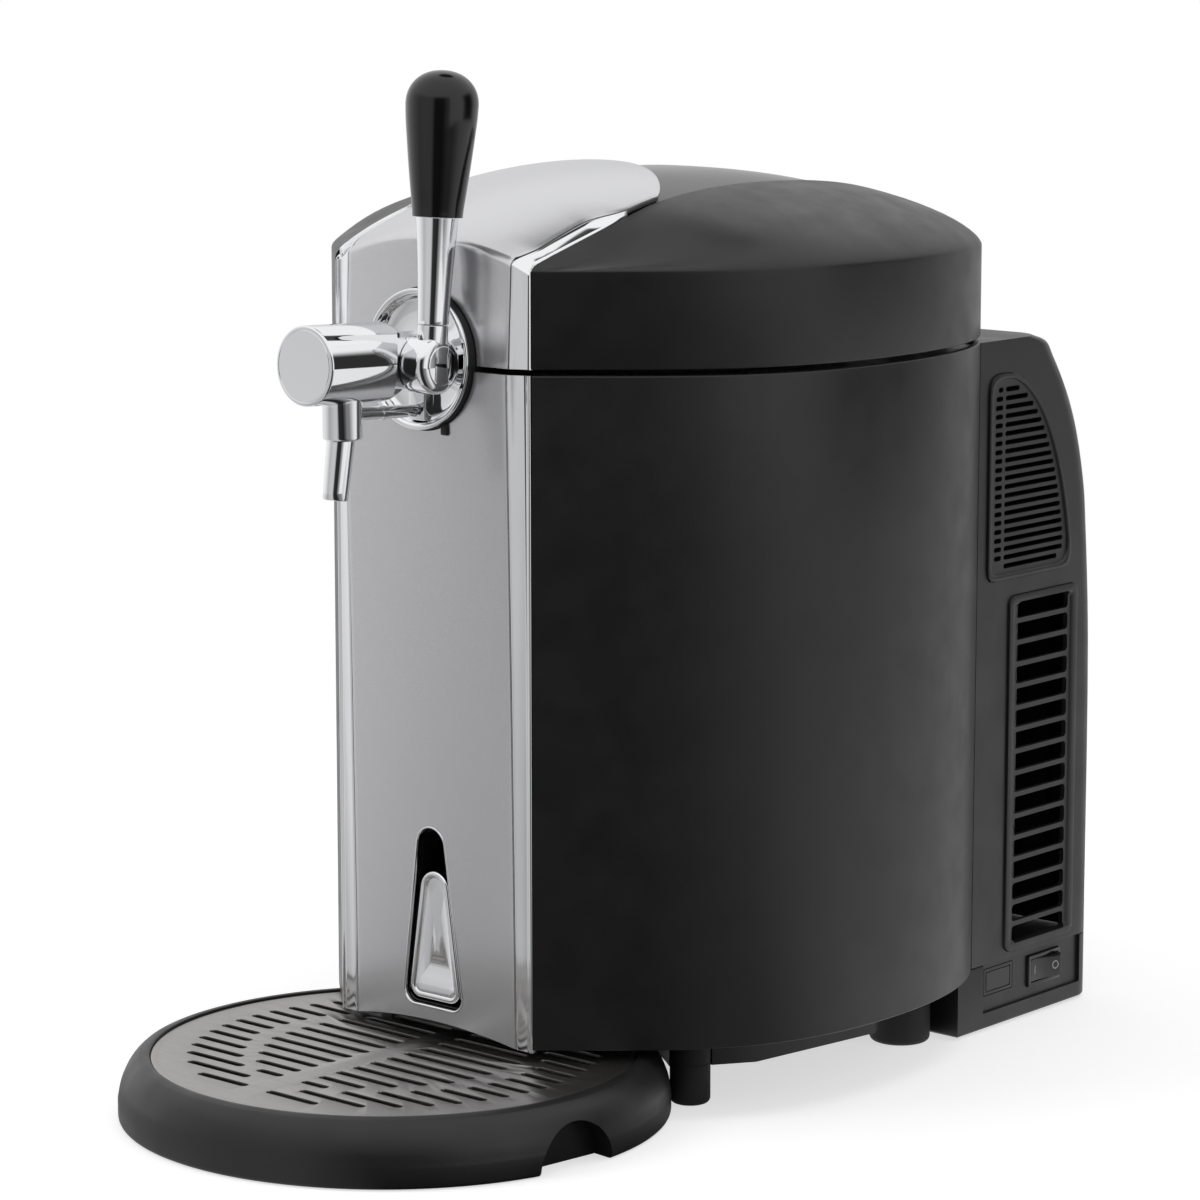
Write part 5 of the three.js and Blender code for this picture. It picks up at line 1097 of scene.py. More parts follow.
def make_rocker():
    """The switch's rocker with a ring on one half and a bar on the other."""
    u, v, width, height = BEZEL
    middle = Matrix.Translation((u + width / 2, v + height / 2, -2.8))
    pivot = side_place() @ middle @ Matrix.Rotation(-math.radians(7), 4, "Y")
    half = width / 2 - BEZEL_WALL - 0.6
    tall = height / 2 - BEZEL_WALL - GAP
    dip = ((-1, 1.1), (-0.5, 0.42), (0, 0.1), (0.5, 0.42), (1, 1.1))
    profile = smooth_path([(half * share, rise + 2.5) for share, rise in dip], 6)
    profile += [(half * 0.92, -1.4), (-half * 0.92, -1.4)]
    rocker = prisms("switch_rocker_cap", [profile[::-1]], pivot @ ALONG_Y, -tall, tall)
    soften(rocker, 0.25, 2, 50)
    fit(rocker, ROCKER, "gloss_black", ["switch_rocker"], 35)

    lean = math.atan2(0.68, half * 0.5)
    sunk, proud = -0.3, 0.16
    wings = [
        pivot @ Matrix.Translation((side * half * 0.68, 0, 3.12)) @ Matrix.Rotation(-side * lean, 4, "Y")
        for side in (1, -1)
    ]
    fit(ring_mark(2.0, 1.5, sunk, proud, wings[0]), ROCKER, "pale_plastic", [], 40)
    bar = prisms("rocker_bar_mark", [rounded_box(-0.25, -2.0, 0.5, 4.0, 0.2, 3)], wings[1], sunk, proud)
    fit(bar, ROCKER, "pale_plastic", [], 40)


# Tower and grilles


def tower_rear_path():
    """Rear place and height up the tower, which sweeps forward toward its top."""
    rise_shares = (0, 0.48, 0.715, 0.774, 0.836, 0.884, 0.924, 0.962, 0.986, 1)
    sweep_shares = (0, 0.014, 0.11, 0.17, 0.27, 0.385, 0.515, 0.664, 0.77, 1)
    rear, sweep = mm("keg_tower", "rear"), 52.6
    knots = [
        (rear - sweep * forward, FOOT_Z + (TOWER_TOP_Z - FOOT_Z) * rise)
        for rise, forward in zip(rise_shares, sweep_shares)
    ]
    return smooth_path(knots, 6)


def upper_outline(distance):
    left, foot, width, height = UPPER_GRILLE
    corner = [(0.0, 0.12), (0.0, 0.06), (0.012, 0.022), (0.04, 0.005), (0.09, 0.0)]
    right = [(0.88, 0.0), (0.95, 0.008), (0.982, 0.03), (0.995, 0.07)]
    sweep = cubic((0.995, 0.12), (0.93, 0.44), (0.72, 0.9), (0.27, 0.995), 28)
    top = [(0.16, 1.0), (0.09, 0.995), (0.04, 0.98), (0.01, 0.95), (0.0, 0.9)]
    return [
        (left + distance + (width - 2 * distance) * u, foot + distance + (height - 2 * distance) * v)
        for u, v in corner + right + sweep + top
    ]


def lower_outline(distance):
    return box_inside(LOWER_GRILLE, distance, max(5 - distance, 1.5), 8)


def framed_plate(name, outline_at, levels):
    """A plate whose outline follows a list of insets and heights."""
    rings = [[(u, v, w) for u, v in outline_at(distance)] for distance, w in levels]
    return skin_rings(name, rings, side_place())


def louvre_bars():
    """The upper grille's openings: each runs across its outline and is parted by a post."""
    inner = upper_outline(6.2)
    louvres = bpy.context.scene.keg_tower.louvres
    first, run, half_height = UPPER_GRILLE[1] + 6.5, 82.0, 1.15
    post_left, post_right, shortest = 21.5, 23.5, 3
    bars = []
    for i in range(louvres):
        z = first + run * i / (louvres - 1)
        crossings = []
        for (u0, v0), (u1, v1) in zip(inner, inner[1:] + inner[:1]):
            if (v0 - z) * (v1 - z) < 0:
                crossings.append(u0 + (u1 - u0) * (z - v0) / (v1 - v0))
        if len(crossings) < 2:
            continue
        start, stop = min(crossings), max(crossings)
        for left, right in ((start, min(post_left, stop)), (post_right, stop)):
            if right - left > shortest:
                bars.append(rounded_box(left, z - half_height, right - left, 2 * half_height, half_height, 5))
    return bars


def make_grilles():
    rim = [
        (0.3, -2.5), (0.3, 0.75), (0.45, 1.05), (0.8, 1.2), (1.9, 1.2), (2.5, 1.05), (2.9, 0.6), (3.2, 0.0),
        (4.4, -0.12),
    ]
    upper = framed_plate("upper_grille_face", upper_outline, rim)
    cut(upper, on_side("upper_louvres", louvre_bars(), -7, 5))
    fit_pair(upper, CABINET, "satin_black", "upper_grille", 32)

    rim = [
        (0.3, -2.5), (0.3, 0.75), (0.5, 1.08), (0.9, 1.2), (3.6, 1.2), (4.3, 1.05), (4.9, 0.5), (5.3, 0.0),
        (6.2, -0.1),
    ]
    lower = framed_plate("lower_grille_face", lower_outline, rim)
    left, foot, width, height = LOWER_GRILLE
    count, pitch, slot_width, slot_height = 16, 10.3, 43, 8
    first = foot + (height - ((count - 1) * pitch + slot_height)) / 2
    start = left + (width - slot_width) / 2
    slots = [rounded_box(start, first + i * pitch, slot_width, slot_height, 2.0, 5) for i in range(count)]
    cut(lower, on_side("lower_slots", slots, -7, 5))
    fit_pair(lower, CABINET, "satin_black", "lower_grille", 32)


def cover_screw_places():
    corners = ((-1, -1), (1, -1), (-1, 1), (1, 1))
    return [(x * SCREW_SPREAD, COOLER_Z + z * SCREW_SPREAD) for x, z in corners]


def make_tower():
    rear = mm("keg_tower", "rear")
    path = tower_rear_path()
    tower = skin_rings("tower_cover_moulding", [at_height(tower_outline(rear_y, 0), z) for rear_y, z in path])
    soften(tower, 1.8, 4, 55)
    inner = []
    for i, (rear_y, z) in enumerate(path):
        below = OVER if i == 0 else 0
        roof = TOWER_WALL * (z - FOOT_Z) / (TOWER_TOP_Z - FOOT_Z)
        inner.append(at_height(tower_outline(rear_y, TOWER_WALL), z - below - roof))
    cut(tower, skin_rings("tower_hollow", inner))
    outer = skin_rings("tower_outer", [at_height(tower_outline(rear_y, 0.05), z) for rear_y, z in path])
    seat = COVER_Y - GAP
    half = COVER[2] / 2 + GAP + TOWER_WALL
    ledge = block("tower_ledge", -half, half, seat - OVER, seat + 2, COOLER_Z - half, COOLER_Z + half)
    keep_common(ledge, outer)
    join(tower, ledge)
    body = body_fill("tower_body_room", -GAP, FOOT_Z - OVER, 329)
    recess = across_y("tower_recess", [box_inside(COVER, -GAP, 1.5)], seat, rear + OVER)
    half = 68
    hole = block("tower_hole", -half, half, 230, rear + OVER, COOLER_Z - half, COOLER_Z + half)
    cut(tower, body, recess, hole)
    for x, z in cover_screw_places():
        cut(tower, rod_y("tower_screw_hole", x, z, SCREW_HOLE, 230, rear, 20))
    for outline in (upper_outline(0), lower_outline(0)):
        opening = on_side("tower_opening", [outline], -7, 5)
        cut(tower, opening, mirrored(opening, "tower_opening_left"))
    fit(tower, CABINET, "satin_black", ["tower_cover"], 32)


def make_rear_cover():
    rings = []
    for distance, depth in ((0.0, 0.0), (0.0, 1.6), (0.18, 2.02), (0.6, 2.2)):
        rings.append([(x, COVER_Y + depth, z) for x, z in box_inside(COVER, distance, 1.4)])
    plate = skin_rings("rear_cover_plate", rings)
    fan_radius, pitch, slot_half = 46, 9, 2.5
    slots = []
    for row in range(-4, 5):
        rise = row * pitch
        half = math.sqrt(fan_radius ** 2 - rise ** 2)
        slots.append(rounded_box(-half, COOLER_Z + rise - slot_half, 2 * half, 2 * slot_half, slot_half, 8))
    holes = [disc(x, z, SCREW_HOLE, 20) for x, z in cover_screw_places()]
    for name, outlines in (("rear_slots", slots), ("rear_screw_holes", holes)):
        cut(plate, across_y(name, outlines, COVER_Y - OVER, COVER_Y + 6))
    fit(plate, CABINET, "satin_black", ["rear_cover"], 32)


def make_cover_screws():
    head = COVER_Y + 2.5
    profile = [
        (0, -5), (1.0, -5), (1.4, -4.4), (1.4, 0), (3.0, 0), (3.0, 0.35), (2.75, 0.75), (2.2, 1.02),
        (1.4, 1.17), (0, 1.2),
    ]
    for number, (x, z) in enumerate(cover_screw_places(), 1):
        place = Matrix.Translation((x, head, z)) @ ALONG_TAP
        screw = turn_profile(f"cover_screw_head_{number}", profile, 40, place)
        for name, width, height in (("screw_cross", 3.2, 0.6), ("screw_cross_two", 0.6, 3.2)):
            outline = rounded_box(x - width / 2, z - height / 2, width, height, 0.1, 2)
            cut(screw, across_y(name, [outline], head + 0.4, head + 3))
        fit(screw, CABINET, "zinc_steel", [f"cover_screw_{number}"], 30)


def make_heat_sink():
    half, foot, top = 88, 62, 200
    sink = block("heat_sink_fins", -half, half, 174.9, 179.5, foot, top)
    fin_half, count = 0.6, 36
    reach = half - fin_half
    fins = []
    for i in range(count):
        x = -reach + 2 * reach * i / (count - 1)
        fins.append([(x - fin_half, 179), (x + fin_half, 179), (x + fin_half, 203.5), (x - fin_half, 203.5)])
    join(sink, prisms("sink_fins", fins, ALONG_Z, foot, top))
    fit(sink, CABINET, "bright_aluminium", ["heat_sink"], 30)


# Drip tray and plate


def make_tray():
    radius = mm("keg_tray", "radius")
    rim = mm("keg_tray", "rim")
    reach = radius - rim
    shoulder, rise_height, rim_z = 9, 19, 28.0
    knots = [(radius, 9.0)]
    for inward, upward in ((0.13, 0.36), (0.42, 0.72), (0.76, 0.94)):
        knots.append((radius - inward * reach, shoulder + rise_height * upward))
    knots.append((rim, rim_z))
    profile = [(0, 0.0), (radius - 3.0, 0.0)]
    profile += [(radius - 2.2 * (1 - rise), 2.2 * back) for rise, back in quarter(5)[1:]]
    profile += smooth_path(knots, 8)
    profile += [
        (rim - 1.3, rim_z), (rim - 2.0, 27.85), (rim - 2.4, 27.4), (106.5, 26.9), (106.5, 25.2),
        (103.0, 25.2), (103.0, 2.5), (0, 2.5),
    ]
    place = Matrix.Translation((0, TRAY_Y, 0))
    tray = turn_profile("drip_tray_bowl", profile, 240, place)
    for degrees in (-5.5, 185.5):
        turn = place @ Matrix.Rotation(math.radians(degrees), 4, "Z")
        cut(tray, prisms("tray_scoop", [disc(0, 0, 20, 96)], turn @ ALONG_X, radius - 13, radius + OVER))
    fit(tray, TRAY, "tray_black", ["drip_tray"], 30)


def plate_slots():
    """Rows of short slots, one or two on each side of the plate's whole middle line."""
    width = mm("keg_tray", "slot")
    pitch, field_radius, bridge_half, gap, shortest = 10.3, 90, 6.3, 9, 8
    slots = []
    for row in range(-8, 9):
        rise = row * pitch
        outer = math.sqrt(field_radius ** 2 - rise ** 2)
        start = max(bridge_half, outer - (23 + 3 * max(0, abs(row) - 2)))
        spans = [(start, outer)]
        if start - gap - bridge_half > shortest:
            spans.append((bridge_half, start - gap))
        for low, high in spans:
            for left, right in ((low, high), (-high, -low)):
                slots.append(rounded_box(left, TRAY_Y + rise - width / 2, right - left, width, width / 2, 8))
    return slots


def make_drip_plate():
    radius = mm("keg_tray", "plate")
    profile = [
        (0, 25.5), (radius - 0.2, 25.5), (radius, 25.7), (radius, 26.6), (radius - 0.12, 26.86),
        (radius - 0.45, 27.0), (radius - 2.4, 27.0), (radius - 2.9, 26.8), (radius - 3.4, 26.8), (0, 26.8),
    ]
    plate = turn_profile("drip_plate_sheet", profile, 240, Matrix.Translation((0, TRAY_Y, 0)))
    cut(plate, prisms("plate_slots", plate_slots(), ALONG_Z, 21, 31))
    soften(plate, 0.38, 2, 60)
    fit(plate, TRAY, "brushed_plate", ["drip_plate"], 30)


# Tap


def turned_on_tap(name, profile):
    return turn_profile(name, profile, 128, tap_place() @ ALONG_TAP)


def tap_profile():
    """The tap's casting from its shank over the flange and along the barrel to its front end."""
    radius = mm("keg_tap", "barrel")
    reach = mm("keg_tap", "reach")
    neck, shoulder, barrel_start = 12.3, 28 - 12.3, 28
    profile = [
        (0, 31), (11.7, 31), (11.7, 2.5), (28.5, 2.5), (28.5, -3.4), (30.3, -3.4), (30.4, -3.6), (30.4, -4.2),
    ]
    profile += [(30.4 - 1.0 * back, -4.2 - 0.9 * rise) for rise, back in quarter(5)[1:]]
    profile += [
        (28.6, -5.0), (27.9, -4.5), (27.3, -3.2), (26.9, -1.6), (26.4, -0.3), (25.4, 0.5), (24.0, 0.9),
        (22.0, 1.15), (18.9, 1.3), (13.6, 1.3), (12.7, 1.0), (neck, 0.2), (neck, -shoulder + 1.5),
    ]
    for i in range(13):
        t = i / 12
        profile.append((neck + (radius - neck) * ease(t), -shoulder - (barrel_start - shoulder) * t))
    profile += [(radius, -reach + 1.2)]
    profile += [(radius - 1.1 * back, -reach + 1.1 - 1.1 * rise) for rise, back in quarter(6)[1:]]
    profile += [
        (radius - 1.6, -reach), (radius - 1.75, -reach + 0.12), (radius - 1.95, -reach + 0.12),
        (radius - 2.1, -reach), (0, -reach),
    ]
    return profile


def make_tap():
    radius = mm("keg_tap", "barrel")
    casting = turned_on_tap("tap_body_casting", tap_profile())
    cheek, hub_radius = 10.7, 12.9
    scallop = rod_x("tap_scallop", HUB_Y, HUB_Z, 19.5, cheek, radius + OVER, 128)
    keep_common(scallop, block("scallop_half", 0, 25, -150, HUB_Y, 300, 356))
    hub_room = rod_x("tap_hub_room", HUB_Y, HUB_Z, hub_radius, cheek, 28.5, 96)
    cut(casting, scallop, hub_room)
    boss = turn_profile(
        "tap_boss", [(0, -3), (12.3, -3), (12.3, 10.2), (12.0, 10.55), (11.5, cheek), (0, cheek)], 96,
        Matrix.Translation((0, HUB_Y, HUB_Z)) @ Matrix.Rotation(math.pi / 2, 4, "Y"),
    )
    axle = rod_x("tap_axle", HUB_Y, HUB_Z, 4, 0, 20, 32)
    lug = block("tap_lug", -5, 5, -109.5, -103.8, 302, 318)
    soften(lug, 0.8, 3, 50)
    join(casting, boss, axle, lug)
    fit(casting, CABINET, "chrome_tap", ["tap_body"], 34)


def make_gasket():
    ring = turned_on_tap("tap_gasket_ring", [
        (12, 2.8), (28.8, 2.8), (28.8, -3.1), (30.2, -3.1), (30.5, -2.8), (30.5, 4.55), (30.4, 4.85),
        (30.1, 5.0), (12, 5.0), (12, 2.8),
    ])
    tab = block("gasket_tab", 11.9, 15.3, -107.2, -100.0, 296.6, 301.5)
    soften(tab, 0.4, 2, 50)
    join(ring, tab)
    fit(ring, CABINET, "seal_rubber", ["tap_gasket"], 34)


def make_spout():
    barrel = mm("keg_tap", "barrel")
    foot, top, radius, tip, bore = 298.0, 322, 8.4, 1.1, 3.9
    profile = [(0, foot), (6.6, foot), (7.3, foot)]
    profile += [(radius - tip * (1 - rise), foot + tip * back) for rise, back in quarter(5)[1:]]
    profile += [(radius, top), (0, top)]
    collar = turn_profile("spout_collar_sleeve", profile, 96, Matrix.Translation((0, SPOUT_Y, 0)))
    room = [(0, -75), (barrel + 0.05, -75), (barrel + 0.05, -28), (0, -28)]
    cut(collar, turned_on_tap("collar_barrel_room", room))
    cut(collar, rod_z("collar_bore", 0, SPOUT_Y, bore, 294, 312, 32))
    fit(collar, CABINET, "chrome_tap", ["spout_collar"], 34)

    mouth_z = 297.7
    place = Matrix.Translation((0, -154.9, mouth_z)) @ Matrix.Rotation(-math.radians(8.2), 4, "X")
    profile = [
        (0, -25.5), (4.5, -25.5), (5.1, -25.35), (5.4, -24.9), (5.45, -22.0), (5.75, -12), (6.0, 0), (6.0, 4),
        (0, 4),
    ]
    nozzle = turn_profile("spout_nozzle_tube", profile, 96, place)
    cut(nozzle, prisms("nozzle_bore", [disc(0, 0, bore, 48)], place, -29.5, -7.5))
    cut(nozzle, block("nozzle_trim", -12, 12, -172, -138, mouth_z, 306))
    fit(nozzle, CABINET, "chrome_tap", ["spout_nozzle"], 34)

    start = Vector((0, SPOUT_Y, 308.4))
    end = Vector((0, -109.8, 306.4))
    pipe, band = 2.8, 3.1
    rings = []
    for share, width in ((0.0, pipe), (0.5, pipe), (0.503, band), (0.56, band), (0.563, pipe), (1.0, pipe)):
        middle = start + (end - start) * share
        rings.append([(middle.x + u, middle.y, middle.z + v) for u, v in disc(0, 0, width, 40)])
    tube = skin_rings("bypass_tube_pipe", rings)
    cut(tube, rod_z("tube_collar_room", 0, SPOUT_Y, radius + 0.05, foot, 328, 96))
    fit(tube, CABINET, "chrome_tap", ["bypass_tube"], 34)


def lever_place():
    lean = bpy.context.scene.keg_tap.lean
    return Matrix.Translation((0, HUB_Y, HUB_Z)) @ Matrix.Rotation(-lean, 4, "X")


def make_lever():
    place = lever_place()
    inner, outer, crown, neck = 4.3, 12.5, 4.1, 20.6
    profile = [(inner, 11), (12.2, 11), (outer, 11.3), (outer, neck)]
    profile += [(outer - crown * back, neck + crown * rise) for rise, back in quarter(10)[1:]]
    profile += [(8.2, 24.9), (7.9, 25.0), (0, 25.0), (0, 20.3), (inner, 20.3), (inner, 11)]
    hub = turn_profile("lever_hub_casting", profile, 96, place @ Matrix.Rotation(math.pi / 2, 4, "Y"))
    ferrule = turn_profile("lever_ferrule", [
        (0, 6), (6.7, 6), (6.7, 16.5), (6.6, 16.85), (6.3, 17.0), (0, 17.0),
    ], 72, place @ Matrix.Translation((LEVER_X, 0, 0)))
    join(hub, ferrule)
    fit(hub, LEVER, "chrome_tap", ["lever_hub"], 34)

    base, top = 17.3, 62.2
    height = top - base
    profile = [(0, 0), (6.4, 0), (6.65, 0.12), (6.7, 0.4)]
    for i in range(1, 25):
        t = i / 24
        profile.append((6.7 + 2.3 * (t ** 1.45), height * t))
    profile += [(0, height)]
    rod = turn_profile("lever_rod_stem", profile, 96, place @ Matrix.Translation((LEVER_X, 0, base)))
    fit(rod, LEVER, "chrome_tap", ["lever_rod"], 34)
    make_knob(place @ Matrix.Translation((LEVER_X, 0, top + GAP)))


def make_knob(place):
    """A grip that widens up to its shoulder and closes in a dome."""
    widest = mm("keg_tap", "knob")
    tall = mm("keg_tap", "knob_length")
    shoulder, power = 0.765, 0.93
    shares = [
        (0.69, 0), (0.71, 0.06), (0.78, 0.2), (0.855, 0.36), (0.922, 0.52), (0.98, 0.67), (1.0, shoulder),
    ]
    curve = smooth_path([(widest * r, tall * h) for r, h in shares], 6)
    profile = [(0, 0), (widest * 0.67, 0), (widest * 0.69, 0.12)] + curve[1:]
    for i in range(1, 17):
        angle = math.pi / 2 * i / 16
        across = max(math.cos(angle), 0) ** power
        profile.append((widest * across, tall * (shoulder + 0.235 * math.sin(angle) ** power)))
    profile[-1] = (0, tall)
    knob = turn_profile("lever_knob_grip", profile, 96, place)
    fit(knob, LEVER, "gloss_black", ["lever_knob"], 30)


# Lid


# Heights of the tongue's edge and middle at the crease and at its tip, and of the bands' bend
EDGE_START_Z, EDGE_END_Z = 372.5, 401.0
MIDDLE_START_Z, MIDDLE_END_Z = 381.5, 407.8
BAND_BEND_Z = 368.5
# Where the tongue ends, where its tip starts, and where the bands' outer edges turn nearly straight
TONGUE_END_Y = 12.0
TIP_Y, TIP_LENGTH = -24.0, 36.0
CREST_Y, CREST_X = -62.0, 62.9
# The panel's back, and the hollow under the dome
PANEL_BACK_Y = -98.2
CAVITY_Z, CAVITY_TOP_Z = 366.0, 379.5


def front_drop(share, y):
    """How much lower the dome lies along its front."""
    return 2.0 * (1 - share ** 24) * ease((y + 101) / 10) * ease((-25 - y) / 30)


def dome_z(share, y):
    share = min(share, 1)
    bulge = (1 - share ** 2) ** 0.65
    return mm("keg_lid", "wall_top") + mm("keg_lid", "rise") * bulge - front_drop(share, y)


def scaled(points, share):
    return [(x * share, WIDEST_Y + (y - WIDEST_Y) * share) for x, y in points]


PLAN_CACHE = {}


def plan_share(x, y):
    """How far out a place lies, from nothing at the middle to one on the lid's outline."""
    if "lid" not in PLAN_CACHE:
        PLAN_CACHE["lid"] = lid_outline()
    outline = PLAN_CACHE["lid"]
    dx, dy = x, y - WIDEST_Y
    nearest = None
    for (ax, ay), (bx, by) in zip(outline, outline[1:] + outline[:1]):
        ey, ex = by - ay, bx - ax
        turn = dx * ey - dy * ex
        if abs(turn) < 1e-9:
            continue
        along = (ax * ey - (ay - WIDEST_Y) * ex) / turn
        place = (ax * dy - (ay - WIDEST_Y) * dx) / turn
        if along > 0 and -0.001 <= place <= 1.001 and (nearest is None or along < nearest):
            nearest = along
    return 1 / nearest if nearest else 0.0


def tongue_rise(y):
    share = min(max((y - LID_TOP_Y) / (TONGUE_END_Y - LID_TOP_Y), 0), 1)
    return 1 - (1 - share) ** 1.6


def tongue_edge_z(y):
    return EDGE_START_Z + (EDGE_END_Z - EDGE_START_Z) * tongue_rise(y)


def tongue_middle_z(y):
    return MIDDLE_START_Z + (MIDDLE_END_Z - MIDDLE_START_Z) * tongue_rise(y)


def tongue_full_half(y):
    """The tongue's half width before its round tip."""
    narrow = PANEL_HALF + 4.2 * ease((y - LID_TOP_Y) / 13.8)
    return narrow + (crest_x(y) - 0.8 - narrow) * ease((y - CREST_Y) / 18)


def tongue_half(y):
    into = (y - TIP_Y) / TIP_LENGTH
    if into <= 0:
        return tongue_full_half(y)
    return tongue_full_half(y) * max(1 - min(into, 1) ** 1.15, 0) ** 0.5


def tongue_top(x, y):
    share = x / tongue_full_half(y)
    return tongue_edge_z(y) + (tongue_middle_z(y) - tongue_edge_z(y)) * (1 - share * share)


def tongue_rows():
    """Places along the tongue, closer together in its tip."""
    steps, tip_steps, first = 22, 16, -99.6
    rows = [first + (TIP_Y - first) * i / steps for i in range(steps + 1)]
    return rows + [
        TIP_Y + TIP_LENGTH * math.sin(math.pi / 2 * i / tip_steps) for i in range(1, tip_steps + 1)
    ]


def crest_x(y):
    """Half the distance between the two bands' outer edges."""
    if y < CREST_Y:
        share = max((y - CORNER_Y) / (CREST_Y - CORNER_Y), 0)
        return CORNER_X + (CREST_X - CORNER_X) * math.sin(math.pi / 2 * share)
    return CREST_X + (VALLEY_HALF - CREST_X) * ease((y + 58) / 36)


def flank_drop(x, y, share):
    """How much flatter the dome is beside the bands than its round shoulder."""
    if abs(x) <= crest_x(y) or not CORNER_Y < y < -20:
        return 0.0
    crest = plan_share(crest_x(y), y)
    into = (share - crest) / (1 - crest)
    return 2.5 * 4 * into * (1 - into) * ease((y + 101) / 14) * ease((-20 - y) / 45)


def lid_skin_rows(shares):
    """Rows of points up the lid's front, round its crease and back along the tongue."""
    half = PANEL_HALF - GAP
    round_z, round_y = 3.0, 3.3
    crease_foot = EDGE_START_Z - round_z - 2.2
    rows = []
    for i in range(13):
        row = []
        for share in shares:
            x = half * share
            top = tongue_top(x, LID_TOP_Y) - round_z
            z = LID_FOOT + (top - LID_FOOT) * i / 12
            row.append((x, lid_panel_y(min(z, crease_foot)) - PANEL_BULGE * (1 - share * share), z))
        rows.append(row)
    for rise, back in quarter(8)[1:]:
        row = []
        for share in shares:
            x = half * share
            y = lid_panel_y(crease_foot) - PANEL_BULGE * (1 - share * share) + round_y * back
            row.append((x, y, tongue_top(x, max(y, LID_TOP_Y)) - round_z * (1 - rise)))
        rows.append(row)
    start = lid_panel_y(crease_foot) + round_y
    for y in tongue_rows():
        if y <= start + 1.0:
            continue
        fade = max(1 - (y - start) / 25, 0)
        width = max(tongue_half(y) - GAP, 0.4)
        row = []
        for share in shares:
            x = width * share
            here = y - PANEL_BULGE * (1 - share * share) * fade
            row.append((x, here, tongue_top(x, here)))
        rows.append(row)
    return rows


def make_lid_skin():
    """The lid's front panel, its crease and the tongue, as one bent sheet."""
    rows = lid_skin_rows([2 * i / SHEET_STEPS - 1 for i in range(SHEET_STEPS + 1)])
    count = SHEET_STEPS + 1
    faces = []
    for k in range(len(rows) - 1):
        for i in range(count - 1):
            a = k * count + i
            faces.append((a, a + 1, a + 1 + count, a + count))
    skin = raise_piece("lid_front_skin_sheet", [point for row in rows for point in row], faces)
    inward = -1.0 if skin.data.polygons[0].normal.y < 0 else 1.0
    thickness = mm("keg_lid", "skin") * MM
    settle(skin, "SOLIDIFY", thickness=thickness, offset=inward, use_even_offset=True)
    soften(skin, 0.45, 3, 60)
    cut_sheet(skin, tap_bore("skin_notch", TAP_NOTCH, -110, -94))
    fit(skin, LID, "satin_silver", ["lid_front_skin"], 40)


def band_section():
    """Shares across a band and heights above its face."""
    bead = mm("keg_lid", "bead")
    return [
        (0.0, -0.5), (0.02, -0.2), (0.05, -0.08), (0.2, -0.35), (0.35, -0.6), (0.5, -0.78), (0.65, -0.85),
        (0.78, -0.82), (0.83, -0.95), (0.855, -0.7), (0.88, bead * 0.3), (0.915, bead), (0.95, bead * 0.85),
        (0.985, bead * 0.2), (1.0, -0.4),
    ]


def make_lid_bands():
    """Each band rises beside the lid's panel, bends over and runs back beside the tongue."""
    section = band_section()
    thick = mm("keg_lid", "band")
    radius = 2.6
    rings = []

    def ring_at(place, tilt, depth, hollow=1.0):
        normal = Vector((0, -math.cos(tilt), math.sin(tilt)))
        points = []
        for share, height in section:
            points.append(place(share) + normal * height * (hollow if 0.05 < share < 0.84 else 1.0))
        for share in (1.0, 0.0):
            points.append(place(share) - normal * depth)
        return [tuple(point) for point in points]

    def upright(share, z):
        inner_y = lid_panel_y(min(z, BAND_BEND_Z))
        y = inner_y + (CORNER_Y - inner_y) * share
        return Vector((PANEL_HALF + (CORNER_X - PANEL_HALF) * share, y, z))

    def crown(share, y):
        inner = tongue_full_half(y) + GAP
        outer = crest_x(y) - GAP
        inner_z = tongue_edge_z(y)
        outer_z = dome_z(plan_share(crest_x(y), y), y)
        return Vector((inner + (outer - inner) * share, y, inner_z + (outer_z - inner_z) * share))

    def pivot(share):
        top = crown(share, CORNER_Y)
        foot = upright(share, BAND_BEND_Z)
        return Vector((foot.x, foot.y + radius, top.z - radius))

    def rising(share, mix):
        end = pivot(share)
        low = upright(share, LID_FOOT)
        y = low.y + (end.y - radius - low.y) * mix
        return Vector((low.x, y, LID_FOOT + (end.z - LID_FOOT) * mix))

    def bending(share, tilt):
        return pivot(share) + Vector((0, -math.cos(tilt), math.sin(tilt))) * radius

    for i in range(11):
        rings.append(ring_at(lambda share, mix=i / 10: rising(share, mix), 0.0, 2.8))
    for i in range(1, 8):
        tilt = math.pi / 2 * i / 8
        rings.append(ring_at(lambda share, tilt=tilt: bending(share, tilt), tilt, thick * 0.9))
    rows = 44
    first = CORNER_Y + radius
    for i in range(rows + 1):
        y = first + (BAND_END_Y - first) * (i / rows) ** 1.15
        hollow = 1 + 0.9 * ease((y + 96) / 12) * ease((BAND_END_Y - 6 - y) / 14)
        rings.append(ring_at(lambda share, y=y: crown(share, y), math.pi / 2, thick, hollow))
    fit_pair(skin_rings("lid_band_chrome", rings), LID, "chrome_trim", "lid_trim", 50)


def band_room():
    """What is cut from the shell under the bands and the tongue between them."""
    rows = 60
    rings = []
    for i in range(rows + 1):
        y = CORNER_Y + (BAND_END_Y + GAP - CORNER_Y) * (i / rows) ** 1.15
        outer = crest_x(y)
        full = tongue_full_half(y)
        edge = tongue_edge_z(y) - SHELL_ROOM
        outer_z = dome_z(plan_share(outer, y), y) - SHELL_ROOM
        rings.append([
            (outer, y, ABOVE_Z), (-outer, y, ABOVE_Z), (-outer, y, outer_z), (-full, y, edge),
            (full, y, edge), (outer, y, outer_z),
        ])
    return skin_rings("lid_band_room", rings)


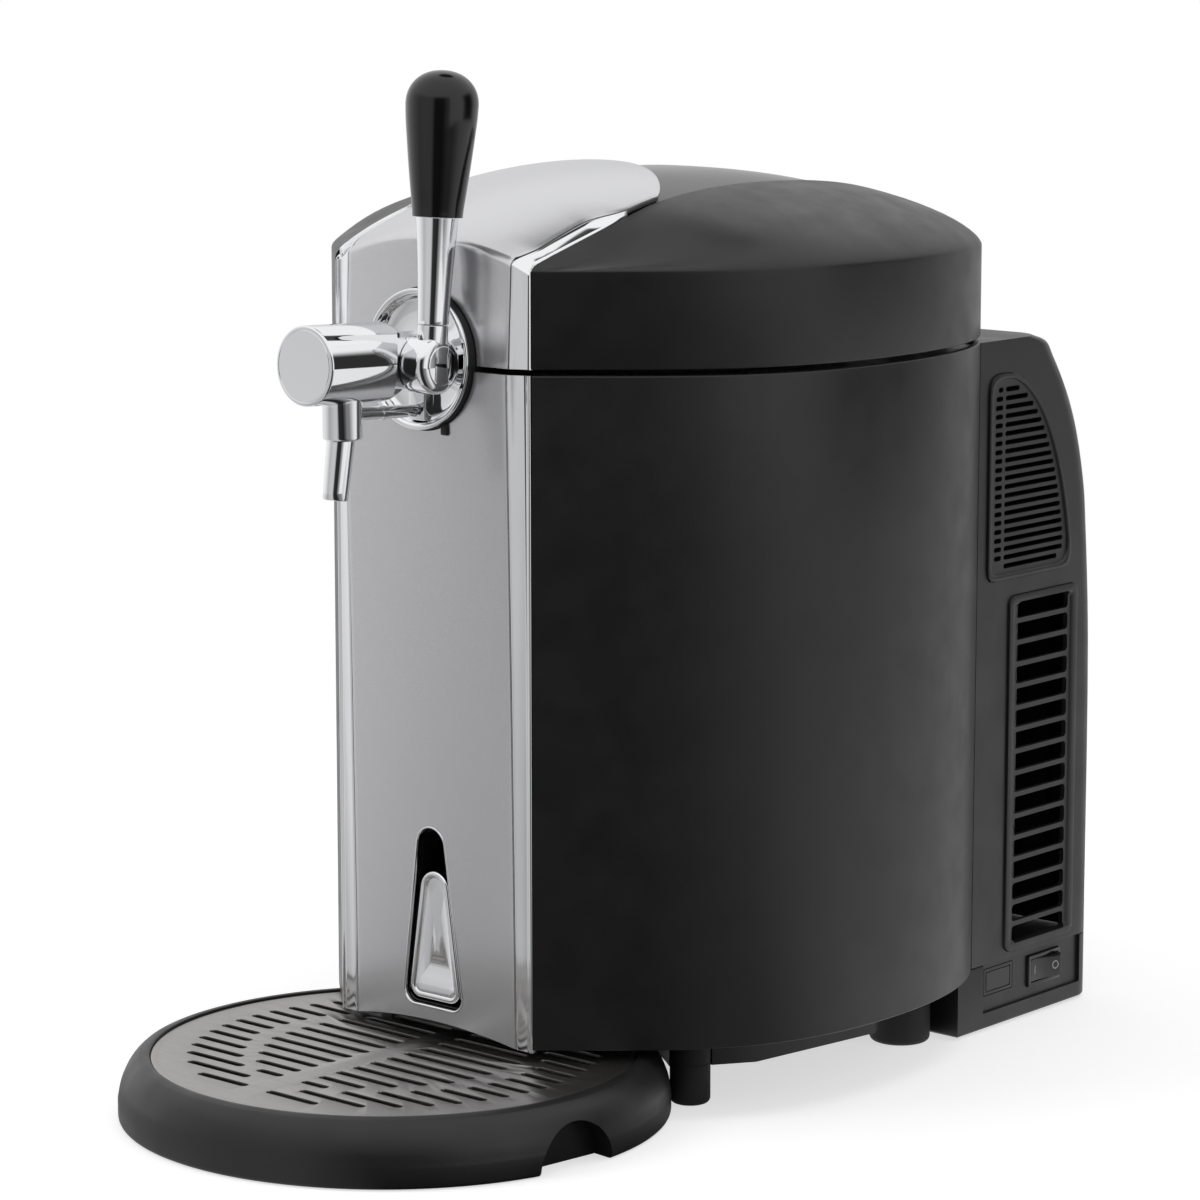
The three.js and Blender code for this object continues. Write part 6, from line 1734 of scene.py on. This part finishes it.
def valley_floor_z(x, y):
    share = plan_share(x, y)
    depth = 1.0 + 3.3 * (x / VALLEY_HALF) ** 2
    return dome_z(share, y) - depth * (1 - min(share, 1) ** 6)


def valley_room():
    """The shallow channel that runs back over the dome behind the tongue."""
    rows, end_y = 54, 173
    rings = []
    for i in range(rows + 1):
        y = BAND_END_Y + (end_y - BAND_END_Y) * i / rows
        half = crest_x(y)
        floor = []
        for k in range(41):
            x = half * (k / 20 - 1)
            floor.append((x, y, valley_floor_z(x, y)))
        rings.append([(-half, y, ABOVE_Z)] + floor + [(half, y, ABOVE_Z)])
    return skin_rings("lid_valley_room", rings)


def tongue_support():
    """The part of the shell that carries the tongue from below."""
    steps, seat = 24, 2.5
    rings = []
    for y in [PANEL_BACK_Y] + tongue_rows()[1:]:
        half = max(tongue_half(y) - 1.1, 0.3)
        top = []
        under = []
        for i in range(steps + 1):
            x = half * (2 * i / steps - 1)
            top.append((x, y, tongue_top(x, y) - seat))
            under.append((x, y, CAVITY_Z))
        rings.append(top + under[::-1])
    return skin_rings("lid_tongue_support", rings)


def lid_cavity():
    """The hollow of the shell, from below its foot up to a low dome."""
    outline = inset(lid_outline(), 3)
    rise = CAVITY_TOP_Z - CAVITY_Z
    rings = [at_height(outline, LID_FOOT - OVER)]
    for wide, high in (
        (1.0, 0.0), (0.985, 0.25), (0.96, 0.5), (0.925, 0.7), (0.88, 0.85), (0.82, 0.95), (0.76, 1.0),
    ):
        rings.append([
            (x, y, CAVITY_Z + rise * high - front_drop(wide, y) * high - flank_drop(x, y, wide))
            for x, y in scaled(outline, wide)
        ])
    cavity = skin_rings("lid_cavity", rings)
    return cut(cavity, block("cavity_front", -150, 150, -120, -94.2, 310, 400))


# How far out each ring of the dome lies, from its edge to its middle
DOME_SHARES = (
    0.9997, 0.999, 0.9978, 0.996, 0.993, 0.988, 0.98, 0.965, 0.945, 0.92, 0.89, 0.855, 0.815, 0.77, 0.72,
    0.67, 0.615, 0.56, 0.5, 0.43, 0.35, 0.26, 0.16, 0.05,
)


def lid_dome():
    outline = lid_outline()
    foot = plan_outline(LID_FOOT_Y, mm("keg_cabinet", "half_width"))
    top = mm("keg_lid", "wall_top")
    edge = 0.9
    rings = []
    for rise, back in quarter(4):
        rings.append(at_height(inset(foot, edge * (1 - rise)), LID_FOOT + edge * back))
    rings.append(at_height(outline, top - 2.2))
    rings.append(at_height(outline, top - 0.3))
    for share in DOME_SHARES:
        ring = scaled(outline, share)
        rings.append([(x, y, dome_z(share, y) - flank_drop(x, y, share)) for x, y in ring])
    return skin_rings("lid_shell_dome", rings)


def make_lid_shell():
    lid = lid_dome()
    reach = CORNER_X + GAP
    front = block("lid_front_room", -reach, reach, AHEAD_Y, PANEL_BACK_Y, 310, ABOVE_Z)
    strip = block("lid_strip_room", 48.3, reach, AHEAD_Y, CORNER_Y + 3.1, 310, ABOVE_Z)
    twin = mirrored(strip, "lid_strip_room_left")
    cut(lid, front, strip, twin, band_room(), valley_room())
    join(lid, tongue_support())
    cut(lid, lid_cavity())
    width = 16
    for start in (-56, 40):
        join(lid, rod_x("lid_knuckle", HINGE_Y, HINGE_Z, HINGE_RADIUS, start, start + width, 40))
        join(lid, block("knuckle_web", start + 0.1, start + width - 0.1, 167, HINGE_Y, HINGE_Z, 337))
    channel = tap_bore("lid_channel", 18.6, -110, 25, 96)
    cut(lid, channel, tap_bore("lid_notch", TAP_NOTCH, -110, -94))
    for x in (-48, 48):
        cut(lid, rod_x("lid_pin_bore", HINGE_Y, HINGE_Z, PIN_BORE, x - width, x + width, 24))
    fit(lid, LID, "satin_black", ["lid_shell"], 30)
    lid.data.materials[0] = finish_of("lid_black")


def make_hinges():
    base = 323.8
    plate = rounded_box(30.7, 171, 34.6, 14.5, 1.0, 4)
    foot = prisms("hinge_bracket_plate", [plate], ALONG_Z, base, base + 2.5)
    soften(foot, 0.4, 2, 60)
    ears = []
    for x in (34.7, 56.3):
        ears.append(rod_x("hinge_ear", HINGE_Y, HINGE_Z, HINGE_RADIUS, x, x + 5, 40))
        ears.append(block("hinge_web", x + 0.02, x + 4.98, 171.02, 180.98, base + 0.5, HINGE_Z))
    join(foot, *ears)
    cut(foot, rod_x("hinge_bore", HINGE_Y, HINGE_Z, PIN_BORE, 20, 76, 24))
    fit_pair(foot, CABINET, "satin_black", "hinge_bracket", 34)


# Finishes of the frame's own nodes


def dress_frame_nodes():
    slots = {
        "insulation_jacket": "foam_white", "keg_well": "bright_aluminium", "latch_pin": "zinc_steel",
        "tap_cradle": "satin_black", "shank_nut": "zinc_steel", "cold_block": "bright_aluminium",
        "cooling_module": "pale_plastic", "fan_frame": "satin_black",
        "fan_rotor": "satin_black", "circuit_board": "board_green", "lid_liner": "pale_plastic",
        "lid_seal": "seal_rubber", "hinge_pin_right": "zinc_steel", "hinge_pin_left": "zinc_steel",
    }
    for name, slot in slots.items():
        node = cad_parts.get(name)
        if node is None:
            raise RuntimeError(f"the frame has no node {name}")
        node.data.materials.clear()
        node.data.materials.append(finish_of(slot))
        node.data.shade_smooth()
        node.data.set_sharp_from_angle(angle=math.radians(30))


# Stage


# Brightness at angles round the object
AROUND_FLOOR = (
    (-88, 0.95), (-62, 0.85), (-50, 0.70), (-40, 0.56), (-30, 0.46), (-18, 0.55), (0, 0.64), (11, 0.66),
    (17, 0.36), (22, 0.03), (46, 0.02), (56, 0.10), (66, 0.24), (80, 0.26), (92, 0.50), (106, 0.85),
    (122, 1.0), (150, 1.0), (180, 0.8), (240, 0.8), (268, 0.95),
)
AROUND_WALL = (
    (-88, 0.95), (-62, 0.85), (-50, 0.70), (-30, 0.50), (-10, 0.60), (11, 0.60), (17, 0.36), (22, 0.03),
    (46, 0.02), (60, 0.30), (74, 0.90), (108, 0.95), (118, 0.30), (124, 0.03), (142, 0.03), (150, 0.30),
    (162, 0.75), (215, 0.7), (240, 0.8), (268, 0.95),
)
FLOOR_HALF = 60000
DRUM_RADIUS, DRUM_SIDES = 2600, 96


def studio_light(nodes, links, strength, around_values):
    """How bright the studio is in each direction, seen in shiny surfaces."""
    places = nodes.new("ShaderNodeTexCoord")
    around = nodes.new("ShaderNodeTexGradient")
    around.gradient_type = "RADIAL"
    links.new(places.outputs["Object"], around.inputs["Vector"])
    ramp = nodes.new("ShaderNodeValToRGB")
    ramp.color_ramp.interpolation = "EASE"
    stops = ramp.color_ramp.elements
    while len(stops) > 1:
        stops.remove(stops[-1])
    for number, (azimuth, value) in enumerate(around_values):
        position = azimuth / 360 + 0.25
        stop = stops[0] if number == 0 else stops.new(position)
        stop.position = position
        stop.color = (value, value, value * 1.01, 1)
    links.new(around.outputs["Fac"], ramp.inputs["Fac"])
    split = nodes.new("ShaderNodeSeparateXYZ")
    links.new(places.outputs["Object"], split.inputs["Vector"])
    lift = nodes.new("ShaderNodeMapRange")
    lift.interpolation_type = "SMOOTHSTEP"
    lift.inputs["From Min"].default_value = 1.15
    lift.inputs["From Max"].default_value = 1.9
    links.new(split.outputs["Z"], lift.inputs["Value"])
    mix = nodes.new("ShaderNodeMix")
    mix.data_type = "RGBA"
    mixes = [socket for socket in mix.inputs if socket.type == "RGBA"]
    mixes[1].default_value = (0.97, 0.97, 0.98, 1)
    links.new(lift.outputs["Result"], mix.inputs["Factor"])
    links.new(ramp.outputs["Color"], mixes[0])
    glow = nodes.new("ShaderNodeEmission")
    glow.inputs["Strength"].default_value = strength
    links.new([socket for socket in mix.outputs if socket.type == "RGBA"][0], glow.inputs["Color"])
    return glow.outputs["Emission"]


def make_floor():
    half = FLOOR_HALF
    corners = [(-half, -half, 0), (half, -half, 0), (half, half, 0), (-half, half, 0)]
    floor = raise_piece("studio_floor", corners, [(0, 1, 2, 3)])
    floor.location.z = -0.0002
    material = bpy.data.materials.new("studio_floor_white")
    material.use_nodes = True
    nodes, links = material.node_tree.nodes, material.node_tree.links
    nodes.clear()
    lift = bpy.context.scene.keg_stage.floor_lift
    white = nodes.new("ShaderNodeBsdfDiffuse")
    white.inputs["Color"].default_value = (0.8, 0.8, 0.8, 1)
    glow = nodes.new("ShaderNodeEmission")
    glow.inputs["Strength"].default_value = lift
    soft = nodes.new("ShaderNodeBsdfDiffuse")
    soft.inputs["Color"].default_value = (0.55, 0.55, 0.55, 1)
    seen = nodes.new("ShaderNodeAddShader")
    links.new(glow.outputs[0], seen.inputs[0])
    links.new(soft.outputs[0], seen.inputs[1])
    places = nodes.new("ShaderNodeTexCoord")
    away = nodes.new("ShaderNodeVectorMath")
    away.operation = "LENGTH"
    links.new(places.outputs["Object"], away.inputs[0])
    far = nodes.new("ShaderNodeMapRange")
    far.interpolation_type = "SMOOTHSTEP"
    far.inputs["From Min"].default_value = 0.5
    far.inputs["From Max"].default_value = 1.1
    links.new(away.outputs["Value"], far.inputs["Value"])
    backdrop = nodes.new("ShaderNodeEmission")
    backdrop.inputs["Strength"].default_value = bpy.context.scene.keg_stage.backdrop
    ground = nodes.new("ShaderNodeMixShader")
    links.new(far.outputs["Result"], ground.inputs["Fac"])
    links.new(seen.outputs[0], ground.inputs[1])
    links.new(backdrop.outputs[0], ground.inputs[2])
    rays = nodes.new("ShaderNodeLightPath")
    first = nodes.new("ShaderNodeMixShader")
    links.new(rays.outputs["Is Camera Ray"], first.inputs["Fac"])
    links.new(white.outputs[0], first.inputs[1])
    links.new(ground.outputs[0], first.inputs[2])
    second = nodes.new("ShaderNodeMixShader")
    links.new(rays.outputs["Is Glossy Ray"], second.inputs["Fac"])
    links.new(first.outputs[0], second.inputs[1])
    links.new(studio_light(nodes, links, 0.88, AROUND_FLOOR), second.inputs[2])
    out = nodes.new("ShaderNodeOutputMaterial")
    links.new(second.outputs[0], out.inputs["Surface"])
    floor.data.materials.append(material)


def make_drum():
    """A wide wall round the stage that only shiny surfaces see."""
    points = []
    for z in (0, DRUM_RADIUS):
        for i in range(DRUM_SIDES):
            angle = 2 * math.pi * i / DRUM_SIDES
            points.append((DRUM_RADIUS * math.cos(angle), DRUM_RADIUS * math.sin(angle), z))
    faces = []
    for i in range(DRUM_SIDES):
        after = (i + 1) % DRUM_SIDES
        faces.append((i, after, DRUM_SIDES + after, DRUM_SIDES + i))
    drum = raise_piece("studio_wall", points, faces)
    material = bpy.data.materials.new("studio_wall_light")
    material.use_nodes = True
    nodes, links = material.node_tree.nodes, material.node_tree.links
    nodes.clear()
    out = nodes.new("ShaderNodeOutputMaterial")
    links.new(studio_light(nodes, links, 1.0, AROUND_WALL), out.inputs["Surface"])
    drum.data.materials.append(material)
    drum.visible_camera = False
    drum.visible_diffuse = False
    drum.visible_shadow = False
    drum.visible_transmission = False


def make_lamp(name, place, target, size, power):
    data = bpy.data.lights.new(name, "AREA")
    data.shape = "SQUARE"
    data.size = size
    data.energy = power
    lamp = bpy.data.objects.new(name, data)
    lamp.location = place
    lamp.rotation_euler = (Vector(target) - Vector(place)).to_track_quat("-Z", "Y").to_euler()
    lamp.visible_camera = False
    lamp.visible_glossy = False
    bpy.context.scene.collection.objects.link(lamp)


ROOF_GAP = (-0.27, 0.44, 0.857)


def make_world():
    """White all round, with a dark gap high up that only shows in polished metal."""
    world = bpy.data.worlds.new("studio_white")
    bpy.context.scene.world = world
    world.use_nodes = True
    nodes, links = world.node_tree.nodes, world.node_tree.links
    nodes.clear()
    rays = nodes.new("ShaderNodeLightPath")
    first = nodes.new("ShaderNodeMath")
    first.operation = "MAXIMUM"
    second = nodes.new("ShaderNodeMath")
    second.operation = "MAXIMUM"
    links.new(rays.outputs["Is Camera Ray"], first.inputs[0])
    links.new(rays.outputs["Is Glossy Ray"], first.inputs[1])
    links.new(first.outputs[0], second.inputs[0])
    links.new(rays.outputs["Is Transmission Ray"], second.inputs[1])
    dim = nodes.new("ShaderNodeBackground")
    dim.inputs["Strength"].default_value = 0.45
    places = nodes.new("ShaderNodeTexCoord")
    toward = nodes.new("ShaderNodeVectorMath")
    toward.operation = "DOT_PRODUCT"
    toward.inputs[1].default_value = ROOF_GAP
    links.new(places.outputs["Generated"], toward.inputs[0])
    roof = nodes.new("ShaderNodeMapRange")
    roof.interpolation_type = "SMOOTHSTEP"
    roof.inputs["From Min"].default_value = 0.974
    roof.inputs["From Max"].default_value = 0.992
    roof.inputs["To Min"].default_value = bpy.context.scene.keg_stage.backdrop
    roof.inputs["To Max"].default_value = 0.05
    links.new(toward.outputs["Value"], roof.inputs["Value"])
    bright = nodes.new("ShaderNodeBackground")
    bright.inputs["Color"].default_value = (1, 1, 1, 1)
    links.new(roof.outputs["Result"], bright.inputs["Strength"])
    mix = nodes.new("ShaderNodeMixShader")
    links.new(second.outputs[0], mix.inputs["Fac"])
    links.new(dim.outputs[0], mix.inputs[1])
    links.new(bright.outputs[0], mix.inputs[2])
    out = nodes.new("ShaderNodeOutputWorld")
    links.new(mix.outputs[0], out.inputs["Surface"])


def make_camera():
    data = bpy.data.cameras.new("studio_camera")
    data.lens = 132.03
    data.sensor_width = 36
    camera = bpy.data.objects.new("studio_camera", data)
    camera.location = (1.3197, -1.4433, 0.5326)
    camera.rotation_euler = (math.radians(80.652), 0, math.radians(42.293))
    bpy.context.scene.collection.objects.link(camera)
    bpy.context.scene.camera = camera


# Operators


class KEG_OT_body_shell(bpy.types.Operator):
    """Wrap the black shell round the flanks and the rear"""

    bl_idname = "keg.body_shell"
    bl_label = "Body Shell"

    def execute(self, context):
        make_body_shell()
        return {"FINISHED"}


class KEG_OT_front_panel(bpy.types.Operator):
    """Make the silver front panel and the rolled edge of its recess"""

    bl_idname = "keg.front_panel"
    bl_label = "Front Panel"

    def execute(self, context):
        make_front_panel()
        return {"FINISHED"}


class KEG_OT_corner_strips(bpy.types.Operator):
    """Make the chrome strips beside the front panel"""

    bl_idname = "keg.corner_strips"
    bl_label = "Corner Strips"

    def execute(self, context):
        make_corner_strips()
        return {"FINISHED"}


class KEG_OT_latch(bpy.types.Operator):
    """Make the recess cup and the release paddle"""

    bl_idname = "keg.latch"
    bl_label = "Release Paddle"

    def execute(self, context):
        make_latch()
        return {"FINISHED"}


class KEG_OT_base(bpy.types.Operator):
    """Make the base moulding and its feet"""

    bl_idname = "keg.base"
    bl_label = "Base and Feet"

    def execute(self, context):
        make_base()
        make_feet()
        return {"FINISHED"}


class KEG_OT_electrics(bpy.types.Operator):
    """Make the mains inlet, the rocker switch and the blank cover"""

    bl_idname = "keg.electrics"
    bl_label = "Inlet and Switch"

    def execute(self, context):
        make_inlet()
        make_switches()
        return {"FINISHED"}


class KEG_OT_tower(bpy.types.Operator):
    """Make the rear tower, its cover plate and the heat sink behind it"""

    bl_idname = "keg.tower"
    bl_label = "Tower"

    def execute(self, context):
        make_tower()
        make_rear_cover()
        make_cover_screws()
        make_heat_sink()
        return {"FINISHED"}


class KEG_OT_grilles(bpy.types.Operator):
    """Make the louvred grilles in the tower's sides"""

    bl_idname = "keg.grilles"
    bl_label = "Side Grilles"

    def execute(self, context):
        make_grilles()
        return {"FINISHED"}


class KEG_OT_tray(bpy.types.Operator):
    """Make the drip tray and its slotted plate"""

    bl_idname = "keg.tray"
    bl_label = "Drip Tray"

    def execute(self, context):
        make_tray()
        make_drip_plate()
        return {"FINISHED"}


class KEG_OT_tap(bpy.types.Operator):
    """Make the tap's casting, gasket, spout and tube"""

    bl_idname = "keg.tap"
    bl_label = "Tap"

    def execute(self, context):
        make_tap()
        make_gasket()
        make_spout()
        return {"FINISHED"}


class KEG_OT_lever(bpy.types.Operator):
    """Make the tap lever: hub, stem and knob"""

    bl_idname = "keg.lever"
    bl_label = "Tap Lever"

    def execute(self, context):
        make_lever()
        return {"FINISHED"}


class KEG_OT_lid_shell(bpy.types.Operator):
    """Make the black lid with its dome and channel"""

    bl_idname = "keg.lid_shell"
    bl_label = "Lid Shell"

    def execute(self, context):
        make_lid_shell()
        return {"FINISHED"}


class KEG_OT_lid_trim(bpy.types.Operator):
    """Make the silver tongue and the chrome bands on the lid"""

    bl_idname = "keg.lid_trim"
    bl_label = "Lid Tongue and Bands"

    def execute(self, context):
        make_lid_skin()
        make_lid_bands()
        return {"FINISHED"}


class KEG_OT_hinges(bpy.types.Operator):
    """Make the hinge brackets on the tower"""

    bl_idname = "keg.hinges"
    bl_label = "Lid Hinges"

    def execute(self, context):
        make_hinges()
        return {"FINISHED"}


class KEG_OT_inner_finishes(bpy.types.Operator):
    """Give the well, cooler, fan and other inner pieces their finishes"""

    bl_idname = "keg.inner_finishes"
    bl_label = "Inner Finishes"

    def execute(self, context):
        dress_frame_nodes()
        return {"FINISHED"}


class KEG_OT_stage(bpy.types.Operator):
    """Set up the floor, the studio light and the camera"""

    bl_idname = "keg.stage"
    bl_label = "Stage"

    def execute(self, context):
        stage = context.scene.keg_stage
        context.scene.view_settings.view_transform = "Standard"
        make_floor()
        make_drum()
        make_world()
        make_lamp("key_lamp", (-1.5, -1.6, 2.2), (0, 0, 0.2), 1.6, stage.key)
        make_lamp("side_lamp", (2.2, 0.6, 1.6), (0, 0, 0.2), 1.4, stage.fill)
        make_lamp("top_lamp", (0.1, 0.3, 2.6), (0, 0, 0), 2.2, stage.key)
        make_camera()
        return {"FINISHED"}


class KEG_PT_pieces(bpy.types.Panel):
    """Lists the pieces of the keg cooler and their sizes"""

    bl_idname = "KEG_PT_pieces"
    bl_label = "Keg Cooler"
    bl_space_type = "VIEW_3D"
    bl_region_type = "UI"
    bl_category = "Keg Cooler"

    def draw(self, context):
        layout = self.layout
        for operator in PIECE_OPERATORS:
            layout.operator(operator.bl_idname)
        for name in GROUPS:
            group = getattr(context.scene, name)
            column = layout.box().column()
            for key in group.__annotations__:
                column.prop(group, key)


PIECE_OPERATORS = (
    KEG_OT_body_shell, KEG_OT_front_panel, KEG_OT_corner_strips, KEG_OT_latch, KEG_OT_base, KEG_OT_electrics,
    KEG_OT_tower, KEG_OT_grilles, KEG_OT_tray, KEG_OT_tap, KEG_OT_lever, KEG_OT_lid_shell, KEG_OT_lid_trim,
    KEG_OT_hinges, KEG_OT_inner_finishes, KEG_OT_stage,
)

GROUPS = {
    "keg_cabinet": KegCabinetSizes, "keg_lid": KegLidSizes, "keg_tap": KegTapSizes, "keg_tray": KegTraySizes,
    "keg_tower": KegTowerSizes, "keg_finishes": KegFinishes, "keg_stage": KegStage,
}


def register():
    for name, group in GROUPS.items():
        bpy.utils.register_class(group)
        setattr(bpy.types.Scene, name, PointerProperty(type=group))
    for item in (*PIECE_OPERATORS, KEG_PT_pieces):
        bpy.utils.register_class(item)


def unregister():
    for item in reversed((*PIECE_OPERATORS, KEG_PT_pieces)):
        bpy.utils.unregister_class(item)
    for name, group in GROUPS.items():
        delattr(bpy.types.Scene, name)
        bpy.utils.unregister_class(group)


def main():
    register()
    bpy.ops.keg.body_shell()
    bpy.ops.keg.front_panel()
    bpy.ops.keg.corner_strips()
    bpy.ops.keg.latch()
    bpy.ops.keg.base()
    bpy.ops.keg.electrics()
    bpy.ops.keg.tower()
    bpy.ops.keg.grilles()
    bpy.ops.keg.tray()
    bpy.ops.keg.tap()
    bpy.ops.keg.lever()
    bpy.ops.keg.lid_shell()
    bpy.ops.keg.lid_trim()
    bpy.ops.keg.hinges()
    bpy.ops.keg.inner_finishes()
    bpy.ops.keg.stage()


if __name__ == "__main__":
    main()
